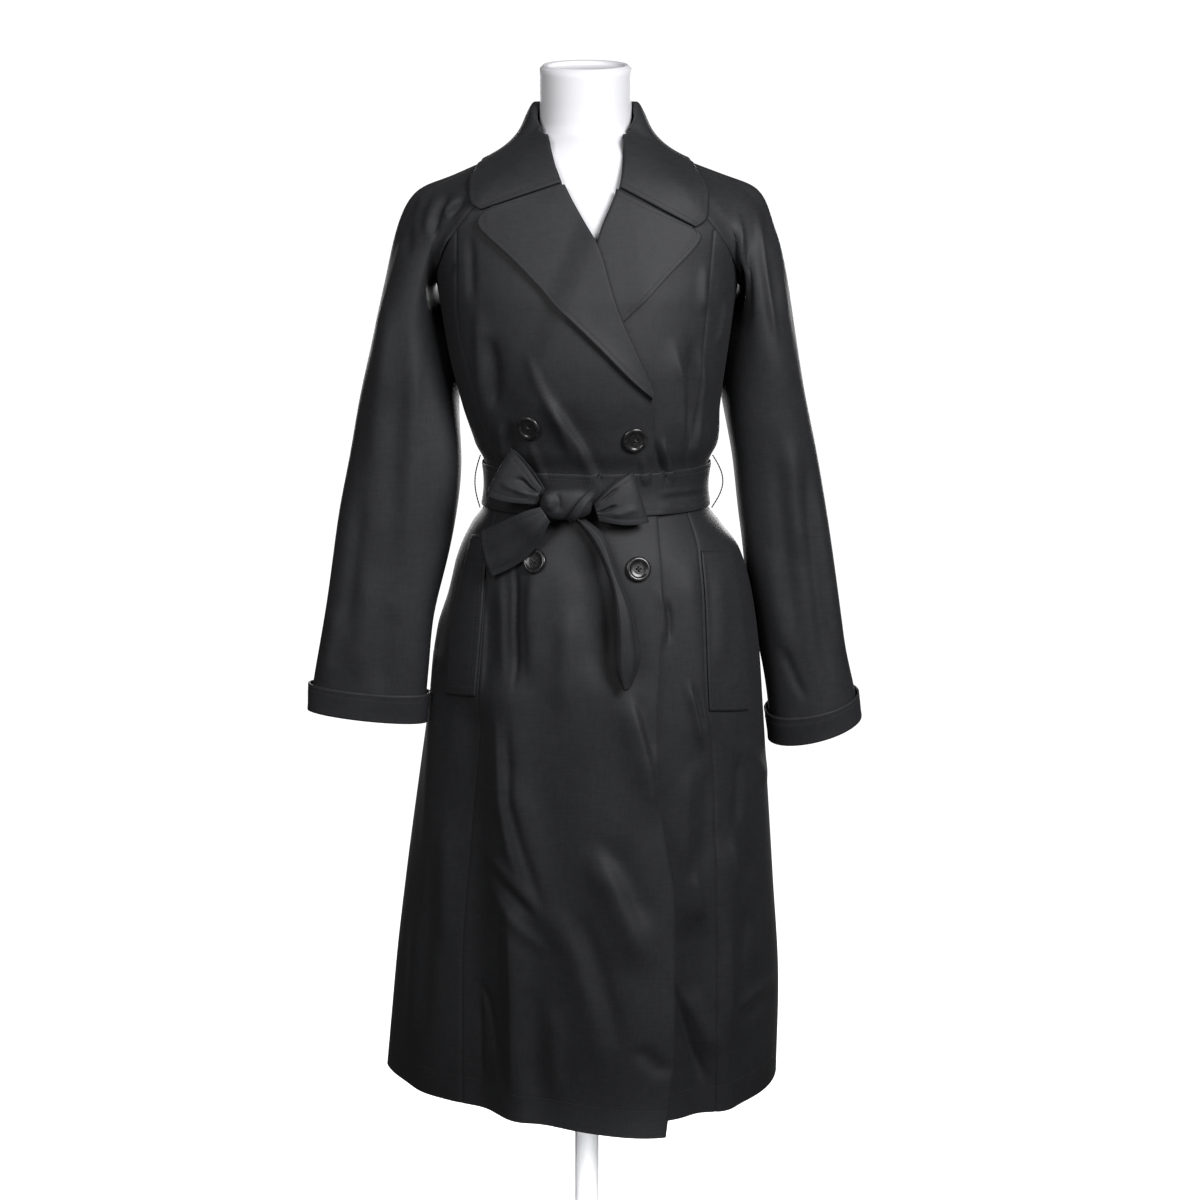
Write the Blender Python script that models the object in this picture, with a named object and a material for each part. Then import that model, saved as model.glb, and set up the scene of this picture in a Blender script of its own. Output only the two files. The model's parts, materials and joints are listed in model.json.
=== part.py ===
"""Double-breasted raglan trench coat, belt tied in a bow, hanging on a limbless dress form.

Metres, +Z up.  The wearer faces -Y, so the wearer's right is -X.  The origin is the centre of the
stand's base, on the floor.  Every cloth piece is a thin wall: its outer points come from the body
surface or from the sleeve rings, and its inner points lie one wall thickness further in.
"""
import functools
import math

import bpy
import numpy as np
from mathutils import Vector
from mathutils.bvhtree import BVHTree

# ---------------------------------------------------------------- driving dimensions
HEM_Z = 0.300
ARMPIT_Z = 1.235
PANEL_TIP_Z = 1.305
NECK_Z = 1.405
BREAK_Z = 1.127
BELT_BOTTOM_Z = 0.996
BELT_TOP_Z = 1.045

WALL = 0.0015
DOUBLE_WALL = 0.0022
SEAM_HALF_GAP = 0.0002
REST_GAP = 0.0003
LAYER_GAP = 0.0014
WELT_GAP = 0.0013
BELT_GAP = 0.0012

OVERLAP_GAP = 0.0019
OVERLAP_LIFT = WALL + OVERLAP_GAP
LAPEL_LIFT = WALL + DOUBLE_WALL + 2 * LAYER_GAP
OVERLAP_EASE = 0.035
LAPEL_LIFT_RUN = 0.04
NECK_LIFT_RUN = 0.06

BUTTON_RADIUS = 0.0138
BUTTON_THICKNESS = 0.0042
BUTTON_ROUNDING = 0.0012
BUTTON_RIM = 0.0042
BUTTON_DISH = 0.0016
BUTTON_SEGMENTS = 20
CUFF_HEIGHT = 0.031
CUFF_STAND_OFF = 0.0006
# Height above the sleeve's end, and how far the cuff flares out there.
CUFF_RINGS = ((-0.0015, 0.0), (0.006, 0.0003), (0.018, 0.0012), (CUFF_HEIGHT, 0.0022))
THREAD_RADIUS = 0.0009
THREAD_REACH = 0.006
THREAD_SIDES = 6
THREAD_STEPS = 10

POLE_RADIUS = 0.014
BASE_RADIUS = 0.160
BASE_THICKNESS = 0.012
BASE_SEGMENTS = 40
POLE_SEGMENTS = 24
FORM_BOTTOM_Z = 0.720
FORM_NECK_RADIUS = 0.0503
FORM_NECK_TOP_Z = 1.4758
FORM_NECK_TILT = 0.15

# Rows of points up the coat, shared by every panel so that seams meet row by row.
SKIRT_ROWS = (0.300, 0.350, 0.410, 0.470, 0.530, 0.590, 0.650, 0.710, 0.770, 0.820, 0.870, 0.915,
              0.950, 0.978)
BODICE_ROWS = (0.996, 1.020, 1.045, 1.066, 1.095, 1.127, 1.165, 1.200, 1.235)
YOKE_ROWS = (1.258, 1.282, 1.305, 1.330, 1.352, 1.371, 1.388, 1.405)

# Columns of points: the part of a front that overlaps the other one, and the rest of it.
LAP_COLUMNS = 7
FRONT_COLUMNS = 6
SIDE_COLUMNS = 6
BACK_COLUMNS = 20
LEAST_LAP_SHARE = 0.45
PANEL_TIP_ANGLE = 0.012

# ---------------------------------------------------------------- sections of the body
SECTION_NAMES = ("centre_x", "half_width", "centre_y", "front", "back", "full_right", "full_left")
BODY_SECTIONS = (
    # height, centre_x, half_width, centre_y, front, back, full_right, full_left
    (0.300, -0.0070, 0.2360, 0.065, 0.190, 0.150, 1.50, 2.15),
    (0.420, -0.0005, 0.2300, 0.058, 0.185, 0.147, 1.58, 2.10),
    (0.545, 0.0030, 0.2176, 0.048, 0.178, 0.145, 1.70, 2.05),
    (0.670, 0.0075, 0.2037, 0.036, 0.168, 0.140, 1.85, 2.05),
    (0.757, 0.0110, 0.1936, 0.026, 0.160, 0.137, 1.95, 2.05),
    (0.845, 0.0148, 0.1820, 0.016, 0.150, 0.134, 2.00, 2.05),
    (0.902, 0.0158, 0.1716, 0.010, 0.141, 0.127, 2.00, 2.05),
    (0.944, 0.0150, 0.1590, 0.005, 0.131, 0.116, 2.05, 2.05),
    (0.975, 0.0112, 0.1400, 0.002, 0.119, 0.102, 2.10, 2.10),
    (0.995, 0.0110, 0.1265, 0.000, 0.109, 0.090, 2.15, 2.15),
    (1.020, 0.0112, 0.1235, 0.000, 0.106, 0.088, 2.15, 2.15),
    (1.045, 0.0118, 0.1262, 0.000, 0.109, 0.091, 2.15, 2.15),
    (1.067, 0.0115, 0.1365, 0.000, 0.118, 0.099, 2.15, 2.15),
    (1.108, 0.0060, 0.1442, -0.002, 0.125, 0.107, 2.15, 2.15),
    (1.168, 0.0025, 0.1553, -0.004, 0.130, 0.113, 2.15, 2.15),
    (1.225, 0.0018, 0.1640, -0.004, 0.127, 0.115, 2.15, 2.15),
    (1.260, 0.0015, 0.1700, -0.003, 0.120, 0.116, 2.15, 2.15),
    (1.300, 0.0010, 0.1800, -0.002, 0.111, 0.114, 2.15, 2.15),
    (1.330, 0.0000, 0.1810, 0.000, 0.104, 0.109, 2.15, 2.15),
    (1.347, 0.0000, 0.1750, 0.002, 0.099, 0.105, 2.10, 2.10),
    (1.360, 0.0000, 0.1530, 0.003, 0.094, 0.099, 2.05, 2.05),
    (1.373, 0.0000, 0.1260, 0.004, 0.088, 0.092, 2.00, 2.00),
    (1.386, 0.0000, 0.0990, 0.004, 0.080, 0.083, 2.00, 2.00),
    (1.399, 0.0000, 0.0740, 0.003, 0.069, 0.071, 2.00, 2.00),
    (1.410, 0.0000, 0.0600, 0.002, 0.059, 0.062, 2.00, 2.00),
)
BACK_FULLNESS = 2.1

# Largest folds.  Positions are along x at the top and at the bottom of each fold; height is
# positive for a ridge and negative for a trough.
FOLD_NAMES = ("face", "top_x", "top_z", "bottom_x", "bottom_z", "half_width", "height")
FOLDS = (
    # face, top_x, top_z, bottom_x, bottom_z, half_width, height
    ("front", -0.050, 1.145, 0.010, 1.050, 0.014, 0.0045),
    ("front", -0.027, 1.128, 0.022, 1.050, 0.013, -0.0035),
    ("front", -0.101, 1.200, -0.094, 1.090, 0.016, -0.0040),
    ("front", 0.094, 1.195, 0.100, 1.060, 0.015, 0.0045),
    ("front", 0.114, 1.200, 0.116, 1.060, 0.014, -0.0035),
    ("front", -0.010, 0.985, 0.026, 0.800, 0.020, -0.0080),
    ("front", 0.044, 0.830, 0.071, 0.680, 0.016, 0.0060),
    ("front", -0.086, 0.840, -0.083, 0.300, 0.026, 0.0085),
    ("front", -0.128, 0.800, -0.122, 0.300, 0.026, -0.0080),
    ("front", -0.080, 0.720, -0.030, 0.500, 0.018, 0.0050),
    ("front", -0.030, 0.980, -0.078, 0.840, 0.018, 0.0040),
    ("front", 0.012, 0.640, 0.058, 0.480, 0.020, 0.0050),
    ("front", 0.112, 0.960, 0.128, 0.720, 0.018, 0.0050),
    ("front", 0.160, 0.640, 0.158, 0.300, 0.022, 0.0060),
    ("front", 0.118, 0.560, 0.132, 0.300, 0.022, -0.0070),
    ("front", -0.168, 0.900, -0.190, 0.300, 0.026, 0.0050),
    ("back", -0.150, 0.930, -0.190, 0.300, 0.028, -0.0070),
    ("back", -0.090, 0.975, -0.125, 0.300, 0.030, 0.0080),
    ("back", -0.040, 0.960, -0.050, 0.300, 0.028, -0.0070),
    ("back", 0.010, 0.970, 0.016, 0.300, 0.030, 0.0070),
    ("back", 0.062, 0.975, 0.084, 0.300, 0.028, -0.0080),
    ("back", 0.108, 0.960, 0.146, 0.300, 0.030, 0.0080),
    ("back", 0.150, 0.920, 0.190, 0.300, 0.026, -0.0060),
    ("back", -0.098, 1.180, -0.078, 1.060, 0.018, 0.0040),
    ("back", -0.058, 1.160, -0.044, 1.060, 0.018, -0.0035),
    ("back", -0.006, 1.190, -0.006, 1.060, 0.020, 0.0040),
    ("back", 0.044, 1.165, 0.036, 1.060, 0.018, -0.0035),
    ("back", 0.090, 1.185, 0.074, 1.060, 0.018, 0.0040),
)
FOLD_FADE = 0.05

# ---------------------------------------------------------------- seams and edges, as x at each height
RIGHT_PANEL_SEAM = ((0.300, -0.147), (0.470, -0.145), (0.620, -0.135), (0.790, -0.120),
                    (0.950, -0.108), (1.020, -0.096), (1.120, -0.120), (1.222, -0.140),
                    (1.305, -0.1385))
LEFT_PANEL_SEAM = ((0.300, 0.148), (0.660, 0.145), (0.740, 0.140), (0.790, 0.131),
                   (0.955, 0.124), (1.020, 0.108), (1.100, 0.120), (1.200, 0.130),
                   (1.305, 0.1385))
FRONT_RAGLAN = ((1.235, 0.1900), (1.258, 0.1650), (1.282, 0.1540), (1.305, 0.1395),
                (1.330, 0.1180), (1.355, 0.0960), (1.380, 0.0770), (1.405, 0.0560))
BACK_RAGLAN = ((1.235, 0.1900), (1.258, 0.1660), (1.282, 0.1580), (1.305, 0.1490),
               (1.330, 0.1320), (1.355, 0.1080), (1.380, 0.0850), (1.405, 0.0520))
RIGHT_ROLL = ((1.127, 0.0710), (1.169, 0.0540), (1.211, 0.0350), (1.250, 0.0230),
              (1.290, 0.0110), (1.323, -0.0100), (1.351, -0.0240), (1.372, -0.0320),
              (1.405, -0.0410))
LEFT_ROLL = ((1.127, -0.0520), (1.169, -0.0360), (1.211, -0.0180), (1.250, -0.0030),
             (1.290, 0.0130), (1.310, 0.0220), (1.340, 0.0340), (1.373, 0.0400),
             (1.405, 0.0410))
RIGHT_EDGE = ((0.300, 0.078), (0.392, 0.088), (0.566, 0.091), (0.628, 0.084), (0.690, 0.077),
              (0.756, 0.076), (0.844, 0.080), (0.914, 0.083), (0.990, 0.078), (1.038, 0.076),
              (1.127, 0.071))
LEFT_EDGE = ((0.300, -0.066), (0.700, -0.064), (1.000, -0.060), (1.127, -0.052))
# How far the lapped edge stands proud of the front beneath it, at each height.
EDGE_FLARE = ((0.300, 0.040), (0.450, 0.030), (0.600, 0.018), (0.750, 0.007), (0.900, 0.002),
              (1.000, 0.000))
FLARE_START_X = -0.060

# ---------------------------------------------------------------- lapels: x and z of matching points
RIGHT_LAPEL = (
    # roll_x, roll_z, edge_x, edge_z
    (0.0705, 1.130, 0.0700, 1.1265),
    (0.0620, 1.150, 0.0480, 1.1470),
    (0.0500, 1.178, 0.0200, 1.1760),
    (0.0360, 1.210, -0.0120, 1.2080),
    (0.0240, 1.246, -0.0440, 1.2400),
    (0.0120, 1.286, -0.0760, 1.2730),
    (-0.0060, 1.317, -0.1040, 1.2980),
    (-0.0180, 1.338, -0.1125, 1.3110),
    (-0.0225, 1.347, -0.1085, 1.3185),
    (-0.0240, 1.350, -0.0980, 1.3262),
)
LEFT_LAPEL = (
    # roll_x, roll_z, edge_x, edge_z
    (-0.0470, 1.141, -0.0460, 1.1380),
    (-0.0410, 1.155, -0.0250, 1.1520),
    (-0.0320, 1.178, 0.0030, 1.1740),
    (-0.0180, 1.210, 0.0370, 1.2050),
    (-0.0040, 1.246, 0.0680, 1.2350),
    (0.0130, 1.286, 0.0960, 1.2650),
    (0.0240, 1.317, 0.1160, 1.2860),
    (0.0320, 1.335, 0.1210, 1.2960),
    (0.0350, 1.345, 0.1130, 1.3045),
)
LAPEL_COLUMNS = 6
LAPEL_EDGE_RISE = 0.0045
# How far clear of the right front's roll line the left lapel begins to lift.
COVER_MARGIN = 0.007
COVER_EASE = 0.035

# ---------------------------------------------------------------- collar
# The part with a stand, from the centre back forwards.  Angles are degrees from the centre back.
STAND_NAMES = ("angle", "stand", "lean", "edge_x", "edge_y", "edge_z", "sag")
COLLAR_STAND = (
    # angle, stand, lean, edge_x, edge_y, edge_z, sag
    (0.0, 0.0370, 0.0050, 0.0000, 0.1030, 1.3600, 0.004),
    (22.0, 0.0368, 0.0058, 0.0410, 0.0990, 1.3600, 0.005),
    (42.0, 0.0362, 0.0075, 0.0770, 0.0850, 1.3620, 0.006),
    (60.0, 0.0358, 0.0095, 0.0990, 0.0620, 1.3670, 0.009),
    (76.0, 0.0352, 0.0115, 0.1090, 0.0350, 1.3730, 0.012),
    (91.0, 0.0335, 0.0125, 0.1125, 0.0090, 1.3760, 0.013),
    (106.0, 0.0275, 0.0100, 0.1150, -0.0130, 1.3750, 0.011),
    (120.0, 0.0160, 0.0060, 0.1180, -0.0310, 1.3710, 0.005),
    (132.0, 0.0065, 0.0030, 0.1210, -0.0460, 1.3655, 0.001),
)
# The part in front of it: height on the roll line, and the matching point of the outer edge.
COLLAR_FRONT_NAMES = ("roll_z", "edge_x", "edge_z")
RIGHT_COLLAR_FRONT = (
    # roll_z, edge_x, edge_z
    (1.4000, -0.1235, 1.3560),
    (1.3860, -0.1240, 1.3440),
    (1.3700, -0.1215, 1.3310),
    (1.3530, -0.1110, 1.3245),
)
LEFT_COLLAR_FRONT = (
    # roll_z, edge_x, edge_z
    (1.4000, 0.1290, 1.3500),
    (1.3860, 0.1310, 1.3310),
    (1.3680, 0.1280, 1.3130),
    (1.3480, 0.1170, 1.3060),
)
COLLAR_FALL_ROWS = 4
SAG_SKEW = 0.7
COLLAR_CLEARANCE = 0.0018
COLLAR_ROLL_RADIUS = 0.0046
COLLAR_ROLL_SHARE = 0.45
STAND_ROWS = 4
# Spacing of the stand's rows in front of the stand, where their cells are left out.
SPARE_ROW_STEP = 0.02
PUSH_REACH = 0.012
COLLAR_PUSHES = 3

# ---------------------------------------------------------------- sleeves
SLEEVE_NAMES = ("outer", "inner", "centre_y", "half_depth", "crease", "tilt", "lean")
RIGHT_SLEEVE = (
    # height, outer, inner, centre_y, half_depth, crease, tilt, lean
    (0.7565, 0.3150, 0.1835, -0.024, 0.0240, 0.000, 0.11, 0.05),
    (0.786, 0.3110, 0.1820, -0.022, 0.0260, 0.002, 0.09, 0.04),
    (0.820, 0.3050, 0.1790, -0.019, 0.0300, 0.004, 0.08, 0.03),
    (0.870, 0.2960, 0.1740, -0.015, 0.0350, 0.006, 0.07, 0.02),
    (0.930, 0.2870, 0.1605, -0.009, 0.0400, 0.010, 0.06, 0.02),
    (0.990, 0.2780, 0.1480, -0.003, 0.0450, 0.011, 0.05, 0.01),
    (1.050, 0.2660, 0.1420, 0.002, 0.0500, 0.010, 0.04, 0.00),
    (1.110, 0.2550, 0.1480, 0.005, 0.0560, 0.006, 0.02, 0.00),
    (1.170, 0.2410, 0.1585, 0.006, 0.0640, 0.000, 0.00, 0.00),
)
LEFT_SLEEVE = (
    # height, outer, inner, centre_y, half_depth, crease, tilt, lean
    (0.730, 0.3175, 0.2140, 0.030, 0.0380, 0.000, 0.26, 0.24),
    (0.772, 0.3095, 0.2110, 0.029, 0.0390, 0.002, 0.20, 0.22),
    (0.820, 0.2990, 0.2045, 0.027, 0.0410, 0.004, 0.12, 0.15),
    (0.870, 0.2910, 0.1975, 0.024, 0.0430, 0.006, 0.10, 0.10),
    (0.930, 0.2820, 0.1860, 0.020, 0.0450, 0.006, 0.08, 0.06),
    (0.990, 0.2720, 0.1740, 0.016, 0.0480, 0.005, 0.06, 0.03),
    (1.050, 0.2610, 0.1660, 0.012, 0.0510, 0.004, 0.04, 0.00),
    (1.110, 0.2480, 0.1590, 0.008, 0.0560, 0.002, 0.02, 0.00),
    (1.170, 0.2370, 0.1625, 0.006, 0.0640, 0.000, 0.00, 0.00),
)
# Points of the shoulder lines, from just outside the neck to the top of the arm.
SHOULDER_LINES = (
    # share, right_x, left_x, z
    (0.10, 0.0840, 0.0840, 1.3890),
    (0.22, 0.1210, 0.1240, 1.3720),
    (0.35, 0.1530, 0.1610, 1.3585),
    (0.48, 0.1840, 0.1895, 1.3455),
    (0.62, 0.2065, 0.2065, 1.3125),
    (0.80, 0.2215, 0.2220, 1.2555),
)
# How strongly the head keeps its first and last direction, under the arm and over the shoulder.
HEAD_START_PULL = (1.00, 1.60)
HEAD_END_PULL = (1.00, 2.30)
# From this share of the way down, the seam's wall turns to face the armpit.
UNDERARM_START = 0.55
SHOULDER_SPREAD = 1.5
SHOULDER_ROUNDNESS = 0.07
HEAD_SMOOTHINGS = 2
CREASE_ANGLE = 140.0
CREASE_SPREAD = 26.0

# ---------------------------------------------------------------- pocket welts: corners as x and z
WELT_NAMES = ("seam_x", "seam_z", "free_x", "free_z")
RIGHT_WELT = (
    # seam_x, seam_z, free_x, free_z
    (-0.1060, 0.972, -0.1260, 0.966),
    (-0.1120, 0.910, -0.1400, 0.903),
    (-0.1170, 0.850, -0.1490, 0.843),
    (-0.1220, 0.792, -0.1560, 0.786),
)
LEFT_WELT = (
    # seam_x, seam_z, free_x, free_z
    (0.1260, 0.955, 0.1620, 0.948),
    (0.1290, 0.897, 0.1710, 0.889),
    (0.1310, 0.838, 0.1770, 0.829),
    (0.1340, 0.779, 0.1820, 0.768),
)
WELT_ROWS = 9
WELT_COLUMNS = 4
WELT_GAPE = 0.0022

# ---------------------------------------------------------------- buttons: x and z of the centres
BUTTON_PLACES = {"button_upper_right": (-0.059, 1.095), "button_upper_left": (0.052, 1.082),
                 "button_lower_right": (-0.053, 0.949), "button_lower_left": (0.056, 0.942)}

# ---------------------------------------------------------------- the belt and its bow
BELT_ROWS = (BELT_BOTTOM_Z, 1.008, 1.020, 1.033, BELT_TOP_Z)
BELT_COLUMNS = 44
# How far past the lapped edge the belt needs to come down to the front beneath.
BELT_STEP_RUN = 0.03
KNOT_CENTRE = (-0.0205, -0.1290, 1.0140)
KNOT_HALF_SIZE = (0.0285, 0.0130, 0.0175)
KNOT_RINGS = 9
KNOT_SEGMENTS = 16
KNOT_FULLNESS = 0.72
KNOT_RIDGE = 0.06
KNOT_TWIST = 2.4
BOW_PROFILE = (
    # along, out, half_width: the front layer, the turned end, then the back layer
    (0.000, 0.0050, 0.0095),
    (0.012, 0.0095, 0.0150),
    (0.027, 0.0110, 0.0215),
    (0.043, 0.0095, 0.0260),
    (0.054, 0.0060, 0.0282),
    (0.0585, 0.0005, 0.0288),
    (0.0545, -0.0048, 0.0282),
    (0.043, -0.0062, 0.0260),
    (0.027, -0.0058, 0.0210),
    (0.012, -0.0050, 0.0150),
    (0.001, -0.0040, 0.0095),
)
BOW_COLUMNS = 6
BOW_GATHER = 0.0011
BOW_CROWN = 0.0020
RIGHT_BOW = {"root": (-0.0525, -0.1285, 1.0215), "tip": (-0.0985, -0.1100, 1.0465)}
LEFT_BOW = {"root": (0.0120, -0.1290, 1.0045), "tip": (0.0610, -0.1230, 1.0205)}

TAIL_SWELL = 0.001
RIGHT_TAIL = (
    # one edge, the ridge and the other edge, from the knot down
    ((-0.0500, -0.1330, 1.0110), (-0.0450, -0.1360, 1.0040), (-0.0400, -0.1350, 0.9950)),
    ((-0.0660, -0.1290, 1.0060), (-0.0560, -0.1370, 0.9920), (-0.0470, -0.1310, 0.9800)),
    ((-0.0850, -0.1180, 0.9960), (-0.0710, -0.1270, 0.9780), (-0.0580, -0.1230, 0.9620)),
    ((-0.1040, -0.1040, 0.9850), (-0.0900, -0.1150, 0.9640), (-0.0760, -0.1150, 0.9450)),
    ((-0.1170, -0.0930, 0.9780), (-0.1160, -0.0980, 0.9530), (-0.1060, -0.1030, 0.9290)),
)
LEFT_TAIL = (
    # one edge, the ridge and the other edge, from the knot down
    ((-0.0120, -0.1260, 0.9940), (-0.0060, -0.1330, 0.9940), (0.0000, -0.1270, 0.9940)),
    ((0.0040, -0.1300, 0.9750), (0.0120, -0.1400, 0.9760), (0.0210, -0.1330, 0.9780)),
    ((0.0150, -0.1380, 0.9500), (0.0240, -0.1500, 0.9520), (0.0300, -0.1420, 0.9540)),
    ((0.0190, -0.1430, 0.9260), (0.0300, -0.1560, 0.9280), (0.0380, -0.1470, 0.9310)),
    ((0.0230, -0.1480, 0.9000), (0.0350, -0.1620, 0.9010), (0.0510, -0.1480, 0.9030)),
    ((0.0250, -0.1500, 0.8650), (0.0365, -0.1640, 0.8650), (0.0565, -0.1500, 0.8680)),
    ((0.0280, -0.1510, 0.8350), (0.0390, -0.1640, 0.8340), (0.0600, -0.1510, 0.8420)),
    ((0.0350, -0.1520, 0.8150), (0.0440, -0.1600, 0.8110), (0.0560, -0.1520, 0.8220)),
)

# ---------------------------------------------------------------- dress form
FORM_CLEARANCE = ((0.720, 0.064), (0.780, 0.038), (0.840, 0.024), (0.900, 0.016), (0.950, 0.012),
                  (1.020, 0.0075), (1.100, 0.0080), (1.200, 0.0080), (1.282, 0.0080),
                  (1.305, 0.0080), (1.330, 0.0080), (1.355, 0.0055), (1.380, 0.0030))
FORM_HEIGHTS = (0.720, 0.745, 0.790, 0.840, 0.890, 0.930, 0.965, 0.996, 1.020, 1.045, 1.075, 1.110,
                1.150, 1.200, 1.250, 1.282, 1.305, 1.330, 1.355, 1.380)
FORM_NECK = ((1.392, 0.0640), (1.400, 0.0550), (1.410, 0.0515), (1.425, FORM_NECK_RADIUS),
             (1.450, FORM_NECK_RADIUS), (FORM_NECK_TOP_Z - 0.004, FORM_NECK_RADIUS),
             (FORM_NECK_TOP_Z, FORM_NECK_RADIUS - 0.004),
             (FORM_NECK_TOP_Z - 0.001, FORM_NECK_RADIUS - 0.008),
             (FORM_NECK_TOP_Z - 0.005, FORM_NECK_RADIUS - 0.010))
FORM_SLOPE_START_Z = 1.25
FORM_SLOPE_START_X = 0.040
FORM_SLOPE_LENGTH = 0.070
FORM_SHOULDER_DROP = 0.012
FORM_TILT_START_Z = 1.43
FORM_SEGMENTS = 24


# ---------------------------------------------------------------- curves and the body surface
@functools.lru_cache(maxsize=None)
def slopes(points):
    """Slopes at each (place, value) point that let a smooth curve pass with no overshoot."""
    steps = []
    for (x0, y0), (x1, y1) in zip(points, points[1:]):
        steps.append((y1 - y0) / (x1 - x0))
    result = [steps[0]]
    for before, after in zip(steps, steps[1:]):
        agree = before * after > 0
        result.append(2 * before * after / (before + after) if agree else 0.0)
    result.append(steps[-1])
    return result


def curve(points, x):
    """Value at x of the smooth curve through the points, held level past its two ends."""
    if x <= points[0][0]:
        return points[0][1]
    if x >= points[-1][0]:
        return points[-1][1]
    slope = slopes(points)
    i = max(k for k in range(len(points) - 1) if points[k][0] <= x)
    (x0, y0), (x1, y1) = points[i], points[i + 1]
    span = x1 - x0
    t = (x - x0) / span
    rise = (3 - 2 * t) * t * t
    return (y0 + (y1 - y0) * rise + span * slope[i] * t * (1 - t) ** 2
            - span * slope[i + 1] * t * t * (1 - t))


def column(table, index):
    """The (first column, chosen column) pairs of a table."""
    return tuple((row[0], row[index]) for row in table)


BODY_COLUMNS = {name: column(BODY_SECTIONS, i + 1) for i, name in enumerate(SECTION_NAMES)}


@functools.lru_cache(maxsize=None)
def section(z):
    """Named sizes of the body's section at a height."""
    return {name: curve(points, z) for name, points in BODY_COLUMNS.items()}


def ease(t):
    """Smooth step from 0 to 1."""
    t = min(1.0, max(0.0, t))
    return t * t * (3 - 2 * t)


def blend(pair, t):
    """The value a share t of the way from the first to the second of a pair."""
    return pair[0] * (1 - t) + pair[1] * t


def fullness(angle, size):
    """Exponent of the section's curve in this quadrant; 2 is an ellipse, more is squarer."""
    if abs(angle) > math.pi / 2:
        return BACK_FULLNESS
    return size["full_right"] if angle < 0 else size["full_left"]


def plain_point(angle, z):
    """Point of the smooth body at an angle from the centre front (the wearer's left is plus)."""
    size = section(z)
    power = 2.0 / fullness(angle, size)
    sine, cosine = math.sin(angle), math.cos(angle)
    x = size["centre_x"] + size["half_width"] * math.copysign(abs(sine) ** power, sine)
    depth = size["front"] if cosine > 0 else size["back"]
    y = size["centre_y"] - depth * math.copysign(abs(cosine) ** power, cosine)
    return np.array((x, y, z))


def angle_at(x, z, face="front"):
    """Angle at which the body's section passes through x, clamped to the side seam."""
    size = section(z)
    offset = x - size["centre_x"]
    full = BACK_FULLNESS if face == "back" else fullness(math.copysign(0.1, offset), size)
    sine = min(1.0, abs(offset) / size["half_width"]) ** (full / 2.0)
    angle = math.copysign(math.asin(sine), offset)
    if face == "front":
        return angle
    return math.copysign(math.pi, offset) - angle


def turn(angle):
    """The angle brought between -180 and 180 degrees."""
    return (angle + math.pi) % (2 * math.pi) - math.pi


@functools.lru_cache(maxsize=None)
def fold_rows(z):
    """Angle, half width and height of each fold that reaches this height."""
    rows = []
    for values in FOLDS:
        fold = dict(zip(FOLD_NAMES, values))
        length = fold["top_z"] - fold["bottom_z"]
        t = (z - fold["bottom_z"]) / length
        reaches_hem = fold["bottom_z"] <= HEM_Z
        fade = ease((fold["top_z"] - z) / FOLD_FADE)
        if not reaches_hem:
            fade *= ease((z - fold["bottom_z"]) / FOLD_FADE)
        if fade <= 0.0:
            continue
        x = fold["bottom_x"] + (fold["top_x"] - fold["bottom_x"]) * min(1.0, max(0.0, t))
        rows.append((angle_at(x, z, fold["face"]), fold["half_width"], fold["height"] * fade))
    return rows


def fold_height(angle, z):
    """How far the folds move the body's surface out at this place."""
    size = section(z)
    radius = 0.5 * (size["half_width"] + size["front"])
    total = 0.0
    for centre, half_width, height in fold_rows(z):
        along = turn(angle - centre) * radius
        total += height * math.exp(-(along / half_width) ** 2)
    return total


def lap_lift(angle, z):
    """How far the right front is lifted over the left one, from its seam to its lapped edge."""
    start = curve(LEFT_EDGE, z) if z < BREAK_Z else curve(LEFT_ROLL, z)
    x = plain_point(angle, z)[0]
    amount = blend((OVERLAP_LIFT, LAPEL_LIFT), ease((z - BREAK_Z) / LAPEL_LIFT_RUN + 1))
    amount *= ease((NECK_Z - z) / NECK_LIFT_RUN)
    lift = amount * ease((x - start) / OVERLAP_EASE + 1)
    run = (x - FLARE_START_X) / (curve(RIGHT_EDGE, z) - FLARE_START_X)
    return lift + curve(EDGE_FLARE, z) * ease(run)


def coat_point(angle, z, lapped=False, out=0.0):
    """Point of the coat's outer face, with its folds, moved out by a distance."""
    size = section(z)
    outward = np.array((math.sin(angle) * size["front"], -math.cos(angle) * size["half_width"], 0.0))
    outward /= np.linalg.norm(outward)
    lift = fold_height(angle, z)
    if lapped:
        lift += lap_lift(angle, z)
    point = plain_point(angle, z) + outward * lift
    if out:
        point = point + coat_normal(angle, z, lapped) * out
    return point


def coat_normal(angle, z, lapped=False):
    """Outward normal of the coat's face."""
    step_angle, step_z = 0.02, 0.004
    low, high = max(HEM_Z, z - step_z), min(BODY_SECTIONS[-1][0], z + step_z)
    across = coat_point(angle + step_angle, z, lapped) - coat_point(angle - step_angle, z, lapped)
    up = coat_point(angle, high, lapped) - coat_point(angle, low, lapped)
    normal = np.cross(across, up)
    return normal / np.linalg.norm(normal)


# ---------------------------------------------------------------- making solids
def material(name, colour, roughness, metallic=0.0):
    """A plain material of one colour."""
    made = bpy.data.materials.new(name)
    made.use_nodes = True
    shader = made.node_tree.nodes["Principled BSDF"]
    shader.inputs["Base Color"].default_value = (*colour, 1.0)
    shader.inputs["Roughness"].default_value = roughness
    shader.inputs["Metallic"].default_value = metallic
    return made


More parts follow.
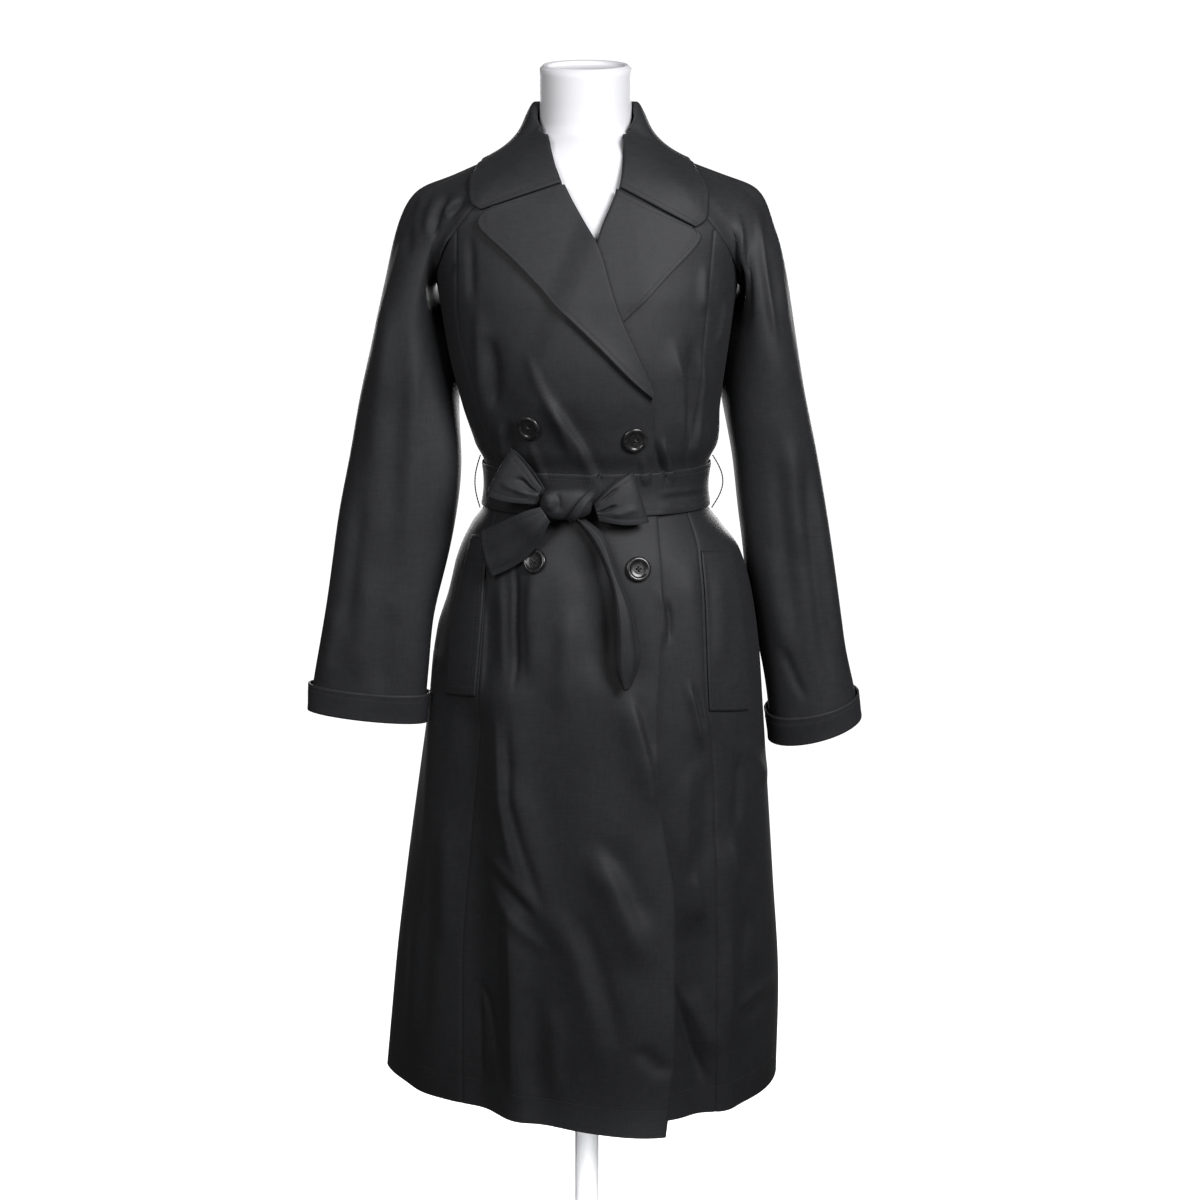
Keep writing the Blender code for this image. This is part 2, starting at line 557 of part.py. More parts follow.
def add_object(name, points, faces, surface, smooth=True):
    """One named closed solid."""
    mesh = bpy.data.meshes.new(name)
    mesh.from_pydata([tuple(float(v) for v in p) for p in points], [], faces)
    mesh.validate()
    made = bpy.data.objects.new(name, mesh)
    bpy.context.scene.collection.objects.link(made)
    mesh.materials.append(surface)
    if smooth:
        mesh.shade_smooth()
    return made


def signed_volume(points, faces):
    """Volume inside triangles, negative when they face inwards."""
    total = 0.0
    for a, b, c in faces:
        total += np.dot(points[a], np.cross(points[b], points[c]))
    return total / 6.0


def split_quads(quads, points):
    """Two triangles for each quad, along its shorter diagonal."""
    triangles = []
    for a, b, c, d in quads:
        if np.linalg.norm(points[a] - points[c]) <= np.linalg.norm(points[b] - points[d]):
            triangles += [(a, b, c), (a, c, d)]
        else:
            triangles += [(b, c, d), (b, d, a)]
    return triangles


def wall_solid(name, outer, inner, surface, closed=False, left_out=()):
    """A cloth wall between two matching grids of points (rows of columns).

    With closed set, the last column joins the first one, which makes a tube open at both ends.
    Cells named in left_out, by row and column, are not made.
    """
    outer, inner = np.array(outer), np.array(inner)
    rows, columns = outer.shape[:2]
    points = list(outer.reshape(-1, 3)) + list(inner.reshape(-1, 3))
    half = rows * columns
    quads = []
    for r in range(rows - 1):
        for c in range(columns if closed else columns - 1):
            if (r, c) in left_out:
                continue
            d = (c + 1) % columns
            quads.append((r * columns + c, r * columns + d, (r + 1) * columns + d,
                          (r + 1) * columns + c))
    edges = {(quad[k], quad[(k + 1) % 4]) for quad in quads for k in range(4)}
    sides = [(b, a, half + a, half + b) for a, b in sorted(edges) if (b, a) not in edges]
    quads += [tuple(half + i for i in reversed(quad)) for quad in quads] + sides
    used = sorted({i for quad in quads for i in quad})
    number = {old: new for new, old in enumerate(used)}
    points = [points[i] for i in used]
    faces = split_quads([tuple(number[i] for i in quad) for quad in quads], points)
    if signed_volume(points, faces) < 0:
        faces = [tuple(reversed(face)) for face in faces]
    return add_object(name, points, faces, surface)


def grid_normals(grid, closed=False):
    """Unit normals of a grid of points, from its neighbours along rows and columns."""
    grid = np.array(grid)
    if closed:
        across = np.roll(grid, -1, axis=1) - np.roll(grid, 1, axis=1)
    else:
        across = np.gradient(grid, axis=1)
    up = np.gradient(grid, axis=0)
    normals = np.cross(across, up)
    return normals / np.linalg.norm(normals, axis=2, keepdims=True)


def sheet_solid(name, grid, thickness, surface, closed=False, flip=False):
    """A wall whose outer face is the grid and whose thickness lies behind its normals."""
    normals = grid_normals(grid, closed)
    if flip:
        normals = -normals
    return wall_solid(name, grid, np.array(grid) - normals * thickness, surface, closed)


def turned_solid(name, profile, segments, surface, centre=(0.0, 0.0), shape=None):
    """A solid turned round the vertical from (radius, height) pairs, bottom to top.

    The first and the last pair have radius 0.  A shape function may move each point.
    """
    points = [np.array((centre[0], centre[1], profile[0][1]))]
    for radius, height in profile[1:-1]:
        for k in range(segments):
            angle = 2 * math.pi * k / segments
            points.append(np.array((centre[0] + radius * math.cos(angle),
                                    centre[1] + radius * math.sin(angle), height)))
    points.append(np.array((centre[0], centre[1], profile[-1][1])))
    if shape:
        points = [shape(p) for p in points]
    faces = ring_faces(len(profile) - 2, segments)
    if signed_volume(points, faces) < 0:
        faces = [tuple(reversed(face)) for face in faces]
    return add_object(name, points, faces, surface)


def ring_faces(rings, segments):
    """Triangles over rings of points that are closed by one pole point at each end."""
    faces = []
    for k in range(segments):
        faces.append((0, 1 + (k + 1) % segments, 1 + k))
    for r in range(rings - 1):
        for k in range(segments):
            a, b = 1 + r * segments + k, 1 + r * segments + (k + 1) % segments
            faces += [(a, b, b + segments), (a, b + segments, a + segments)]
    top = 1 + rings * segments
    for k in range(segments):
        last = 1 + (rings - 1) * segments
        faces.append((last + k, last + (k + 1) % segments, top))
    return faces


def tree_of(*objects):
    """A search tree over the faces of several objects."""
    points, faces = [], []
    for made in objects:
        start = len(points)
        points += [made.matrix_world @ v.co for v in made.data.vertices]
        faces += [tuple(start + i for i in p.vertices) for p in made.data.polygons]
    return BVHTree.FromPolygons(points, faces)


def seat(made, support, direction, far=0.2):
    """Moves an object's points along a direction until it nearly touches its support.

    It may start up to the distance far inside the support.
    """
    direction = Vector(direction).normalized()
    nearest = 1.0
    support_tree, own_tree = tree_of(*support), tree_of(made)
    for vertex in made.data.vertices:
        hit = support_tree.ray_cast(vertex.co - direction * far, direction)
        if hit[0] is not None:
            nearest = min(nearest, hit[3] - far)
    for other in support:
        for vertex in other.data.vertices:
            hit = own_tree.ray_cast(vertex.co + direction * far, -direction)
            if hit[0] is not None:
                nearest = min(nearest, hit[3] - far)
    for vertex in made.data.vertices:
        vertex.co += direction * (nearest - REST_GAP)
    return made


# ---------------------------------------------------------------- panels of the body
def panel_grid(rows, stretches, lapped=False):
    """Outer and inner points of a panel.

    Stretches are (angle function, columns) pairs from edge to edge; the last has no columns.
    """
    outer, inner = [], []
    for z in rows:
        here = section(z)
        pull = SEAM_HALF_GAP / (0.5 * (here["half_width"] + here["front"]))
        ends = [angle_of(z) for angle_of, _ in stretches]
        ends[0] += pull
        ends[-1] -= pull
        angles = [ends[0]]
        for (low, high), (_, count) in zip(zip(ends, ends[1:]), stretches):
            angles += [low + (high - low) * k / count for k in range(1, count + 1)]
        outer.append([coat_point(a, z, lapped) for a in angles])
        inner.append([coat_point(a, z, lapped) - coat_normal(a, z, lapped) * WALL for a in angles])
    return outer, inner


def raglan_angle(z, side, face):
    """Angle of the raglan seam; below the armpit it is the side seam."""
    if z <= ARMPIT_Z:
        return side * math.pi / 2
    table = FRONT_RAGLAN if face == "front" else BACK_RAGLAN
    return angle_at(section(z)["centre_x"] + side * curve(table, z), z, face)


def panel_seam_angle(z, side):
    """Angle of the seam between a centre front and its side front, or of the raglan above it."""
    if z > PANEL_TIP_Z:
        return raglan_angle(z, side, "front")
    table = RIGHT_PANEL_SEAM if side < 0 else LEFT_PANEL_SEAM
    angle = angle_at(curve(table, z), z)
    if z < ARMPIT_Z:
        return angle
    return side * min(abs(angle), abs(raglan_angle(z, side, "front")) - PANEL_TIP_ANGLE)


def right_edge_angle(z):
    """Angle of the right front's free edge: the lapped edge, then the lapel's roll line."""
    return angle_at(curve(RIGHT_EDGE if z < BREAK_Z else RIGHT_ROLL, z), z)


def left_edge_angle(z):
    """Angle of the left front's hidden edge, then of its roll line."""
    return angle_at(curve(LEFT_EDGE if z < BREAK_Z else LEFT_ROLL, z), z)


def right_lap_start(z):
    """Where the right front begins to cover the left one, or a fair share of it above that."""
    edge, seam = right_edge_angle(z), panel_seam_angle(z, -1)
    return min(left_edge_angle(z), edge - (edge - seam) * LEAST_LAP_SHARE)


def left_lap_end(z):
    """Where the left front comes out from under the right one, or a fair share of it above that."""
    edge, seam = left_edge_angle(z), panel_seam_angle(z, 1)
    return max(right_edge_angle(z), edge + (seam - edge) * LEAST_LAP_SHARE)


def make_panels(cloth):
    """Both centre fronts, both side fronts and the back, with their outer points."""
    all_rows = SKIRT_ROWS + BODICE_ROWS + YOKE_ROWS
    side_rows = tuple(z for z in all_rows if z <= PANEL_TIP_Z)
    right_seam, left_seam = (functools.partial(panel_seam_angle, side=side) for side in (-1, 1))
    right_side, left_side = (functools.partial(raglan_angle, side=side, face="front")
                             for side in (-1, 1))
    back_start = functools.partial(raglan_angle, side=1, face="back")
    grids = {
        "front_right": panel_grid(all_rows, ((right_seam, FRONT_COLUMNS),
                                             (right_lap_start, LAP_COLUMNS),
                                             (right_edge_angle, 0)), lapped=True),
        "front_left": panel_grid(all_rows, ((left_edge_angle, LAP_COLUMNS),
                                            (left_lap_end, FRONT_COLUMNS), (left_seam, 0))),
        "side_front_right": panel_grid(side_rows, ((right_side, SIDE_COLUMNS), (right_seam, 0))),
        "side_front_left": panel_grid(side_rows, ((left_seam, SIDE_COLUMNS), (left_side, 0))),
        "back": panel_grid(all_rows, ((back_start, BACK_COLUMNS), (back_end_angle, 0))),
    }
    panels = {name: wall_solid(name, *grid, cloth) for name, grid in grids.items()}
    return panels, [outer for outer, _ in grids.values()]


def back_end_angle(z):
    """Angle of the back's edge on the wearer's right, counted on past the centre back."""
    return raglan_angle(z, -1, "back") + 2 * math.pi


# ---------------------------------------------------------------- sleeves
def sleeve_seam(side):
    """The loop that a sleeve is sewn to: place, wall normal and the arm angle it runs to.

    It starts at the neck, runs down the front raglan seam to the armpit and up the back one.
    """
    front = [(raglan_angle(z, side, "front"), z) for z in reversed(YOKE_ROWS)]
    back = [(raglan_angle(z, side, "back"), z) for z in YOKE_ROWS]
    neck = side * math.pi / 2
    loop = [(neck, NECK_Z)] + front + [(neck, ARMPIT_Z)] + back
    count = len(loop)
    places = [coat_point(angle, z) for angle, z in loop]
    seam = []
    for k, (angle, z) in enumerate(loop):
        arm_angle = 2 * math.pi * k / count
        under = ease((-math.cos(arm_angle) - UNDERARM_START) / (1 - UNDERARM_START))
        normal = coat_normal(angle, z) * (1 - under) + np.array((0.0, 0.0, -1.0)) * under
        along = places[(k + 1) % count] - places[k - 1]
        normal /= np.linalg.norm(normal)
        away = np.cross(normal, along) * side
        away /= np.linalg.norm(away)
        seam.append({"place": places[k] + away * SEAM_HALF_GAP * 1.5, "normal": normal,
                     "away": away, "arm_angle": arm_angle})
    return seam


def arm_point(table, z, arm_angle, side):
    """Point of the sleeve below its head: arm angle 0 is outermost, 90 degrees is the front."""
    sizes = {name: curve(column(table, i + 1), z) for i, name in enumerate(SLEEVE_NAMES)}
    middle = 0.5 * (sizes["outer"] + sizes["inner"])
    half = 0.5 * (sizes["outer"] - sizes["inner"])
    gap = turn(arm_angle - math.radians(CREASE_ANGLE)) / math.radians(CREASE_SPREAD)
    swell = 1 + sizes["crease"] / half * math.exp(-gap * gap)
    x = middle + half * math.cos(arm_angle) * swell
    y = sizes["centre_y"] - sizes["half_depth"] * math.sin(arm_angle) * swell
    rise = sizes["tilt"] * (x - middle) + sizes["lean"] * (y - sizes["centre_y"])
    return np.array((side * x, y, z + rise))


def head_row(share, seam, ring, down):
    """Points of the sleeve's head, a share of the way from its seam to the first arm ring."""
    rise = share * share * (3 - 2 * share)
    row = []
    for point, last, below in zip(seam, ring, down):
        reach = np.linalg.norm(last - point["place"])
        over = max(0.0, math.cos(point["arm_angle"]))
        start = point["away"] * reach * blend(HEAD_START_PULL, over)
        end = (below - last) / np.linalg.norm(below - last) * reach * blend(HEAD_END_PULL, over)
        row.append(point["place"] * (1 - rise) + last * rise
                   + start * share * (1 - share) ** 2 - end * share * share * (1 - share))
    return row


def sleeve_grid(table, side):
    """Rows of points from the raglan seam down to the cuff."""
    seam = sleeve_seam(side)
    heights = [row[0] for row in reversed(table)]
    first = heights[0]
    ring = [arm_point(table, first, p["arm_angle"], side) for p in seam]
    down = [arm_point(table, first - 0.02, p["arm_angle"], side) for p in seam]
    grid = [head_row(0.0, seam, ring, down)]
    for share, right_x, left_x, z in SHOULDER_LINES:
        row = head_row(share, seam, ring, down)
        ridge = np.array((left_x if side > 0 else -right_x, row[0][1], z))
        across = [place - row[0] for place in row]
        for k, point in enumerate(seam):
            drop = across[k][1] ** 2 / (2 * SHOULDER_ROUNDNESS)
            arch = ridge + np.array((across[k][0], across[k][1], -drop))
            over = max(0.0, math.cos(point["arm_angle"])) ** SHOULDER_SPREAD
            row[k] = row[k] * (1 - over) + arch * over
        grid.append(row)
    head_rows = len(grid)
    for z in heights:
        grid.append([arm_point(table, z, p["arm_angle"], side) for p in seam])
    grid = np.array(grid)
    for _ in range(HEAD_SMOOTHINGS):
        head = grid[1:head_rows]
        around = (grid[:head_rows - 1] + grid[2:head_rows + 1]
                  + np.roll(head, 1, axis=1) + np.roll(head, -1, axis=1)) / 4
        head[:, 1:] = 0.5 * (head + around)[:, 1:]
    return grid, np.array([p["normal"] for p in seam])


def make_sleeve(side, table, cloth):
    """One sleeve and its turned-up cuff."""
    word = "right" if side < 0 else "left"
    grid, first_normals = sleeve_grid(table, side)
    normals = grid_normals(grid, closed=True)
    if np.dot(normals[-1][0], (side, 0, 0)) < 0:
        normals = -normals
    normals[0] = first_normals
    made = wall_solid("sleeve_" + word, grid, grid - normals * WALL, cloth, closed=True)

    bottom = table[0][0]
    count = grid.shape[1]
    rows_inner, rows_outer = [], []
    for step, flare in CUFF_RINGS:
        ring = np.array([arm_point(table, bottom + max(step, 0.0), 2 * math.pi * k / count, side)
                         for k in range(count)])
        ring[:, 2] += min(step, 0.0)
        out = ring_outward(ring)
        near = CUFF_STAND_OFF + flare
        rows_inner.append(ring + out * near)
        rows_outer.append(ring + out * (near + DOUBLE_WALL))
    wall_solid("cuff_" + word, rows_outer, rows_inner, cloth, closed=True)
    return made, grid


def ring_outward(ring):
    """Outward directions in plan of a closed ring of points."""
    along = np.roll(ring, -1, axis=0) - np.roll(ring, 1, axis=0)
    out = np.stack((along[:, 1], -along[:, 0], np.zeros(len(ring))), axis=1)
    out /= np.linalg.norm(out, axis=1, keepdims=True)
    centre = ring.mean(axis=0)
    flip = np.sign(np.sum(out * (ring - centre), axis=1))
    return out * flip[:, None]


# ---------------------------------------------------------------- lapels and collar
def lapel_rise(x, z, t, lapped):
    """How far a lapel stands off its front; the left one lies close where the right front covers it."""
    free = 1.0 if lapped else ease((x - curve(RIGHT_ROLL, z) - COVER_MARGIN) / COVER_EASE)
    return LAYER_GAP + LAPEL_EDGE_RISE * t * t * free


def make_lapel(word, table, lapped, cloth):
    """A lapel: it lies on its front, from the roll line out to its own edge."""
    grid, under = [], []
    for roll_x, roll_z, edge_x, edge_z in table:
        row, row_under = [], []
        for k in range(LAPEL_COLUMNS):
            t = k / (LAPEL_COLUMNS - 1)
            x = roll_x + (edge_x - roll_x) * t
            z = roll_z + (edge_z - roll_z) * t
            rise = lapel_rise(x, z, t, lapped)
            angle = angle_at(x, z)
            row.append(coat_point(angle, z, lapped, rise + DOUBLE_WALL))
            row_under.append(coat_point(angle, z, lapped, rise))
        grid.append(row)
        under.append(row_under)
    return wall_solid("lapel_" + word, grid, under, cloth)


def stand_line(row, side, tree):
    """Points of the collar where it has a stand: up from the neck, over the roll and down."""
    size = dict(zip(STAND_NAMES, row))
    angle = side * (math.pi - math.radians(size["angle"]))
    up = np.array((0.0, 0.0, 1.0))
    outward = np.array((math.sin(angle), -math.cos(angle), 0.0))
    seam = plain_point(angle, NECK_Z) - outward * WALL + up * REST_GAP
    radius = min(COLLAR_ROLL_RADIUS, COLLAR_ROLL_SHARE * size["stand"])
    top = seam + up * size["stand"] - outward * size["lean"]
    before = top - up * radius
    over = before + outward * 2 * radius
    guess = np.array((side * size["edge_x"], size["edge_y"], size["edge_z"]))
    place, normal, _, _ = tree.find_nearest(Vector(guess))
    edge = np.array(place + normal * (COLLAR_CLEARANCE + DOUBLE_WALL))
    line = [seam, 0.5 * (seam + before), before, top + outward * radius, over]
    for k in range(1, COLLAR_FALL_ROWS + 1):
        t = k / COLLAR_FALL_ROWS
        line.append(over * (1 - t) + edge * t - up * size["sag"] * math.sin(math.pi * t ** SAG_SKEW))
    return line


def collar_front_line(row, roll, lapped, tree):
    """Points of the collar where it only lies on the front, from the roll line to its edge."""
    size = dict(zip(COLLAR_FRONT_NAMES, row))
    roll_x = curve(roll, size["roll_z"])
    distance = COLLAR_CLEARANCE + DOUBLE_WALL
    line = [coat_point(angle_at(roll_x, size["roll_z"]), size["roll_z"], lapped, distance)]
    for k in range(1, COLLAR_FALL_ROWS + 1):
        t = k / COLLAR_FALL_ROWS
        x = roll_x * (1 - t) + size["edge_x"] * t
        z = size["roll_z"] * (1 - t) + size["edge_z"] * t
        place, normal, _, _ = tree.ray_cast(Vector((x, -0.4, z)), Vector((0.0, 1.0, 0.0)))
        line.append(np.array(place + normal * distance))
    step = (line[0] - line[1]) * SPARE_ROW_STEP
    return [line[0] + step * k for k in range(STAND_ROWS, 0, -1)] + line


def with_midpoints(columns):
    """The columns with a smooth one added between each two."""
    padded = [columns[0]] + columns + [columns[-1]]
    result = [columns[0]]
    for k in range(1, len(columns)):
        before, low, high, after = (np.array(padded[k + i]) for i in (-1, 0, 1, 2))
        result += [(9 * (low + high) - before - after) / 16, columns[k]]
    return result


def make_collar(covers, cloth):
    """The collar: its stand rises from the neck seam, rolls over and falls on the shoulders."""
    tree = cover_tree(covers)
    right = [stand_line(row, -1, tree) for row in COLLAR_STAND[:0:-1]]
    left = [stand_line(row, 1, tree) for row in COLLAR_STAND]
    right_front = [collar_front_line(row, RIGHT_ROLL, True, tree) for row in RIGHT_COLLAR_FRONT[::-1]]
    left_front = [collar_front_line(row, LEFT_ROLL, False, tree) for row in LEFT_COLLAR_FRONT]
    columns = with_midpoints(right_front + right + left + left_front)
    first, last = 2 * len(right_front), len(columns) - 1 - 2 * len(left_front)
    grid = np.array(columns).transpose(1, 0, 2)
    for _ in range(COLLAR_PUSHES):
        clear_of(grid[STAND_ROWS:], tree, COLLAR_CLEARANCE + DOUBLE_WALL)
    normals = grid_normals(grid)
    if normals[-2][len(columns) // 2][1] < 0:
        normals = -normals
    left_out = {(r, c) for r in range(STAND_ROWS) for c in range(len(columns) - 1)
                if c < first or c >= last}
    return wall_solid("collar", grid, grid - normals * DOUBLE_WALL, cloth, left_out=left_out)


def closed_strip(grid):
    """A ring-shaped grid with its first column repeated at the end."""
    return np.concatenate((grid, grid[:, :1]), axis=1)


def cover_tree(grids):
    """A search tree over outer grids of points, with the same triangles as their walls."""
    points, faces = [], []
    for grid in grids:
        grid = np.array(grid)
        rows, columns = grid.shape[:2]
        start = len(points)
        points += list(grid.reshape(-1, 3))
        corners = [start + r * columns + c for r in range(rows - 1) for c in range(columns - 1)]
        faces += split_quads([(a, a + 1, a + columns + 1, a + columns) for a in corners], points)
    return BVHTree.FromPolygons([Vector(p) for p in points], faces)


def push_needed(point, tree, distance):
    """The move that takes a point at least a distance in front of a surface close by."""
    place, normal, _, away = tree.find_nearest(Vector(point))
    short = distance - (Vector(point) - place).dot(normal)
    if short <= 0.0 or away > PUSH_REACH:
        return np.zeros(3)
    return np.array(normal * short)


def clear_of(grid, tree, distance):
    """Moves a grid's points out until they and the middles of its cells clear the surface."""
    rows, columns = grid.shape[:2]
    for r in range(rows):
        for c in range(columns):
            grid[r, c] += push_needed(grid[r, c], tree, distance)
    for r in range(rows - 1):
        for c in range(columns - 1):
            cell = grid[r:r + 2, c:c + 2]
            cell += push_needed(cell.reshape(4, 3).mean(axis=0), tree, distance)


# ---------------------------------------------------------------- welts, buttons and belt
def make_welt(word, table, support, cloth):
    """A pocket welt on the side front, sewn along its seam edge and at both ends."""
    grid, under = [], []
    rows = [dict(zip(WELT_NAMES, row)) for row in table]
    for r in range(WELT_ROWS):
        place = r / (WELT_ROWS - 1) * (len(rows) - 1)
        i = min(len(rows) - 2, int(place))
        t = place - i
        mid = {name: rows[i][name] * (1 - t) + rows[i + 1][name] * t for name in WELT_NAMES}
        gape = WELT_GAPE * math.sin(math.pi * r / (WELT_ROWS - 1))
        row, row_under = [], []
        for k in range(WELT_COLUMNS):
            s = k / (WELT_COLUMNS - 1)
            x = mid["seam_x"] + (mid["free_x"] - mid["seam_x"]) * s
            z = mid["seam_z"] + (mid["free_z"] - mid["seam_z"]) * s
            angle = angle_at(x, z)
            near = WELT_GAP + gape * s
            row.append(coat_point(angle, z, False, near + DOUBLE_WALL))
            row_under.append(coat_point(angle, z, False, near))
        grid.append(row)
        under.append(row_under)
    made = wall_solid("welt_" + word, grid, under, cloth)
    middle = grid[WELT_ROWS // 2]
    return seat(made, support, -coat_normal(angle_at(middle[0][0], middle[0][2]), middle[0][2]))


def make_button(name, place, front, surface):
    """A round button with a raised rim, seated on the right front."""
    r, t, e = BUTTON_RADIUS, BUTTON_THICKNESS, BUTTON_ROUNDING
    profile = ((0.0, 0.0), (r - e, 0.0), (r, e), (r, t - e), (r - e, t), (r - 2 * e, t),
               (r - BUTTON_RIM, t - e), (0.0, t - BUTTON_DISH))
    x, z = place
    angle = angle_at(x, z)
    centre = coat_point(angle, z, True, BUTTON_THICKNESS)
    normal = Vector(coat_normal(angle, z, True))
    spin = normal.to_track_quat("Z", "Y").to_matrix()

    def placed(point):
        return np.array(spin @ Vector(point)) + centre

    made = turned_solid(name, profile, BUTTON_SEGMENTS, surface, shape=placed)
    return seat(made, [front], -normal)


def make_belt_band(cloth):
    """The belt round the waist, a closed band that lies on the coat."""
    outer, inner = [], []
    for z in BELT_ROWS:
        row, row_in = [], []
        for k in range(BELT_COLUMNS):
            angle = 2 * math.pi * k / BELT_COLUMNS - math.pi
            x = plain_point(angle, z)[0]
            lift = lap_lift(angle, z) if abs(angle) < math.pi / 2 else 0.0
            past_edge = ease((x - curve(RIGHT_EDGE, z)) / BELT_STEP_RUN)
            near = BELT_GAP + lift * (1 - past_edge)
            row.append(coat_point(angle, z, False, near + DOUBLE_WALL))
            row_in.append(coat_point(angle, z, False, near))
        outer.append(row)
        inner.append(row_in)
    return wall_solid("belt_band", outer, inner, cloth, closed=True)


def make_knot(band, cloth):
    """The knot: a wrapped lump with three soft ridges, seated on the band."""
    rings, segments = KNOT_RINGS, KNOT_SEGMENTS
    points = []
    half = np.array(KNOT_HALF_SIZE)
    for r in range(rings + 2):
        lean = math.pi * r / (rings + 1)
        for k in range(segments if 0 < r <= rings else 1):
            turn_angle = 2 * math.pi * k / segments
            wave = math.cos(3 * turn_angle + KNOT_TWIST * math.cos(lean)) * math.sin(lean)
            cross = math.sin(lean) ** KNOT_FULLNESS * (1 + KNOT_RIDGE * wave)
            along = math.copysign(abs(math.cos(lean)) ** KNOT_FULLNESS, math.cos(lean))
            points.append(np.array((along, math.cos(turn_angle) * cross,
                                    math.sin(turn_angle) * cross)))
    points = [p * half + np.array(KNOT_CENTRE) for p in points]
    faces = ring_faces(rings, segments)
    if signed_volume(points, faces) < 0:
        faces = [tuple(reversed(face)) for face in faces]
    made = add_object("belt_knot", points, faces, cloth)
    return seat(made, [band], (0.0, 1.0, 0.0))


def make_bow(word, ends, knot, towards, cloth):
    """One loop of the bow: a band that runs out, turns back and returns behind itself."""
    root, tip = np.array(ends["root"]), np.array(ends["tip"])
    along = tip - root
    length = np.linalg.norm(along)
    along /= length
    longest = max(distance for distance, _, _ in BOW_PROFILE)
    out = np.array((0.0, -1.0, 0.0))
    out -= along * np.dot(out, along)
    out /= np.linalg.norm(out)
    across = np.cross(along, out)
    grid = []
    for distance, depth, half_width in BOW_PROFILE:
        row = []
        for k in range(BOW_COLUMNS):
            s = -1 + 2 * k / (BOW_COLUMNS - 1)
            gather = BOW_GATHER * math.cos(math.pi * 2 * s) * (1 - distance / longest)
            crown = BOW_CROWN * (1 - s * s)
            sign = 1 if depth > 0 else -1
            row.append(root + along * distance * length / longest + across * s * half_width
                       + out * (depth + sign * (crown + gather)))
        grid.append(row)
    made = sheet_solid("belt_bow_" + word, grid, DOUBLE_WALL, cloth,
                       flip=np.dot(grid_normals(grid)[2][2], out) < 0)
    return seat(made, [knot], towards)


def make_tail(word, table, knot, towards, cloth):
    """One hanging end of the belt, creased along its middle."""
    grid = []
    for edge_a, ridge, edge_b in np.array(table):
        swell = np.array((0.0, -TAIL_SWELL, 0.0))
        grid.append([edge_a, 0.5 * (edge_a + ridge) + swell, ridge,
                     0.5 * (ridge + edge_b) + swell, edge_b])
    flip = grid_normals(grid)[2][2][1] > 0
    made = sheet_solid("belt_tail_" + word, grid, DOUBLE_WALL, cloth, flip=flip)
    return seat(made, [knot], towards)


def make_thread_loop(side, reach, supports, cloth):
    """A thread carrier: a thin arc from above the belt to below it at the side seam."""
    word = "right" if side < 0 else "left"
    sides, steps = THREAD_SIDES, THREAD_STEPS
    near = REST_GAP + THREAD_RADIUS
    top = coat_point(side * math.pi / 2, BELT_TOP_Z + THREAD_REACH, False, near)
    low = coat_point(side * math.pi / 2, BELT_BOTTOM_Z - THREAD_REACH, False, near)
    points = []
    for k in range(steps + 1):
        t = k / steps
        centre = top * (1 - t) + low * t
        centre = centre + np.array((side * reach * math.sin(math.pi * t), 0.0, 0.0))
        for j in range(sides):
            a = 2 * math.pi * j / sides
            lean = math.pi * (t - 0.5)
            across = np.array((math.cos(lean) * side, 0.0, -math.sin(lean)))
            points.append(centre + THREAD_RADIUS * (across * math.cos(a)
                                                    + np.array((0.0, math.sin(a), 0.0))))
    first, last = points[:sides], points[-sides:]
    points = [np.mean(first, axis=0)] + points + [np.mean(last, axis=0)]
    faces = ring_faces(steps + 1, sides)
    if signed_volume(points, faces) < 0:
        faces = [tuple(reversed(face)) for face in faces]
    made = add_object("thread_loop_" + word, points, faces, cloth)
    return seat(made, supports, (-side, 0.0, 0.0))


# ---------------------------------------------------------------- dress form and stand
def make_form(coat, surface):
    """The limbless form inside the coat, with its neck; the coat rests on its shoulders."""
    points = [np.array((0.004, 0.008, FORM_BOTTOM_Z))]
    angles = [2 * math.pi * k / FORM_SEGMENTS for k in range(FORM_SEGMENTS)]
    for z in FORM_HEIGHTS:
        inset = WALL + curve(FORM_CLEARANCE, z)
        for angle in angles:
            inward = -plain_normal(angle, z)
            if z < FORM_SLOPE_START_Z:
                inward[2] = 0.0
            point = plain_point(angle, z) + inward * inset
            slope = ease((abs(point[0]) - FORM_SLOPE_START_X) / FORM_SLOPE_LENGTH)
            point[2] -= FORM_SHOULDER_DROP * slope * ease((z - FORM_SLOPE_START_Z) / 0.06)
            points.append(point)
    for z, radius in FORM_NECK:
        lean = FORM_NECK_TILT * ease((z - FORM_TILT_START_Z) / 0.04)
        for angle in angles:
            y = -radius * math.cos(angle)
            points.append(np.array((radius * math.sin(angle), y, z + lean * y)))
    points.append(np.array((0.0, 0.0, FORM_NECK_TOP_Z - 0.005)))
    faces = ring_faces(len(FORM_HEIGHTS) + len(FORM_NECK), FORM_SEGMENTS)
    if signed_volume(points, faces) < 0:
        faces = [tuple(reversed(face)) for face in faces]
    return seat(add_object("form_body", points, faces, surface), coat, (0.0, 0.0, 1.0), 0.0)


def plain_normal(angle, z):
    """Outward normal of the smooth body."""
    across = plain_point(angle + 0.03, z) - plain_point(angle - 0.03, z)
    up = plain_point(angle, z + 0.004) - plain_point(angle, z - 0.004)
    normal = np.cross(across, up)
    return normal / np.linalg.norm(normal)


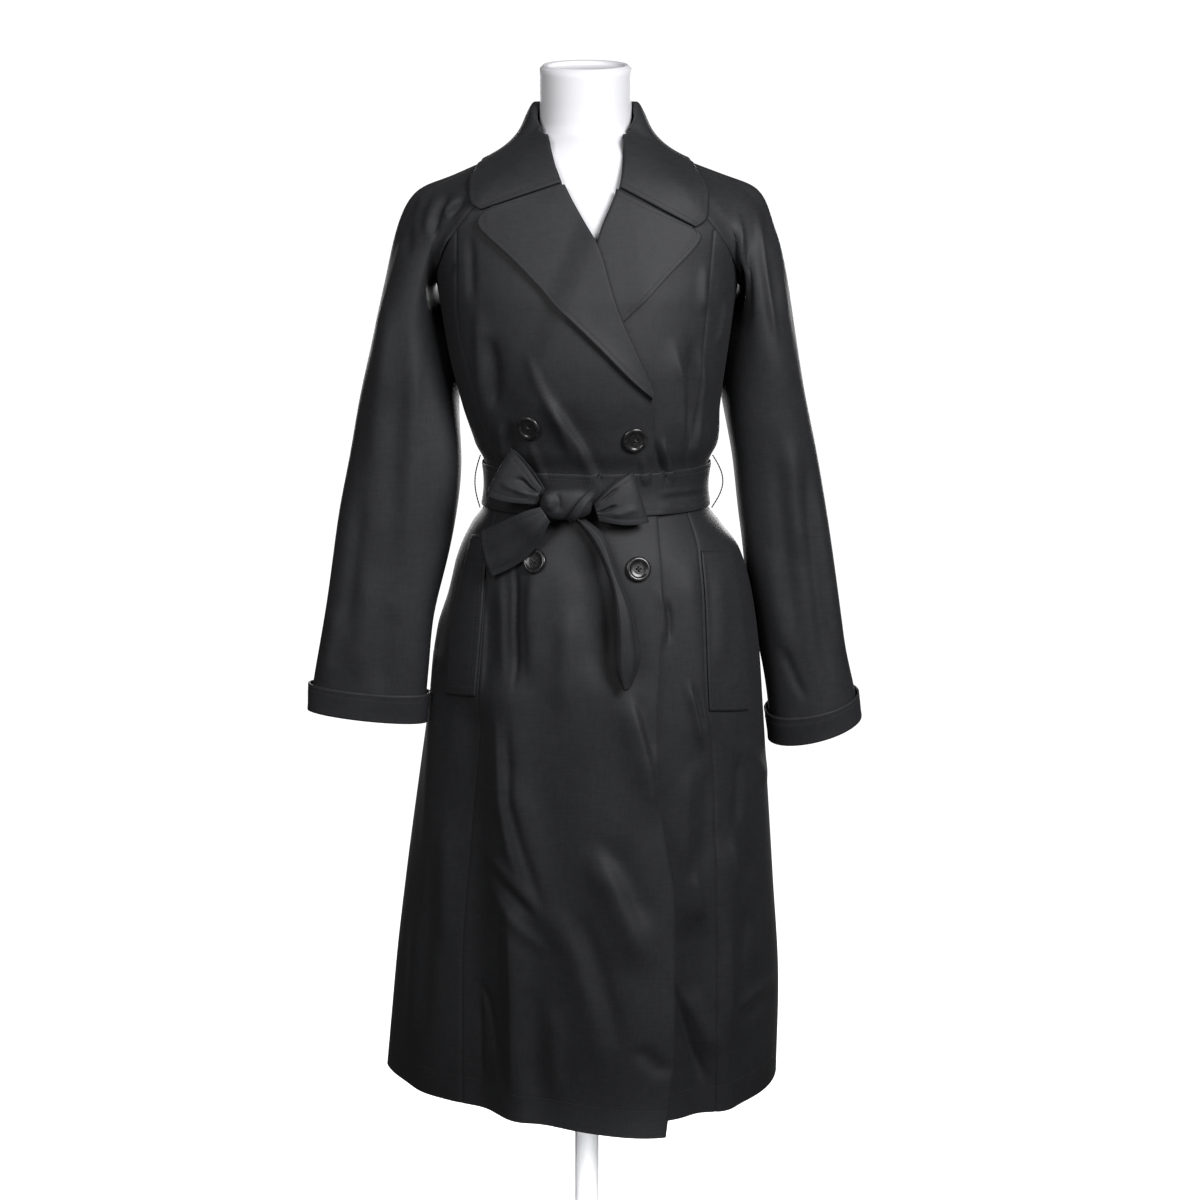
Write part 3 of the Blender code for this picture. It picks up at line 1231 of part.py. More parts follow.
def make_stand(form, surface):
    """The pole under the form and its round base."""
    r, t = BASE_RADIUS, BASE_THICKNESS
    base = ((0.0, 0.0), (r - 0.003, 0.0), (r, 0.003), (r, t - 0.004), (r - 0.004, t), (0.0, t))
    turned_solid("form_base", base, BASE_SEGMENTS, surface)
    low, high = t + REST_GAP, min(v.co.z for v in form.data.vertices) - REST_GAP
    pole = ((0.0, low), (POLE_RADIUS, low), (POLE_RADIUS, high), (0.0, high))
    turned_solid("form_pole", pole, POLE_SEGMENTS, surface)


# ---------------------------------------------------------------- the whole coat
def main():
    for old in list(bpy.data.objects):
        bpy.data.objects.remove(old)
    cloth = material("black_satin_cloth", (0.012, 0.012, 0.014), 0.55)
    horn = material("black_button", (0.010, 0.010, 0.011), 0.15)
    foam = material("white_form", (0.80, 0.80, 0.82), 0.60)
    stand = material("white_stand", (0.78, 0.78, 0.80), 0.35)

    panels, covers = make_panels(cloth)
    right_sleeve, right_grid = make_sleeve(-1, RIGHT_SLEEVE, cloth)
    left_sleeve, left_grid = make_sleeve(1, LEFT_SLEEVE, cloth)
    sleeves = [right_sleeve, left_sleeve]
    covers += [closed_strip(right_grid)[:, ::-1], closed_strip(left_grid)]
    make_lapel("right", RIGHT_LAPEL, True, cloth)
    make_lapel("left", LEFT_LAPEL, False, cloth)
    make_collar(covers, cloth)
    make_welt("right", RIGHT_WELT, [panels["side_front_right"], panels["front_right"]], cloth)
    make_welt("left", LEFT_WELT, [panels["side_front_left"], panels["front_left"]], cloth)
    for name, place in BUTTON_PLACES.items():
        make_button(name, place, panels["front_right"], horn)
    band = make_belt_band(cloth)
    knot = make_knot(band, cloth)
    make_bow("right", RIGHT_BOW, knot, (1.0, 0.0, 0.0), cloth)
    make_bow("left", LEFT_BOW, knot, (-1.0, 0.0, 0.0), cloth)
    make_tail("right", RIGHT_TAIL, knot, (1.0, 0.0, 0.0), cloth)
    make_tail("left", LEFT_TAIL, knot, (0.0, 0.0, 1.0), cloth)
    make_thread_loop(-1, 0.006, [band, panels["side_front_right"], panels["back"]], cloth)
    make_thread_loop(1, 0.012, [band, panels["side_front_left"], panels["back"]], cloth)
    form = make_form(list(panels.values()) + sleeves, foam)
    make_stand(form, stand)


main()
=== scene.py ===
"""Looks of the trench coat on its dress form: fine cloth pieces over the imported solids.

Metres, +Z up.  The wearer faces -Y, so the wearer's right is -X.  The body surface, the sleeve
rings and the collar lines are worked out as in the part's own source, on finer grids, and the
smaller creases, stitching, buttons and cloth are added here.
"""
import functools
import json
import math

import bpy
import numpy as np
from mathutils import Euler, Matrix, Vector
from mathutils.bvhtree import BVHTree

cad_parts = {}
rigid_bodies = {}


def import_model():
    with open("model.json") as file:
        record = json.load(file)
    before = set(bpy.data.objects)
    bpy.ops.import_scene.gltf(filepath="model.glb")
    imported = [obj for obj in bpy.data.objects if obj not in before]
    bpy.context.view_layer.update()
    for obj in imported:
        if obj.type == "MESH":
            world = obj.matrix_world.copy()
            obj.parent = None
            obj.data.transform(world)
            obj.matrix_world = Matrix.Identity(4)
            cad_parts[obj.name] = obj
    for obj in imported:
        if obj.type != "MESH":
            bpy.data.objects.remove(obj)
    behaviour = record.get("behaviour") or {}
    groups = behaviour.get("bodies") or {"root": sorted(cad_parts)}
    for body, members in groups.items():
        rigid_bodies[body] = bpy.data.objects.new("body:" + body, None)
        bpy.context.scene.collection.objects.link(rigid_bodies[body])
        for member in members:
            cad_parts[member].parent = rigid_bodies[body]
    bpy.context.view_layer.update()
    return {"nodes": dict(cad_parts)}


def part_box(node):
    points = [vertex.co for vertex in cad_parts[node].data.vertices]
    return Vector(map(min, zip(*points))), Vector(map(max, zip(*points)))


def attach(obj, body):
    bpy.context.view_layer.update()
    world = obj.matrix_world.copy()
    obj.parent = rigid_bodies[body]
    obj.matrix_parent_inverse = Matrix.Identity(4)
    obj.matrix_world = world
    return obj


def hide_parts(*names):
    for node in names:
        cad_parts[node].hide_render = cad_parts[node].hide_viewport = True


for old in list(bpy.data.objects):
    bpy.data.objects.remove(old)
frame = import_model()

# ---------------------------------------------------------------- camera and light
PHOTO_SIZE = 1200
CAMERA_PLACE = (0.0157, -2.6, 1.38)
CAMERA_TILT = 79.2
CAMERA_LENS = 69.63
CAMERA_SENSOR = 36.0
# How many pixels to each side a crease's pixel may lie off the cloth.
PIXEL_SEARCH = 30
FLOOR_RADIUS = 6.0
FLOOR_RINGS = (0.02, 2.5, FLOOR_RADIUS)
FLOOR_POINTS = 97
FLOOR_CURVE = 1.6
FLOOR_WALL_TOP_Z = 9.0
WHITE = (1.0, 1.0, 1.0, 1.0)
WORLD_STRENGTH = 0.07
LIGHTS = (
    # name, place, aim, size, power, spread in degrees
    ("key", (1.20, -1.75, 2.20), (0.15, 0.0, 1.25), 1.2, 14.4, 78.0),
    ("fill", (-1.25, -2.05, 2.20), (-0.10, 0.0, 1.28), 1.3, 5.5, 78.0),
    ("back_left", (0.85, 2.60, 1.15), (0.0, 0.0, 0.95), 1.1, 8.0, 70.0),
    ("back_right", (-0.85, 2.60, 1.15), (0.0, 0.0, 0.95), 1.1, 6.0, 70.0),
    ("low", (0.20, -1.60, 0.22), (0.0, 0.0, 0.08), 0.2, 0.5, 16.0),
)

# ---------------------------------------------------------------- driving dimensions
HEM_Z = 0.300
ARMPIT_Z = 1.235
PANEL_TIP_Z = 1.305
NECK_Z = 1.405
BREAK_Z = 1.127
BELT_BOTTOM_Z = 0.996
BELT_TOP_Z = 1.045

WALL = 0.0015
DOUBLE_WALL = 0.0022
REST_GAP = 0.0003
LAYER_GAP = 0.0014
BELT_GAP = 0.0012

OVERLAP_GAP = 0.0019
OVERLAP_LIFT = WALL + OVERLAP_GAP
LAPEL_LIFT = WALL + DOUBLE_WALL + 2 * LAYER_GAP
OVERLAP_EASE = 0.035
LAPEL_LIFT_RUN = 0.04
NECK_LIFT_RUN = 0.06

BUTTON_RADIUS = 0.0138
BUTTON_THICKNESS = 0.0042
CUFF_HEIGHT = 0.031
CUFF_STAND_OFF = 0.0006
# Height above the sleeve's end, and how far the cuff flares out there.
CUFF_RINGS = ((-0.0015, 0.0), (0.006, 0.0003), (0.018, 0.0012), (CUFF_HEIGHT, 0.0022))
THREAD_RADIUS = 0.0009
THREAD_REACH = 0.006
THREAD_BEATS = 18
THREAD_BEAT = 0.18
# How far each thread carrier bulges out at the middle.
RIGHT_THREAD_BULGE = 0.006
LEFT_THREAD_BULGE = 0.012
THREAD_CORE_SHARE = 0.8

POLE_RADIUS = 0.014
POLE_END_SHARE = 0.5
POLE_END_STEP = 0.001
POLE_START_STEP = 0.01
BASE_ROUNDINGS = (0.003, 0.004)
BASE_RADIUS = 0.160
BASE_MIDDLE_RADIUS = 0.02
BASE_INNER_RADIUS = 0.05
BASE_THICKNESS = 0.012
FORM_NECK_RADIUS = 0.0503
FORM_NECK_TOP_Z = 1.4758
FORM_NECK_TILT = 0.15

# Heights at which the raglan seam is set out above the armpit.
YOKE_ROWS = (1.258, 1.282, 1.305, 1.330, 1.352, 1.371, 1.388, 1.405)

# The least share of a front's width that counts as its lap, above the break.
LEAST_LAP_SHARE = 0.45
PANEL_TIP_ANGLE = 0.012

# ---------------------------------------------------------------- sections of the body
SECTION_NAMES = ("centre_x", "half_width", "centre_y", "front", "back", "full_right", "full_left")
BODY_SECTIONS = (
    # height, centre_x, half_width, centre_y, front, back, full_right, full_left
    (0.300, -0.0070, 0.2360, 0.065, 0.190, 0.150, 1.50, 2.15),
    (0.420, -0.0005, 0.2300, 0.058, 0.185, 0.147, 1.58, 2.10),
    (0.545, 0.0030, 0.2176, 0.048, 0.178, 0.145, 1.70, 2.05),
    (0.670, 0.0075, 0.2037, 0.036, 0.168, 0.140, 1.85, 2.05),
    (0.757, 0.0110, 0.1936, 0.026, 0.160, 0.137, 1.95, 2.05),
    (0.845, 0.0148, 0.1820, 0.016, 0.150, 0.134, 2.00, 2.05),
    (0.902, 0.0158, 0.1716, 0.010, 0.141, 0.127, 2.00, 2.05),
    (0.944, 0.0150, 0.1590, 0.005, 0.131, 0.116, 2.05, 2.05),
    (0.975, 0.0112, 0.1400, 0.002, 0.119, 0.102, 2.10, 2.10),
    (0.995, 0.0110, 0.1265, 0.000, 0.109, 0.090, 2.15, 2.15),
    (1.020, 0.0112, 0.1235, 0.000, 0.106, 0.088, 2.15, 2.15),
    (1.045, 0.0118, 0.1262, 0.000, 0.109, 0.091, 2.15, 2.15),
    (1.067, 0.0115, 0.1365, 0.000, 0.118, 0.099, 2.15, 2.15),
    (1.108, 0.0060, 0.1442, -0.002, 0.125, 0.107, 2.15, 2.15),
    (1.168, 0.0025, 0.1553, -0.004, 0.130, 0.113, 2.15, 2.15),
    (1.225, 0.0018, 0.1640, -0.004, 0.127, 0.115, 2.15, 2.15),
    (1.260, 0.0015, 0.1700, -0.003, 0.120, 0.116, 2.15, 2.15),
    (1.300, 0.0010, 0.1800, -0.002, 0.111, 0.114, 2.15, 2.15),
    (1.330, 0.0000, 0.1810, 0.000, 0.104, 0.109, 2.15, 2.15),
    (1.347, 0.0000, 0.1750, 0.002, 0.099, 0.105, 2.10, 2.10),
    (1.360, 0.0000, 0.1530, 0.003, 0.094, 0.099, 2.05, 2.05),
    (1.373, 0.0000, 0.1260, 0.004, 0.088, 0.092, 2.00, 2.00),
    (1.386, 0.0000, 0.0990, 0.004, 0.080, 0.083, 2.00, 2.00),
    (1.399, 0.0000, 0.0740, 0.003, 0.069, 0.071, 2.00, 2.00),
    (1.410, 0.0000, 0.0600, 0.002, 0.059, 0.062, 2.00, 2.00),
)
BACK_FULLNESS = 2.1

# Largest folds.  Positions are along x at the top and at the bottom of each fold; height is
# positive for a ridge and negative for a trough.
FOLDS = (
    # face, top_x, top_z, bottom_x, bottom_z, half_width, height
    ("front", -0.050, 1.145, 0.010, 1.050, 0.014, 0.0045),
    ("front", -0.027, 1.128, 0.022, 1.050, 0.013, -0.0035),
    ("front", -0.101, 1.200, -0.094, 1.090, 0.016, -0.0040),
    ("front", 0.094, 1.195, 0.100, 1.060, 0.015, 0.0045),
    ("front", 0.114, 1.200, 0.116, 1.060, 0.014, -0.0035),
    ("front", -0.010, 0.985, 0.026, 0.800, 0.020, -0.0080),
    ("front", 0.044, 0.830, 0.071, 0.680, 0.016, 0.0060),
    ("front", -0.086, 0.840, -0.083, 0.300, 0.026, 0.0085),
    ("front", -0.128, 0.800, -0.122, 0.300, 0.026, -0.0080),
    ("front", -0.080, 0.720, -0.030, 0.500, 0.018, 0.0050),
    ("front", -0.030, 0.980, -0.078, 0.840, 0.018, 0.0040),
    ("front", 0.012, 0.640, 0.058, 0.480, 0.020, 0.0050),
    ("front", 0.112, 0.960, 0.128, 0.720, 0.018, 0.0050),
    ("front", 0.160, 0.640, 0.158, 0.300, 0.022, 0.0060),
    ("front", 0.118, 0.560, 0.132, 0.300, 0.022, -0.0070),
    ("front", -0.168, 0.900, -0.190, 0.300, 0.026, 0.0050),
    ("back", -0.150, 0.930, -0.190, 0.300, 0.028, -0.0070),
    ("back", -0.090, 0.975, -0.125, 0.300, 0.030, 0.0080),
    ("back", -0.040, 0.960, -0.050, 0.300, 0.028, -0.0070),
    ("back", 0.010, 0.970, 0.016, 0.300, 0.030, 0.0070),
    ("back", 0.062, 0.975, 0.084, 0.300, 0.028, -0.0080),
    ("back", 0.108, 0.960, 0.146, 0.300, 0.030, 0.0080),
    ("back", 0.150, 0.920, 0.190, 0.300, 0.026, -0.0060),
    ("back", -0.098, 1.180, -0.078, 1.060, 0.018, 0.0040),
    ("back", -0.058, 1.160, -0.044, 1.060, 0.018, -0.0035),
    ("back", -0.006, 1.190, -0.006, 1.060, 0.020, 0.0040),
    ("back", 0.044, 1.165, 0.036, 1.060, 0.018, -0.0035),
    ("back", 0.090, 1.185, 0.074, 1.060, 0.018, 0.0040),
)
FOLD_FADE = 0.05

# ---------------------------------------------------------------- seams and edges, as x at each height
RIGHT_PANEL_SEAM = ((0.300, -0.147), (0.470, -0.145), (0.620, -0.135), (0.790, -0.120),
                    (0.950, -0.108), (1.020, -0.096), (1.120, -0.120), (1.222, -0.140),
                    (1.305, -0.1385))
LEFT_PANEL_SEAM = ((0.300, 0.148), (0.660, 0.145), (0.740, 0.140), (0.790, 0.131),
                   (0.955, 0.124), (1.020, 0.108), (1.100, 0.120), (1.200, 0.130),
                   (1.305, 0.1385))
FRONT_RAGLAN = ((1.235, 0.1900), (1.258, 0.1650), (1.282, 0.1540), (1.305, 0.1395),
                (1.330, 0.1180), (1.355, 0.0960), (1.380, 0.0770), (1.405, 0.0560))
BACK_RAGLAN = ((1.235, 0.1900), (1.258, 0.1660), (1.282, 0.1580), (1.305, 0.1490),
               (1.330, 0.1320), (1.355, 0.1080), (1.380, 0.0850), (1.405, 0.0520))
RIGHT_ROLL = ((1.127, 0.0710), (1.169, 0.0540), (1.211, 0.0350), (1.250, 0.0230),
              (1.290, 0.0110), (1.323, -0.0100), (1.351, -0.0240), (1.372, -0.0320),
              (1.405, -0.0410))
LEFT_ROLL = ((1.127, -0.0520), (1.169, -0.0360), (1.211, -0.0180), (1.250, -0.0030),
             (1.290, 0.0130), (1.310, 0.0220), (1.340, 0.0340), (1.373, 0.0400),
             (1.405, 0.0410))
RIGHT_EDGE = ((0.300, 0.078), (0.392, 0.088), (0.566, 0.091), (0.628, 0.084), (0.690, 0.077),
              (0.756, 0.076), (0.844, 0.080), (0.914, 0.083), (0.990, 0.078), (1.038, 0.076),
              (1.127, 0.071))
LEFT_EDGE = ((0.300, -0.066), (0.700, -0.064), (1.000, -0.060), (1.127, -0.052))
# How far the lapped edge stands proud of the front beneath it, at each height.
EDGE_FLARE = ((0.300, 0.040), (0.450, 0.030), (0.600, 0.018), (0.750, 0.007), (0.900, 0.002),
              (1.000, 0.000))
FLARE_START_X = -0.060

# ---------------------------------------------------------------- lapels: x and z of matching points
RIGHT_LAPEL = (
    # roll_x, roll_z, edge_x, edge_z
    (0.0705, 1.130, 0.0700, 1.1265),
    (0.0620, 1.150, 0.0480, 1.1470),
    (0.0500, 1.178, 0.0200, 1.1760),
    (0.0360, 1.210, -0.0120, 1.2080),
    (0.0240, 1.246, -0.0440, 1.2400),
    (0.0120, 1.286, -0.0760, 1.2730),
    (-0.0060, 1.317, -0.1040, 1.2980),
    (-0.0180, 1.338, -0.1125, 1.3110),
    (-0.0225, 1.347, -0.1085, 1.3185),
    (-0.0240, 1.350, -0.0980, 1.3262),
)
LEFT_LAPEL = (
    # roll_x, roll_z, edge_x, edge_z
    (-0.0470, 1.141, -0.0460, 1.1380),
    (-0.0410, 1.155, -0.0250, 1.1520),
    (-0.0320, 1.178, 0.0030, 1.1740),
    (-0.0180, 1.210, 0.0370, 1.2050),
    (-0.0040, 1.246, 0.0680, 1.2350),
    (0.0130, 1.286, 0.0960, 1.2650),
    (0.0240, 1.317, 0.1160, 1.2860),
    (0.0320, 1.335, 0.1210, 1.2960),
    (0.0350, 1.345, 0.1130, 1.3045),
)
LAPEL_EDGE_RISE = 0.0045
# How far clear of the right front's roll line the left lapel begins to lift.
COVER_MARGIN = 0.007
COVER_EASE = 0.035

# ---------------------------------------------------------------- collar
# The part with a stand, from the centre back forwards.  Angles are degrees from the centre back.
STAND_NAMES = ("angle", "stand", "lean", "edge_x", "edge_y", "edge_z", "sag")
COLLAR_STAND = (
    # angle, stand, lean, edge_x, edge_y, edge_z, sag
    (0.0, 0.0370, 0.0050, 0.0000, 0.1030, 1.3600, 0.004),
    (22.0, 0.0368, 0.0058, 0.0410, 0.0990, 1.3600, 0.005),
    (42.0, 0.0362, 0.0075, 0.0770, 0.0850, 1.3620, 0.006),
    (60.0, 0.0358, 0.0095, 0.0990, 0.0620, 1.3670, 0.009),
    (76.0, 0.0352, 0.0115, 0.1090, 0.0350, 1.3730, 0.012),
    (91.0, 0.0335, 0.0125, 0.1125, 0.0090, 1.3760, 0.013),
    (106.0, 0.0275, 0.0100, 0.1150, -0.0130, 1.3750, 0.011),
    (120.0, 0.0160, 0.0060, 0.1180, -0.0310, 1.3710, 0.005),
    (132.0, 0.0065, 0.0030, 0.1210, -0.0460, 1.3655, 0.001),
)
# The part in front of it: height on the roll line, and the matching point of the outer edge.
COLLAR_FRONT_NAMES = ("roll_z", "edge_x", "edge_z")
RIGHT_COLLAR_FRONT = (
    # roll_z, edge_x, edge_z
    (1.4000, -0.1235, 1.3560),
    (1.3860, -0.1240, 1.3440),
    (1.3700, -0.1215, 1.3310),
    (1.3530, -0.1110, 1.3245),
)
LEFT_COLLAR_FRONT = (
    # roll_z, edge_x, edge_z
    (1.4000, 0.1290, 1.3500),
    (1.3860, 0.1310, 1.3310),
    (1.3680, 0.1280, 1.3130),
    (1.3480, 0.1170, 1.3060),
)
COLLAR_FALL_ROWS = 4
SAG_SKEW = 0.7
COLLAR_CLEARANCE = 0.0018
COLLAR_ROLL_RADIUS = 0.0046
COLLAR_ROLL_SHARE = 0.45
STAND_ROWS = 4
# Spacing of the stand's rows in front of the stand, where their cells are left out, as a share
# of the fall's first step.
SPARE_ROW_SHARE = 0.05
PUSH_REACH = 0.012
# Where the rays start that find the front under the collar.
RAY_START_Y = -0.4

# ---------------------------------------------------------------- sleeves
SLEEVE_NAMES = ("outer", "inner", "centre_y", "half_depth", "crease", "tilt", "lean")
RIGHT_SLEEVE = (
    # height, outer, inner, centre_y, half_depth, crease, tilt, lean
    (0.7565, 0.3150, 0.1835, -0.024, 0.0240, 0.000, 0.11, 0.05),
    (0.786, 0.3110, 0.1820, -0.022, 0.0260, 0.002, 0.09, 0.04),
    (0.820, 0.3050, 0.1790, -0.019, 0.0300, 0.004, 0.08, 0.03),
    (0.870, 0.2960, 0.1740, -0.015, 0.0350, 0.006, 0.07, 0.02),
    (0.930, 0.2870, 0.1605, -0.009, 0.0400, 0.010, 0.06, 0.02),
    (0.990, 0.2780, 0.1480, -0.003, 0.0450, 0.011, 0.05, 0.01),
    (1.050, 0.2660, 0.1420, 0.002, 0.0500, 0.010, 0.04, 0.00),
    (1.110, 0.2550, 0.1480, 0.005, 0.0560, 0.006, 0.02, 0.00),
    (1.170, 0.2410, 0.1585, 0.006, 0.0640, 0.000, 0.00, 0.00),
)
LEFT_SLEEVE = (
    # height, outer, inner, centre_y, half_depth, crease, tilt, lean
    (0.730, 0.3175, 0.2140, 0.030, 0.0380, 0.000, 0.26, 0.24),
    (0.772, 0.3095, 0.2110, 0.029, 0.0390, 0.002, 0.20, 0.22),
    (0.820, 0.2990, 0.2045, 0.027, 0.0410, 0.004, 0.12, 0.15),
    (0.870, 0.2910, 0.1975, 0.024, 0.0430, 0.006, 0.10, 0.10),
    (0.930, 0.2820, 0.1860, 0.020, 0.0450, 0.006, 0.08, 0.06),
    (0.990, 0.2720, 0.1740, 0.016, 0.0480, 0.005, 0.06, 0.03),
    (1.050, 0.2610, 0.1660, 0.012, 0.0510, 0.004, 0.04, 0.00),
    (1.110, 0.2480, 0.1590, 0.008, 0.0560, 0.002, 0.02, 0.00),
    (1.170, 0.2370, 0.1625, 0.006, 0.0640, 0.000, 0.00, 0.00),
)
# Points of the shoulder lines, from just outside the neck to the top of the arm.
SHOULDER_LINES = (
    # share, right_x, left_x, z
    (0.10, 0.0840, 0.0840, 1.3890),
    (0.22, 0.1210, 0.1240, 1.3720),
    (0.35, 0.1530, 0.1610, 1.3585),
    (0.48, 0.1840, 0.1895, 1.3455),
    (0.62, 0.2065, 0.2065, 1.3125),
    (0.80, 0.2215, 0.2220, 1.2555),
)
# How strongly the head keeps its first and last direction, under the arm and over the shoulder.
HEAD_START_PULL = (1.00, 1.60)
HEAD_END_PULL = (1.00, 2.30)
# From this share of the way down, the seam's wall turns to face the armpit.
UNDERARM_START = 0.55
SHOULDER_SPREAD = 1.5
SHOULDER_ROUNDNESS = 0.07
HEAD_SMOOTHINGS = 2
CREASE_ANGLE = 140.0
CREASE_SPREAD = 26.0

# ---------------------------------------------------------------- pocket welts: corners as x and z
RIGHT_WELT = (
    # seam_x, seam_z, free_x, free_z
    (-0.1060, 0.972, -0.1260, 0.966),
    (-0.1120, 0.910, -0.1400, 0.903),
    (-0.1170, 0.850, -0.1490, 0.843),
    (-0.1220, 0.792, -0.1560, 0.786),
)
LEFT_WELT = (
    # seam_x, seam_z, free_x, free_z
    (0.1260, 0.955, 0.1620, 0.948),
    (0.1290, 0.897, 0.1710, 0.889),
    (0.1310, 0.838, 0.1770, 0.829),
    (0.1340, 0.779, 0.1820, 0.768),
)
WELT_GAPE = 0.0022

# ---------------------------------------------------------------- buttons: x and z of the centres
BUTTON_PLACES = {"button_upper_right": (-0.059, 1.095), "button_upper_left": (0.052, 1.082),
                 "button_lower_right": (-0.053, 0.949), "button_lower_left": (0.056, 0.942)}

# ---------------------------------------------------------------- the belt and its bow
# How far past the lapped edge the belt needs to come down to the front beneath.
BELT_STEP_RUN = 0.03
KNOT_HALF_SIZE = (0.0285, 0.0130, 0.0175)
KNOT_FULLNESS = 0.72
KNOT_RIDGE = 0.06
KNOT_TWIST = 2.4
KNOT_BANDS = 3
BOW_PROFILE = (
    # along, out, half_width: the front layer, the turned end, then the back layer
    (0.000, 0.0050, 0.0095),
    (0.012, 0.0095, 0.0150),
    (0.027, 0.0110, 0.0215),
    (0.043, 0.0095, 0.0260),
    (0.054, 0.0060, 0.0282),
    (0.0585, 0.0005, 0.0288),
    (0.0545, -0.0048, 0.0282),
    (0.043, -0.0062, 0.0260),
    (0.027, -0.0058, 0.0210),
    (0.012, -0.0050, 0.0150),
    (0.001, -0.0040, 0.0095),
)
BOW_GATHER = 0.000495
BOW_GATHER_SHIFT = 0.4
BOW_GATHER_FADE = 2.5
BOW_STITCH_END = 0.85
BOW_TURN_DEPTH = 0.003
BOW_CROWN = 0.0020
RIGHT_BOW = {"root": (-0.0525, -0.1285, 1.0215), "tip": (-0.0985, -0.1100, 1.0465)}
LEFT_BOW = {"root": (0.0120, -0.1290, 1.0045), "tip": (0.0610, -0.1230, 1.0205)}

TAIL_SWELL = 0.001
RIGHT_TAIL = (
    # one edge, the ridge and the other edge, from the knot down
    ((-0.0500, -0.1330, 1.0110), (-0.0450, -0.1360, 1.0040), (-0.0400, -0.1350, 0.9950)),
    ((-0.0660, -0.1290, 1.0060), (-0.0560, -0.1370, 0.9920), (-0.0470, -0.1310, 0.9800)),
    ((-0.0850, -0.1180, 0.9960), (-0.0710, -0.1270, 0.9780), (-0.0580, -0.1230, 0.9620)),
    ((-0.1040, -0.1040, 0.9850), (-0.0900, -0.1150, 0.9640), (-0.0760, -0.1150, 0.9450)),
    ((-0.1170, -0.0930, 0.9780), (-0.1160, -0.0980, 0.9530), (-0.1060, -0.1030, 0.9290)),
)

# ---------------------------------------------------------------- dress form
FORM_CLEARANCE = ((0.720, 0.064), (0.780, 0.038), (0.840, 0.024), (0.900, 0.016), (0.950, 0.012),
                  (1.020, 0.0075), (1.100, 0.0080), (1.200, 0.0080), (1.282, 0.0080),
                  (1.305, 0.0080), (1.330, 0.0080), (1.355, 0.0055), (1.380, 0.0030))
FORM_HEIGHTS = (0.720, 0.745, 0.790, 0.840, 0.890, 0.930, 0.965, 0.996, 1.020, 1.045, 1.075, 1.110,
                1.150, 1.200, 1.250, 1.282, 1.305, 1.330, 1.355, 1.380)
FORM_NECK = ((1.392, 0.0640), (1.400, 0.0550), (1.410, 0.0515), (1.425, FORM_NECK_RADIUS),
             (1.450, FORM_NECK_RADIUS), (FORM_NECK_TOP_Z - 0.004, FORM_NECK_RADIUS),
             (FORM_NECK_TOP_Z, FORM_NECK_RADIUS - 0.004),
             (FORM_NECK_TOP_Z - 0.001, FORM_NECK_RADIUS - 0.008),
             (FORM_NECK_TOP_Z - 0.005, FORM_NECK_RADIUS - 0.010))
FORM_SLOPE_START_Z = 1.25
FORM_SLOPE_START_X = 0.040
FORM_SLOPE_LENGTH = 0.070
FORM_SHOULDER_DROP = 0.012
FORM_TILT_START_Z = 1.43
FORM_TILT_EASE = 0.04
FORM_SLOPE_EASE = 0.06


# ---------------------------------------------------------------- fine sizes, for looks only
# Extra rows or columns near an edge: distances from it, and shares of the first column's width.
EDGE_STEPS = (0.0007, 0.0016, 0.0032)
EDGE_SHARES = (0.18, 0.42, 0.72)
ROW_STEP = 0.0040
LEAST_ROW_SHARE = 0.4
# Cut edges meet with this much cloth past the seam line.
SEAM_TOUCH = 0.00005
NORMAL_STEP_Z = 0.004
COAT_NORMAL_STEP = 0.02
FORM_NORMAL_STEP = 0.03
CREASE_REACH = 3.0
CREASE_FADE_SHARE = 0.30
# A sheet's stated area lies between these shares of the rectangle round it.
LEAST_AREA_SHARE = 0.31
MOST_AREA_SHARE = 0.999
# Columns of points across each panel, from one edge or the lap's limit to the next.
RIGHT_FRONT_COLUMNS = (34, 46)
LEFT_FRONT_COLUMNS = (30, 36)
SIDE_FRONT_COLUMNS = (34,)
BACK_COLUMNS = (130,)
# Places of the columns across a piece, closer together at its cut edges.
LAPEL_SHARES = (*np.linspace(0.0, 0.94, 34), 0.955, 0.97, 0.982, 0.992, 1.0)
WELT_SHARES = (*np.linspace(0.0, 0.94, 20), 0.96, 0.98, 1.0)
BOW_SHARES = (-1.0, -0.985, *np.linspace(-0.95, 0.95, 39), 0.985, 1.0)
TAIL_SHARES = (0.0, 0.012, *np.linspace(0.04, 0.96, 37), 0.988, 1.0)
SLEEVE_PARTS = 6
SLEEVE_ROW_STEP = 0.0038
SLEEVE_SEAM_GAP = 0.0003
ARM_STEP = 0.02
FACING_SHARPNESS = 3
SEAM_MEND = 0.03
SEAM_DIP = 0.0009
SEAM_DIP_WIDTH = 0.0020
HEM_FOLD = 0.032
HEM_STITCH_DIP = 0.0004
STITCH_DIP = 0.00035
STITCH_DIP_WIDTH = 0.0012
# Depth and width of the turn-down at a cut edge.
CUT_EDGE = (0.0006, 0.0010)
BELT_CUT_EDGE = (0.0005, 0.0010)
EDGE_STITCH = 0.0062
CUFF_COLUMNS = 132
CUFF_ROWS = 12
CUFF_EDGE_ROW = 0.0012
CUFF_FIRST_ROW = 0.003
CUFF_STITCH = 0.025
CUFF_WAVE = 0.0008
CUFF_WAVES = 3
LAPEL_ROW_STEP = 0.0022
LAPEL_ROLL_COLUMNS = 7
LAPEL_ROLL_ANGLES = (-90.0, 72.0)
ROLL_INSIDE_GAP = 0.0004
ROLL_WALL = 0.0011
COLLAR_PARTS = 8
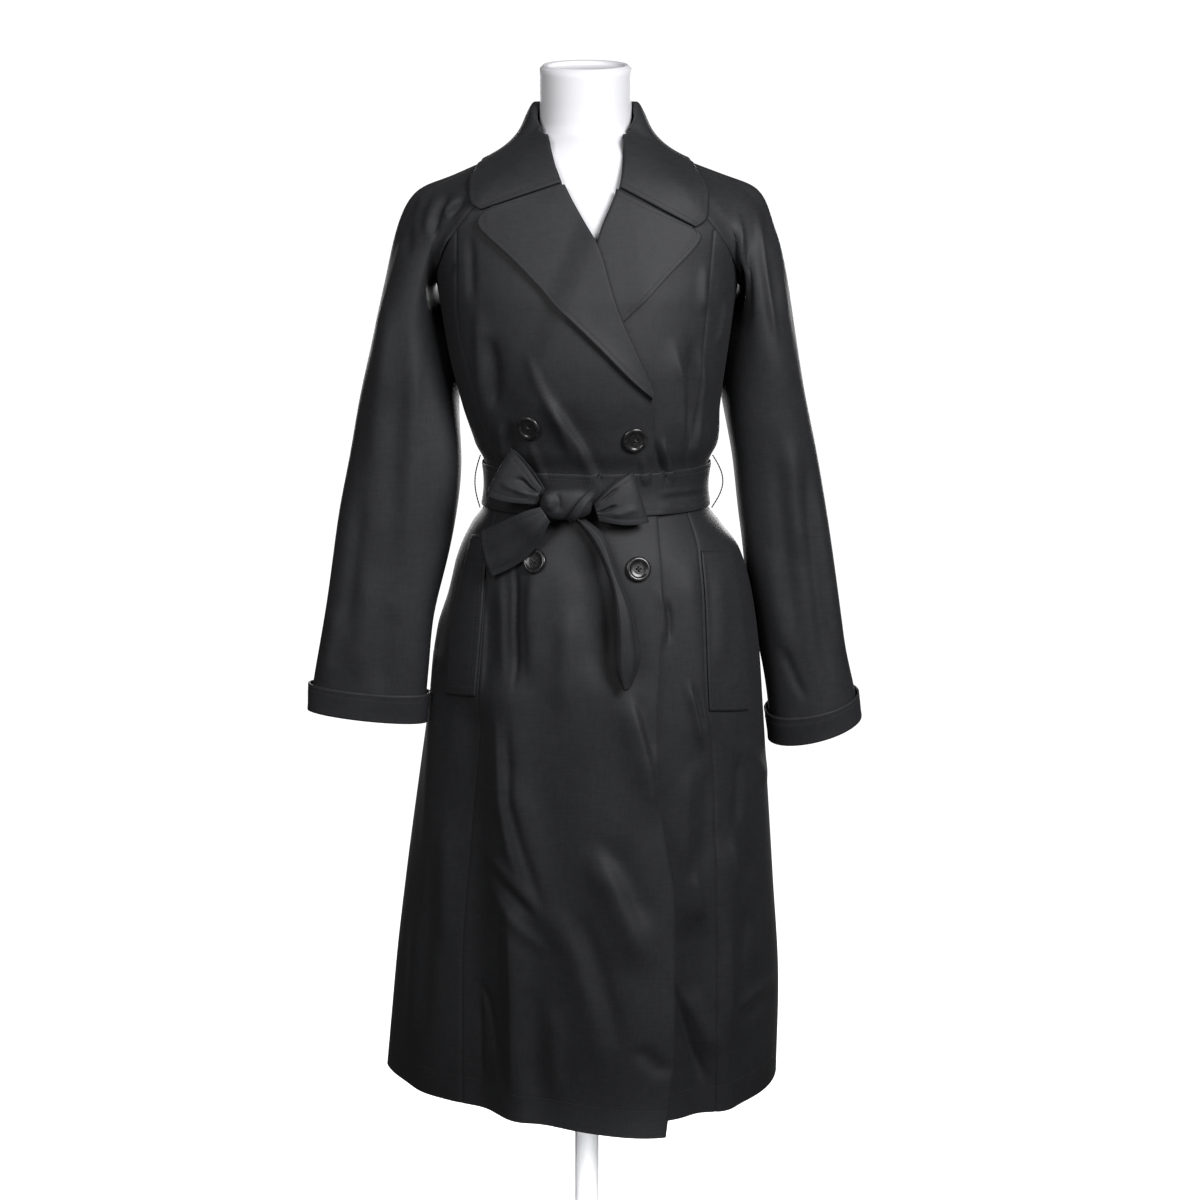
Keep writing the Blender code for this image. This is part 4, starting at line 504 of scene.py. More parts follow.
# The row from which on the collar's lines set the spacing round it.
COLLAR_SPACING_ROW = 24
STAND_FINE = 16
FALL_FINE = 34
PUSH_ROUNDS = 3
PUSH_SMOOTHINGS = 4
WELT_ROWS = 60
WELT_LIFT = 0.0004
WELT_WALL = 0.0016
WELT_SEAM_STITCH = 0.006
WELT_END_STITCHES = (0.003, 0.010)
BELT_FINE = 360
BELT_ROWS = 18
# Distances of the belt's first rows from its edges.
BELT_EDGE_ROW_STEPS = (0.0, 0.0008, 0.0025)
KNOT_ROWS = 60
KNOT_COLUMNS = 96
KNOT_END_ANGLE = 0.03
WRAP_PARTS = 10
WRAP_COLUMNS = 48
BOW_PARTS = 7
TAIL_PARTS = 8
THREAD_ROWS = 60
THREAD_SIDES = 10
STRAND_ROWS = 12
STRAND_SIDES = 8
STRIP_WALL = 0.0019
FORM_FINE = 96
FORM_PARTS = 4
TURNED_SIDES = 96
POLE_SIDES = 48
POLE_ROWS = 12
STITCH_PITCH = 0.0034
STITCH_GAP = 0.0003
STITCH_HALF = 0.00022
STITCH_LIFTS = (-0.000032, 0.00016, -0.000032)
# Stitch lines face away from the body's middle, or from the sleeve's beyond its start.
SHOULDER_Z = 1.30
SLEEVE_START_X = 0.205
SLEEVE_MIDDLE_X = 0.245
# From the middle of a button's front, over its rim, to its back: radius and height.
BUTTON_PROFILE = [(0.0003 * k, BUTTON_THICKNESS - 0.0016) for k in range(2, 18)] + [
    (0.0060, BUTTON_THICKNESS - 0.00155), (0.0070, BUTTON_THICKNESS - 0.00145),
    (0.0080, BUTTON_THICKNESS - 0.0013), (0.0087, BUTTON_THICKNESS - 0.0011),
    (0.0092, BUTTON_THICKNESS - 0.0006), (0.0097, BUTTON_THICKNESS - 0.00018),
    (0.0104, BUTTON_THICKNESS), (0.0114, BUTTON_THICKNESS + 0.0001),
    (0.0124, BUTTON_THICKNESS - 0.0001), (0.0132, BUTTON_THICKNESS - 0.0006),
    (BUTTON_RADIUS, BUTTON_THICKNESS - 0.0014), (BUTTON_RADIUS, 0.0012), (0.0132, 0.0004),
    (0.0124, 0.0)]
BUTTON_TURNS = {"right": 12.0, "left": 92.0}
BUTTON_EYE_RADIUS = 0.0056
BUTTON_HOLE_RADIUS = 0.0011
BUTTON_HOLE_DEPTH = 0.0013
BUTTON_HOLE_EASE = 0.0005
BUTTON_HOLES = ((0.0022, 0.0), (0.0, 0.0022), (-0.0022, 0.0), (0.0, -0.0022))
BUTTON_THREAD_Z = BUTTON_THICKNESS - 0.0026
BUTTON_THREAD_RISE = 0.0021
THREAD_APART = 0.00028
THREAD_OVER = 0.0003
STRAND_RADIUS = 0.00026
RIB_SLANT = math.radians(52.0)
RIB_PITCH = 0.0018 / math.pi
# A wave texture of scale 1 has twenty radians to the metre.
RIB_SCALE = 2 * math.pi / (20 * RIB_PITCH)

# Sleeves drawn in beside the body: side, height, half height, arm angle, spread, inward push.
SLEEVE_TUCKS = (
    (-1, 1.180, 0.065, 182.0, 24.0, 0.0030),
    (-1, 1.170, 0.075, 208.0, 26.0, 0.0150),
    (-1, 1.212, 0.040, 206.0, 26.0, 0.0060),
    (1, 1.212, 0.040, 206.0, 26.0, 0.0060),
    (1, 1.180, 0.065, 182.0, 24.0, 0.0030),
    (1, 1.170, 0.075, 208.0, 26.0, 0.0150),
    (1, 0.880, 0.080, 182.0, 24.0, 0.0030),
    (1, 0.880, 0.090, 214.0, 22.0, 0.0130),
)
# The strap across the knot: x, y, z and half width along it.
KNOT_WRAP = (
    (0.0125, -0.1280, 1.0275, 0.0036),
    (0.0070, -0.1385, 1.0258, 0.0044),
    (0.0005, -0.1448, 1.0205, 0.0048),
    (-0.0055, -0.1468, 1.0125, 0.0050),
    (-0.0110, -0.1448, 1.0045, 0.0048),
    (-0.0150, -0.1385, 0.9985, 0.0042),
    (-0.0165, -0.1290, 0.9965, 0.0032),
)
WRAP_HALF_THICKNESS = 0.0024
WRAP_ROUNDNESS = 0.8
WRAP_GROOVE = 0.25
WRAP_GROOVE_AT = 0.2
WRAP_GROOVE_WIDTH = 0.16
# How much of a hanging end's ridge shows once its cloth has softened.
TAIL_ARCH = 0.75
LEFT_TAIL = (
    # one edge, the ridge and the other edge, from the knot down, twisted narrow near the top
    ((-0.0120, -0.1260, 0.9940), (-0.0060, -0.1350, 0.9940), (0.0000, -0.1270, 0.9940)),
    ((0.0030, -0.1300, 0.9750), (0.0110, -0.1410, 0.9760), (0.0195, -0.1330, 0.9780)),
    ((0.0175, -0.1400, 0.9500), (0.0235, -0.1500, 0.9520), (0.0290, -0.1400, 0.9540)),
    ((0.0265, -0.1480, 0.9260), (0.0320, -0.1560, 0.9280), (0.0375, -0.1460, 0.9310)),
    ((0.0300, -0.1540, 0.9000), (0.0390, -0.1610, 0.9010), (0.0505, -0.1490, 0.9030)),
    ((0.0315, -0.1560, 0.8650), (0.0420, -0.1640, 0.8650), (0.0570, -0.1510, 0.8680)),
    ((0.0320, -0.1570, 0.8350), (0.0430, -0.1640, 0.8340), (0.0585, -0.1530, 0.8420)),
    ((0.0400, -0.1560, 0.8130), (0.0440, -0.1600, 0.8110), (0.0500, -0.1540, 0.8170)),
)

# ---------------------------------------------------------------- small creases
# Creases read off the photo: half width to the left and to the right and height, in millimetres,
# then the photo's pixels that the crease runs through.
FRONT_CREASES = (
    # left, right, height, then (column, row) of each pixel
    (9, 2.2, 4.2, (548, 392), (566, 425), (583, 452), (601, 492)),
    (2.2, 9, -3.5, (552, 392), (571, 425), (588, 452), (604, 492)),
    (7, 3, 3.5, (525, 348), (545, 392), (562, 425), (578, 470)),
    (8, 6, -4.8, (491, 335), (492, 370), (492, 412)),
    (6, 9, 3.2, (478, 300), (479, 345), (482, 410)),
    (5, 5, 3.8, (672, 335), (681, 384), (682, 415), (682, 470)),
    (4, 6, -3.8, (690, 338), (692, 384), (691, 420), (688, 470)),
    (4, 4, 3.5, (699, 338), (703, 384), (700, 420), (694, 468)),
    (2.2, 4, -4.2, (654, 440), (659, 462), (665, 484)),
    (4, 2, 3.5, (662, 436), (667, 460), (671, 484)),
    (3, 3, 3.2, (640, 455), (643, 470), (645, 486)),
    (5, 5, -2.6, (470, 231), (471, 270), (472, 306)),
    (3.5, 3.5, 2.9, (727, 298), (722, 327), (716, 350)),
    (5, 5, 2.9, (705, 262), (704, 290), (704, 316)),
    (2.2, 3.2, -1.9, (457, 262), (448, 275), (440, 286)),
    (7, 3, 3.2, (500, 420), (503, 450), (505, 470)),
    (3, 5, -3.2, (508, 420), (511, 450), (513, 470)),
    (5, 3, 2.9, (530, 440), (540, 465), (548, 486)),
    (9, 7, -5.2, (598, 535), (605, 580), (611, 625), (613, 672)),
    (6, 12, 4, (535, 560), (533, 620), (533, 690)),
    (3, 4, -3.8, (515, 548), (517, 590), (517, 640), (516, 700)),
    (8, 5, 2.9, (500, 560), (503, 620), (504, 690)),
    (3, 10, -2.9, (487, 585), (486, 640), (484, 700)),
    (12, 10, 4.2, (570, 600), (566, 660), (560, 720)),
    (3, 3, -2.9, (666, 598), (670, 618), (670, 645)),
    (5, 3, 2.2, (656, 580), (663, 610), (664, 650)),
    (20, 2.4, 5.2, (626, 690), (635, 720), (641, 745), (646, 765), (651, 800), (654, 830)),
    (2.4, 9, -3.5, (632, 690), (640, 718), (647, 742), (652, 765)),
    (5, 2, 4.2, (686, 678), (692, 705), (698, 734), (704, 752)),
    (2, 3, -2.9, (690, 680), (697, 705), (704, 735)),
    (10, 10, 3.2, (716, 560), (718, 620), (716, 680)),
    (5, 6, 3.2, (742, 735), (755, 757), (768, 782)),
    (5, 5, -3.8, (738, 750), (738, 790), (737, 830)),
    (5, 3, 3.5, (731, 835), (736, 865), (738, 890)),
    (3, 5, 3.8, (719, 912), (726, 940), (727, 990), (727, 1050)),
    (7, 5, 2.9, (694, 870), (698, 895), (702, 925)),
    (6, 6, -5.1, (668, 980), (680, 1008), (693, 1045), (712, 1090)),
    (7, 12, 4.2, (684, 985), (700, 1020), (716, 1060)),
    (9, 9, -3.5, (630, 1045), (650, 1068), (664, 1076)),
    (8, 6, 3.8, (734, 1012), (755, 992), (776, 970)),
    (8, 8, -2.9, (742, 1022), (760, 1004), (776, 990)),
    (14, 10, 4.2, (590, 840), (612, 890), (630, 935), (642, 970)),
    (10, 14, -3.8, (602, 835), (626, 885), (646, 935)),
    (9, 9, -3.8, (575, 900), (596, 960), (612, 1020), (620, 1070)),
    (14, 8, 3.5, (555, 900), (576, 960), (592, 1020), (600, 1080)),
    (3.2, 14, 5.2, (510, 900), (512, 950), (514, 1010), (514, 1070), (515, 1110)),
    (12, 3.2, -4.8, (500, 905), (502, 950), (504, 1010), (505, 1070), (506, 1105)),
    (4, 6, -3.5, (509, 700), (510, 750), (512, 800), (524, 850), (538, 895), (552, 938)),
    (7, 4, 3.5, (498, 700), (500, 750), (502, 800), (512, 850), (527, 900)),
    (7, 9, 3, (478, 846), (505, 872), (530, 900), (553, 926)),
    (8, 6, 2.7, (488, 876), (508, 912), (530, 936), (553, 958)),
    (7, 7, -2.6, (486, 862), (512, 890), (538, 922)),
    (4, 3, -2.9, (476, 975), (478, 1030), (479, 1090)),
    (4, 5, -4.2, (473, 975), (486, 998), (493, 1030), (496, 1066)),
    (9, 9, 3.5, (446, 800), (447, 880), (446, 960)),
    (8, 8, -3.2, (434, 820), (432, 900), (428, 980), (424, 1060)),
    (10, 10, 3.5, (418, 900), (414, 980), (408, 1060)),
    (10, 10, 3.8, (556, 1000), (556, 1050), (558, 1110)),
    (10, 10, -3.2, (536, 980), (534, 1040), (534, 1105)),
    (10, 9, 2.9, (690, 760), (686, 820), (684, 880)),
    (9, 9, -2.6, (708, 760), (706, 820), (704, 880)),
    (9, 9, 2.9, (748, 860), (752, 920), (752, 980)),
    (8, 8, -2.6, (745, 900), (742, 950), (742, 1000)),
)
SLEEVE_CREASES = (
    # left, right, height, then (column, row) of each pixel
    (3, 3, -4.2, (466, 199), (457, 208), (449, 218)),
    (4, 3, 3.2, (460, 196), (450, 206), (442, 217)),
    (4, 4, -3.5, (450, 190), (438, 215), (432, 240)),
    (4, 6, 3.2, (442, 188), (430, 212), (424, 238)),
    (5, 5, 2.9, (430, 186), (418, 210), (410, 240)),
    (6, 6, -3.2, (424, 200), (410, 230), (404, 262)),
    (3, 3, 2.6, (452, 232), (444, 246), (438, 262)),
    (3, 7, -5.2, (746, 228), (749, 250), (748, 275), (741, 312), (736, 340)),
    (5, 3, 4.2, (738, 208), (741, 234), (741, 265), (735, 300)),
    (3.5, 4, 5.1, (755, 197), (759, 225), (763, 260), (770, 306), (778, 350)),
    (7, 7, -3.2, (764, 200), (768, 240), (776, 290), (784, 330)),
    (9, 9, 3.2, (772, 215), (780, 270), (787, 330)),
    (6, 9, 3.8, (812, 455), (819, 510), (827, 565), (838, 640), (850, 690)),
    (9, 6, -4.2, (803, 440), (808, 510), (816, 580), (826, 650), (836, 700)),
    (12, 12, 3.5, (790, 430), (796, 500), (802, 570)),
    (10, 10, -3.2, (776, 420), (780, 500), (788, 580), (798, 650)),
    (11, 11, 3.5, (768, 540), (776, 600), (790, 670)),
    (5, 5, -2.9, (780, 640), (792, 672), (808, 706)),
    (14, 10, 3.8, (390, 260), (384, 340), (378, 420), (372, 500)),
    (12, 12, -3.5, (404, 300), (399, 380), (392, 460), (386, 540)),
    (10, 8, 3.5, (416, 330), (413, 420), (408, 510), (402, 590)),
    (9, 9, -2.9, (362, 480), (354, 560), (344, 640)),
    (12, 9, 3.2, (372, 560), (364, 630), (356, 690)),
    (10, 10, -2.9, (392, 600), (384, 650), (378, 700)),
    (9, 9, 2.9, (338, 600), (330, 650), (324, 690)),
)
BELT_CREASES = (
    # left, right, height, then (column, row) of each pixel
    (2, 2.5, -1.2, (652, 500), (680, 498), (712, 492)),
    (2.5, 2, 1.1, (652, 493), (680, 491), (706, 486)),
    (3, 3, 1, (655, 508), (672, 509), (690, 508)),
)
# Creases out of the photo's sight: half width to the left and to the right and height, then the
# x and z of the crease's points, all in millimetres.
BACK_CREASES = (
    (5, 9, 3, (-120, 1150), (-105, 1100), (-98, 1060)),
    (8, 6, -2.8, (-70, 1140), (-64, 1100), (-60, 1056)),
    (6, 8, 2.6, (-20, 1160), (-26, 1100), (-24, 1056)),
    (7, 7, -2.6, (26, 1150), (20, 1100), (18, 1056)),
    (9, 5, 2.8, (78, 1160), (66, 1105), (62, 1056)),
    (7, 7, -2.6, (115, 1150), (102, 1105), (96, 1056)),
    (20, 20, 3, (-100, 1320), (-40, 1270), (20, 1250)),
    (18, 18, -2.6, (110, 1320), (60, 1260), (-10, 1230)),
    (6, 12, -4, (-130, 980), (-146, 860), (-164, 700)),
    (10, 10, 3.6, (-108, 960), (-124, 840), (-140, 680), (-150, 500)),
    (8, 12, -3.6, (-60, 985), (-72, 880), (-80, 740)),
    (12, 8, 3.6, (-15, 980), (-19, 860), (-26, 660), (-30, 440)),
    (9, 11, -3.4, (32, 985), (38, 860), (46, 720)),
    (11, 9, 3.6, (84, 980), (104, 840), (118, 660), (126, 460)),
    (10, 10, -3.6, (126, 970), (148, 860), (166, 700)),
    (14, 10, 3.2, (-62, 660), (-90, 520), (-104, 340)),
    (11, 14, -3, (10, 600), (20, 470), (14, 320)),
    (14, 11, 3.2, (70, 640), (60, 500), (64, 330)),
)
SLEEVE_BACK_CREASES = (
    (8, 8, 2.6, (-230, 1200), (-245, 1100), (-252, 1000)),
    (8, 8, -2.6, (-210, 1160), (-218, 1060), (-222, 960)),
    (9, 8, 2.4, (-190, 1140), (-188, 1050), (-198, 940)),
    (8, 9, -2.4, (-270, 960), (-278, 880), (-284, 800)),
    (9, 8, 2.4, (-240, 940), (-242, 860), (-244, 790)),
    (8, 8, -2.4, (228, 1190), (240, 1100), (246, 1000)),
    (8, 8, 2.6, (206, 1170), (210, 1070), (216, 970)),
    (9, 8, -2.4, (186, 1130), (190, 1040), (200, 940)),
    (8, 9, 2.4, (270, 970), (278, 880), (286, 800)),
    (9, 8, -2.4, (244, 930), (250, 850), (256, 770)),
)
# On the knot, as x and z from its middle, in millimetres too.
KNOT_CREASES = (
    (2.4, 5, -3.6, (-13.5, 17), (-10.5, 5), (-11, -10)),
    (6, 4.4, 2.8, (-21.5, 15), (-16.5, 3), (-16, -9)),
)
# On the bow's loops, as shares of their length and of their half width.
RIGHT_BOW_CREASES = (
    (0.12, 0.22, -0.0042, (0.02, 0.22), (0.25, 0.26), (0.52, 0.40)),
    (0.16, 0.14, 0.0016, (0.10, -0.25), (0.45, -0.25), (0.85, -0.30)),
)
LEFT_BOW_CREASES = (
    (0.07, 0.12, -0.0046, (0.00, 0.02), (0.20, -0.02), (0.45, -0.10)),
    (0.10, 0.08, -0.0024, (0.12, -0.72), (0.40, -0.74), (0.62, -0.72)),
    (0.20, 0.16, 0.0016, (0.20, 0.45), (0.55, 0.40), (0.90, 0.30)),
)


# ---------------------------------------------------------------- curves and the body surface
def curve(points, x):
    """Values at x of the smooth curve through the points, held level past its two ends."""
    xs, ys = np.array(points, dtype=float).T
    steps = np.diff(ys) / np.diff(xs)
    slope = np.empty(len(xs))
    slope[0], slope[-1] = steps[0], steps[-1]
    before, after = steps[:-1], steps[1:]
    total = np.where(before * after > 0, before + after, 1.0)
    slope[1:-1] = np.where(before * after > 0, 2 * before * after / total, 0.0)
    x = np.clip(np.asarray(x, dtype=float), xs[0], xs[-1])
    i = np.clip(np.searchsorted(xs, x, side="right") - 1, 0, len(xs) - 2)
    span = xs[i + 1] - xs[i]
    t = (x - xs[i]) / span
    rise = (3 - 2 * t) * t * t
    return (ys[i] + (ys[i + 1] - ys[i]) * rise + span * slope[i] * t * (1 - t) ** 2
            - span * slope[i + 1] * t * t * (1 - t))


def column(table, index):
    """The (first column, chosen column) pairs of a table."""
    return tuple((row[0], row[index]) for row in table)


BODY_COLUMNS = {name: column(BODY_SECTIONS, i + 1) for i, name in enumerate(SECTION_NAMES)}


def section(z):
    """Named sizes of the body's section at each height."""
    return {name: curve(points, z) for name, points in BODY_COLUMNS.items()}


def ease(t):
    """Smooth step from 0 to 1."""
    t = np.clip(t, 0.0, 1.0)
    return t * t * (3 - 2 * t)


def blend(pair, t):
    """The value a share t of the way from the first to the second of a pair."""
    return pair[0] * (1 - t) + pair[1] * t


def unit(vectors):
    """Vectors brought to length 1."""
    return vectors / np.linalg.norm(vectors, axis=-1, keepdims=True)


def run_lengths(points):
    """Distances along a line of points, from its first to each of them."""
    steps = np.linalg.norm(np.diff(points, axis=0), axis=1)
    return np.concatenate(((0.0,), np.cumsum(steps)))


def round_angles(count):
    """Equally spaced angles of a full turn."""
    return 2 * math.pi * np.arange(count) / count


def fullness(angle, size):
    """Exponent of the section's curve in each quadrant; 2 is an ellipse, more is squarer."""
    front = np.where(angle < 0, size["full_right"], size["full_left"])
    return np.where(np.abs(angle) > math.pi / 2, BACK_FULLNESS, front)


def turn(angle):
    """The angle brought between -180 and 180 degrees."""
    return (angle + math.pi) % (2 * math.pi) - math.pi


def matched(angle, z):
    """Angles, brought within half a turn, and heights as arrays of one shape."""
    return np.broadcast_arrays(turn(np.asarray(angle, float)), np.asarray(z, float))


def plain_point(angle, z):
    """Points of the smooth body at angles from the centre front (the wearer's left is plus)."""
    angle, z = matched(angle, z)
    size = section(z)
    power = 2.0 / fullness(angle, size)
    sine, cosine = np.sin(angle), np.cos(angle)
    x = size["centre_x"] + size["half_width"] * np.sign(sine) * np.abs(sine) ** power
    depth = np.where(cosine > 0, size["front"], size["back"])
    y = size["centre_y"] - depth * np.sign(cosine) * np.abs(cosine) ** power
    return np.stack((x, y, z), axis=-1)


def angle_at(x, z, face="front"):
    """Angles at which the body's section passes through x, clamped to the side seam."""
    size = section(z)
    offset = x - size["centre_x"]
    full = BACK_FULLNESS if face == "back" else fullness(np.sign(offset) * 0.1, size)
    sine = np.minimum(1.0, np.abs(offset) / size["half_width"]) ** (full / 2.0)
    angle = np.sign(offset) * np.arcsin(sine)
    if face == "front":
        return angle
    return np.sign(offset) * math.pi - angle


def fold_height(angle, z):
    """How far the largest folds move the body's surface out."""
    size = section(z)
    radius = 0.5 * (size["half_width"] + size["front"])
    total = np.zeros(np.broadcast(angle, z).shape)
    for face, top_x, top_z, bottom_x, bottom_z, half_width, height in FOLDS:
        t = np.clip((z - bottom_z) / (top_z - bottom_z), 0.0, 1.0)
        fade = ease((top_z - z) / FOLD_FADE)
        if bottom_z > HEM_Z:
            fade = fade * ease((z - bottom_z) / FOLD_FADE)
        centre = angle_at(bottom_x + (top_x - bottom_x) * t, z, face)
        along = turn(angle - centre) * radius
        total = total + height * fade * np.exp(-(along / half_width) ** 2)
    return total


def crease_height(creases, x, z):
    """How far creases move a surface out, seen from the front or back.

    A crease is (half width to its left, to its right, height, then its x and z points).
    """
    total = np.zeros(np.broadcast(x, z).shape)
    for left, right, height, *line in creases:
        line = np.array(line, dtype=float)
        reach = CREASE_REACH * max(left, right)
        low, high = line.min(axis=0) - reach, line.max(axis=0) + reach
        near = (x > low[0]) & (x < high[0]) & (z > low[1]) & (z < high[1])
        if not near.any():
            continue
        px, pz = x[near], z[near]
        steps = np.diff(line, axis=0)
        starts = run_lengths(line)
        best = np.full(px.shape, np.inf)
        side, place = np.zeros(px.shape), np.zeros(px.shape)
        for (ax, az), (sx, sz), start, end in zip(line, steps, starts, starts[1:]):
            length = end - start
            t = np.clip(((px - ax) * sx + (pz - az) * sz) / length ** 2, 0.0, 1.0)
            dx, dz = px - ax - t * sx, pz - az - t * sz
            away = dx * dx + dz * dz
            closer = away < best
            best = np.where(closer, away, best)
            side = np.where(closer, dx * sz - dz * sx, side)
            place = np.where(closer, start + t * length, place)
        t = place / starts[-1]
        fade = ease(t / CREASE_FADE_SHARE) * ease((1 - t) / CREASE_FADE_SHARE)
        width = np.where(side * np.sign(steps[:, 1].sum()) < 0, left, right)
        total[near] += height * fade * np.exp(-best / width ** 2)
    return total


def pixel_place(tree, column, row):
    """The x and z of the solids at a pixel of the photo, or at the nearest one beside it."""
    turned_up = Euler((math.radians(CAMERA_TILT), 0.0, 0.0)).to_matrix()
    up = 0.5 - row / PHOTO_SIZE
    for step in range(PIXEL_SEARCH):
        for shift in (step, -step):
            across = (column + shift) / PHOTO_SIZE - 0.5
            ray = turned_up @ Vector((across, up, -CAMERA_LENS / CAMERA_SENSOR))
            place = tree.ray_cast(Vector(CAMERA_PLACE), ray.normalized())[0]
            if place is not None:
                return round(place.x, 4), round(place.z, 4)
    raise ValueError(f"no cloth lies near the pixel {column}, {row}")


def photo_creases(rows, *nodes):
    """Creases in metres from rows in millimetres and pixels, laid on the nodes' solids."""
    points, faces = [], []
    for node in nodes:
        mesh = frame["nodes"][node].data
        faces += [tuple(len(points) + i for i in face.vertices) for face in mesh.polygons]
        points += [vertex.co.copy() for vertex in mesh.vertices]
    tree = BVHTree.FromPolygons(points, faces)
    creases = []
    for left, right, height, *pixels in rows:
        line = [pixel_place(tree, column, row) for column, row in pixels]
        creases.append((left / 1000, right / 1000, height / 1000, *line))
    return creases


def in_metres(rows):
    """Creases in metres from rows in millimetres."""
    return [(left / 1000, right / 1000, height / 1000, *(np.array(line) / 1000))
            for left, right, height, *line in rows]


BODY_CREASES = photo_creases(FRONT_CREASES, "front_right", "front_left", "side_front_right",
                             "side_front_left")
ARM_CREASES = photo_creases(SLEEVE_CREASES, "sleeve_right", "sleeve_left")
BAND_CREASES = photo_creases(BELT_CREASES, "belt_band")
REAR_CREASES = in_metres(BACK_CREASES)
REAR_ARM_CREASES = in_metres(SLEEVE_BACK_CREASES)


def lap_lift(angle, z):
    """How far the right front is lifted over the left one, from its seam to its lapped edge."""
    start = np.where(z < BREAK_Z, curve(LEFT_EDGE, z), curve(LEFT_ROLL, z))
    x = plain_point(angle, z)[..., 0]
    amount = blend((OVERLAP_LIFT, LAPEL_LIFT), ease((z - BREAK_Z) / LAPEL_LIFT_RUN + 1))
    amount = amount * ease((NECK_Z - z) / NECK_LIFT_RUN)
    lift = amount * ease((x - start) / OVERLAP_EASE + 1)
    run = (x - FLARE_START_X) / (curve(RIGHT_EDGE, z) - FLARE_START_X)
    return lift + curve(EDGE_FLARE, z) * ease(run)


def coat(angle, z, lapped=False, out=0.0):
    """Points of the coat's outer face, with its folds and creases, moved out by a distance."""
    angle, z = matched(angle, z)
    size = section(z)
    outward = unit(np.stack((np.sin(angle) * size["front"], -np.cos(angle) * size["half_width"],
                             np.zeros(z.shape)), axis=-1))
    lift = fold_height(angle, z)
    points = plain_point(angle, z)
    x, level = np.atleast_1d(points[..., 0]), np.atleast_1d(z)
    height = np.where(np.atleast_1d(np.abs(angle) < math.pi / 2),
                      crease_height(BODY_CREASES, x, level), crease_height(REAR_CREASES, x, level))
    lift = lift + height.reshape(z.shape)
    if lapped:
        lift = lift + lap_lift(angle, z)
    points = points + outward * lift[..., None]
    if np.any(out):
        points = points + coat_normal(angle, z, lapped) * np.asarray(out)[..., None]
    return points


def surface_normal(surface, angle, z, step_angle, low, high):
    """Outward normals of a surface given by a function of angle and height."""
    across = surface(angle + step_angle, z) - surface(angle - step_angle, z)
    return unit(np.cross(across, surface(angle, high) - surface(angle, low)))


def coat_normal(angle, z, lapped=False):
    """Outward normals of the coat's face."""
    low = np.maximum(HEM_Z, z - NORMAL_STEP_Z)
    high = np.minimum(BODY_SECTIONS[-1][0], z + NORMAL_STEP_Z)
    face = functools.partial(coat, lapped=lapped)
    return surface_normal(face, angle, z, COAT_NORMAL_STEP, low, high)


# ---------------------------------------------------------------- grids and meshes
def spline(knots, at, closed=False):
    """Weights that turn values at the knots into values of a smooth curve at other places."""
    knots, at = np.asarray(knots, float), np.asarray(at, float)
    count = len(knots) - 1 if closed else len(knots)
    step = np.diff(knots)
    left, right = np.zeros((count, count)), np.zeros((count, count))
    for i in range(count):
        if not closed and i in (0, count - 1):
            left[i, i] = 1.0
            continue
        before, after = step[i - 1], step[i]
        left[i, (i - 1) % count] += before
        left[i, i] += 2 * (before + after)
        left[i, (i + 1) % count] += after
        right[i, (i - 1) % count] += 6 / before
        right[i, i] -= 6 / before + 6 / after
        right[i, (i + 1) % count] += 6 / after
    bend = np.linalg.solve(left, right)
    i = np.clip(np.searchsorted(knots, at, side="right") - 1, 0, len(step) - 1)
    span = step[i][:, None]
    b = ((at - knots[i]) / step[i])[:, None]
    a = 1 - b
    own = np.eye(count)
    following = (i + 1) % count
    return (a * own[i] + b * own[following]
            + ((a ** 3 - a) * bend[i] + (b ** 3 - b) * bend[following]) * span ** 2 / 6)


def finer(places, parts):
    """Knot places with each step cut in equal parts."""
    places = np.asarray(places, float)
    cut = [np.linspace(a, b, parts, endpoint=False) for a, b in zip(places, places[1:])]
    return np.append(np.concatenate(cut), places[-1])


def chord_knots(grid, axis):
    """Knots spaced as the mean length of a grid's steps along an axis."""
    step = np.linalg.norm(np.diff(grid, axis=axis), axis=-1)
    return np.concatenate(((0.0,), np.cumsum(step.mean(axis=1 - axis))))


def closed_up(grid):
    """A ring grid with its first column repeated at its end."""
    return np.concatenate((grid, grid[:, :1]), axis=1)


def grid_normals(grid, closed=False):
    """Unit normals of a grid of points, from its neighbours along rows and columns."""
    grid = np.asarray(grid, float)
    if closed:
        across = np.roll(grid, -1, axis=1) - np.roll(grid, 1, axis=1)
    else:
        across = np.gradient(grid, axis=1)
    normals = np.cross(across, np.gradient(grid, axis=0))
    size = np.linalg.norm(normals, axis=2, keepdims=True)
    return normals / np.maximum(size, 1e-12)


def facing(normals, place, direction):
    """The normals, all turned over if the one at a place points against a direction."""
    return -normals if np.dot(normals[place], direction) < 0 else normals


def along_rows(grid):
    """Distance of each point of a grid from its first and from its last column."""
    step = np.linalg.norm(np.diff(grid, axis=1), axis=2)
    first = np.concatenate((np.zeros((len(grid), 1)), np.cumsum(step, axis=1)), axis=1)
    return first, first[:, -1:] - first


def to_last_row(grid):
    """Distance of each point of a grid from its last row."""
    steps = np.linalg.norm(np.diff(grid, axis=0), axis=2)
    return np.concatenate((np.cumsum(steps[::-1], axis=0)[::-1], np.zeros((1, grid.shape[1]))))


def edge_dip(distance, depth, width):
    """How far cloth turns down towards an edge at this distance from it."""
    return -depth * np.exp(-(distance / width) ** 2)


def stitch_dip(distance):
    """How far a line of stitches draws cloth in, at this distance from it."""
    return edge_dip(distance, STITCH_DIP, STITCH_DIP_WIDTH)


def ride(piece, slot_name, *nodes):
    """A piece rides on the coat's one body; the CAD nodes that it stands for, if any, are hidden."""
    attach(piece, "root")
    if nodes:
        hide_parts(*nodes)
    return piece


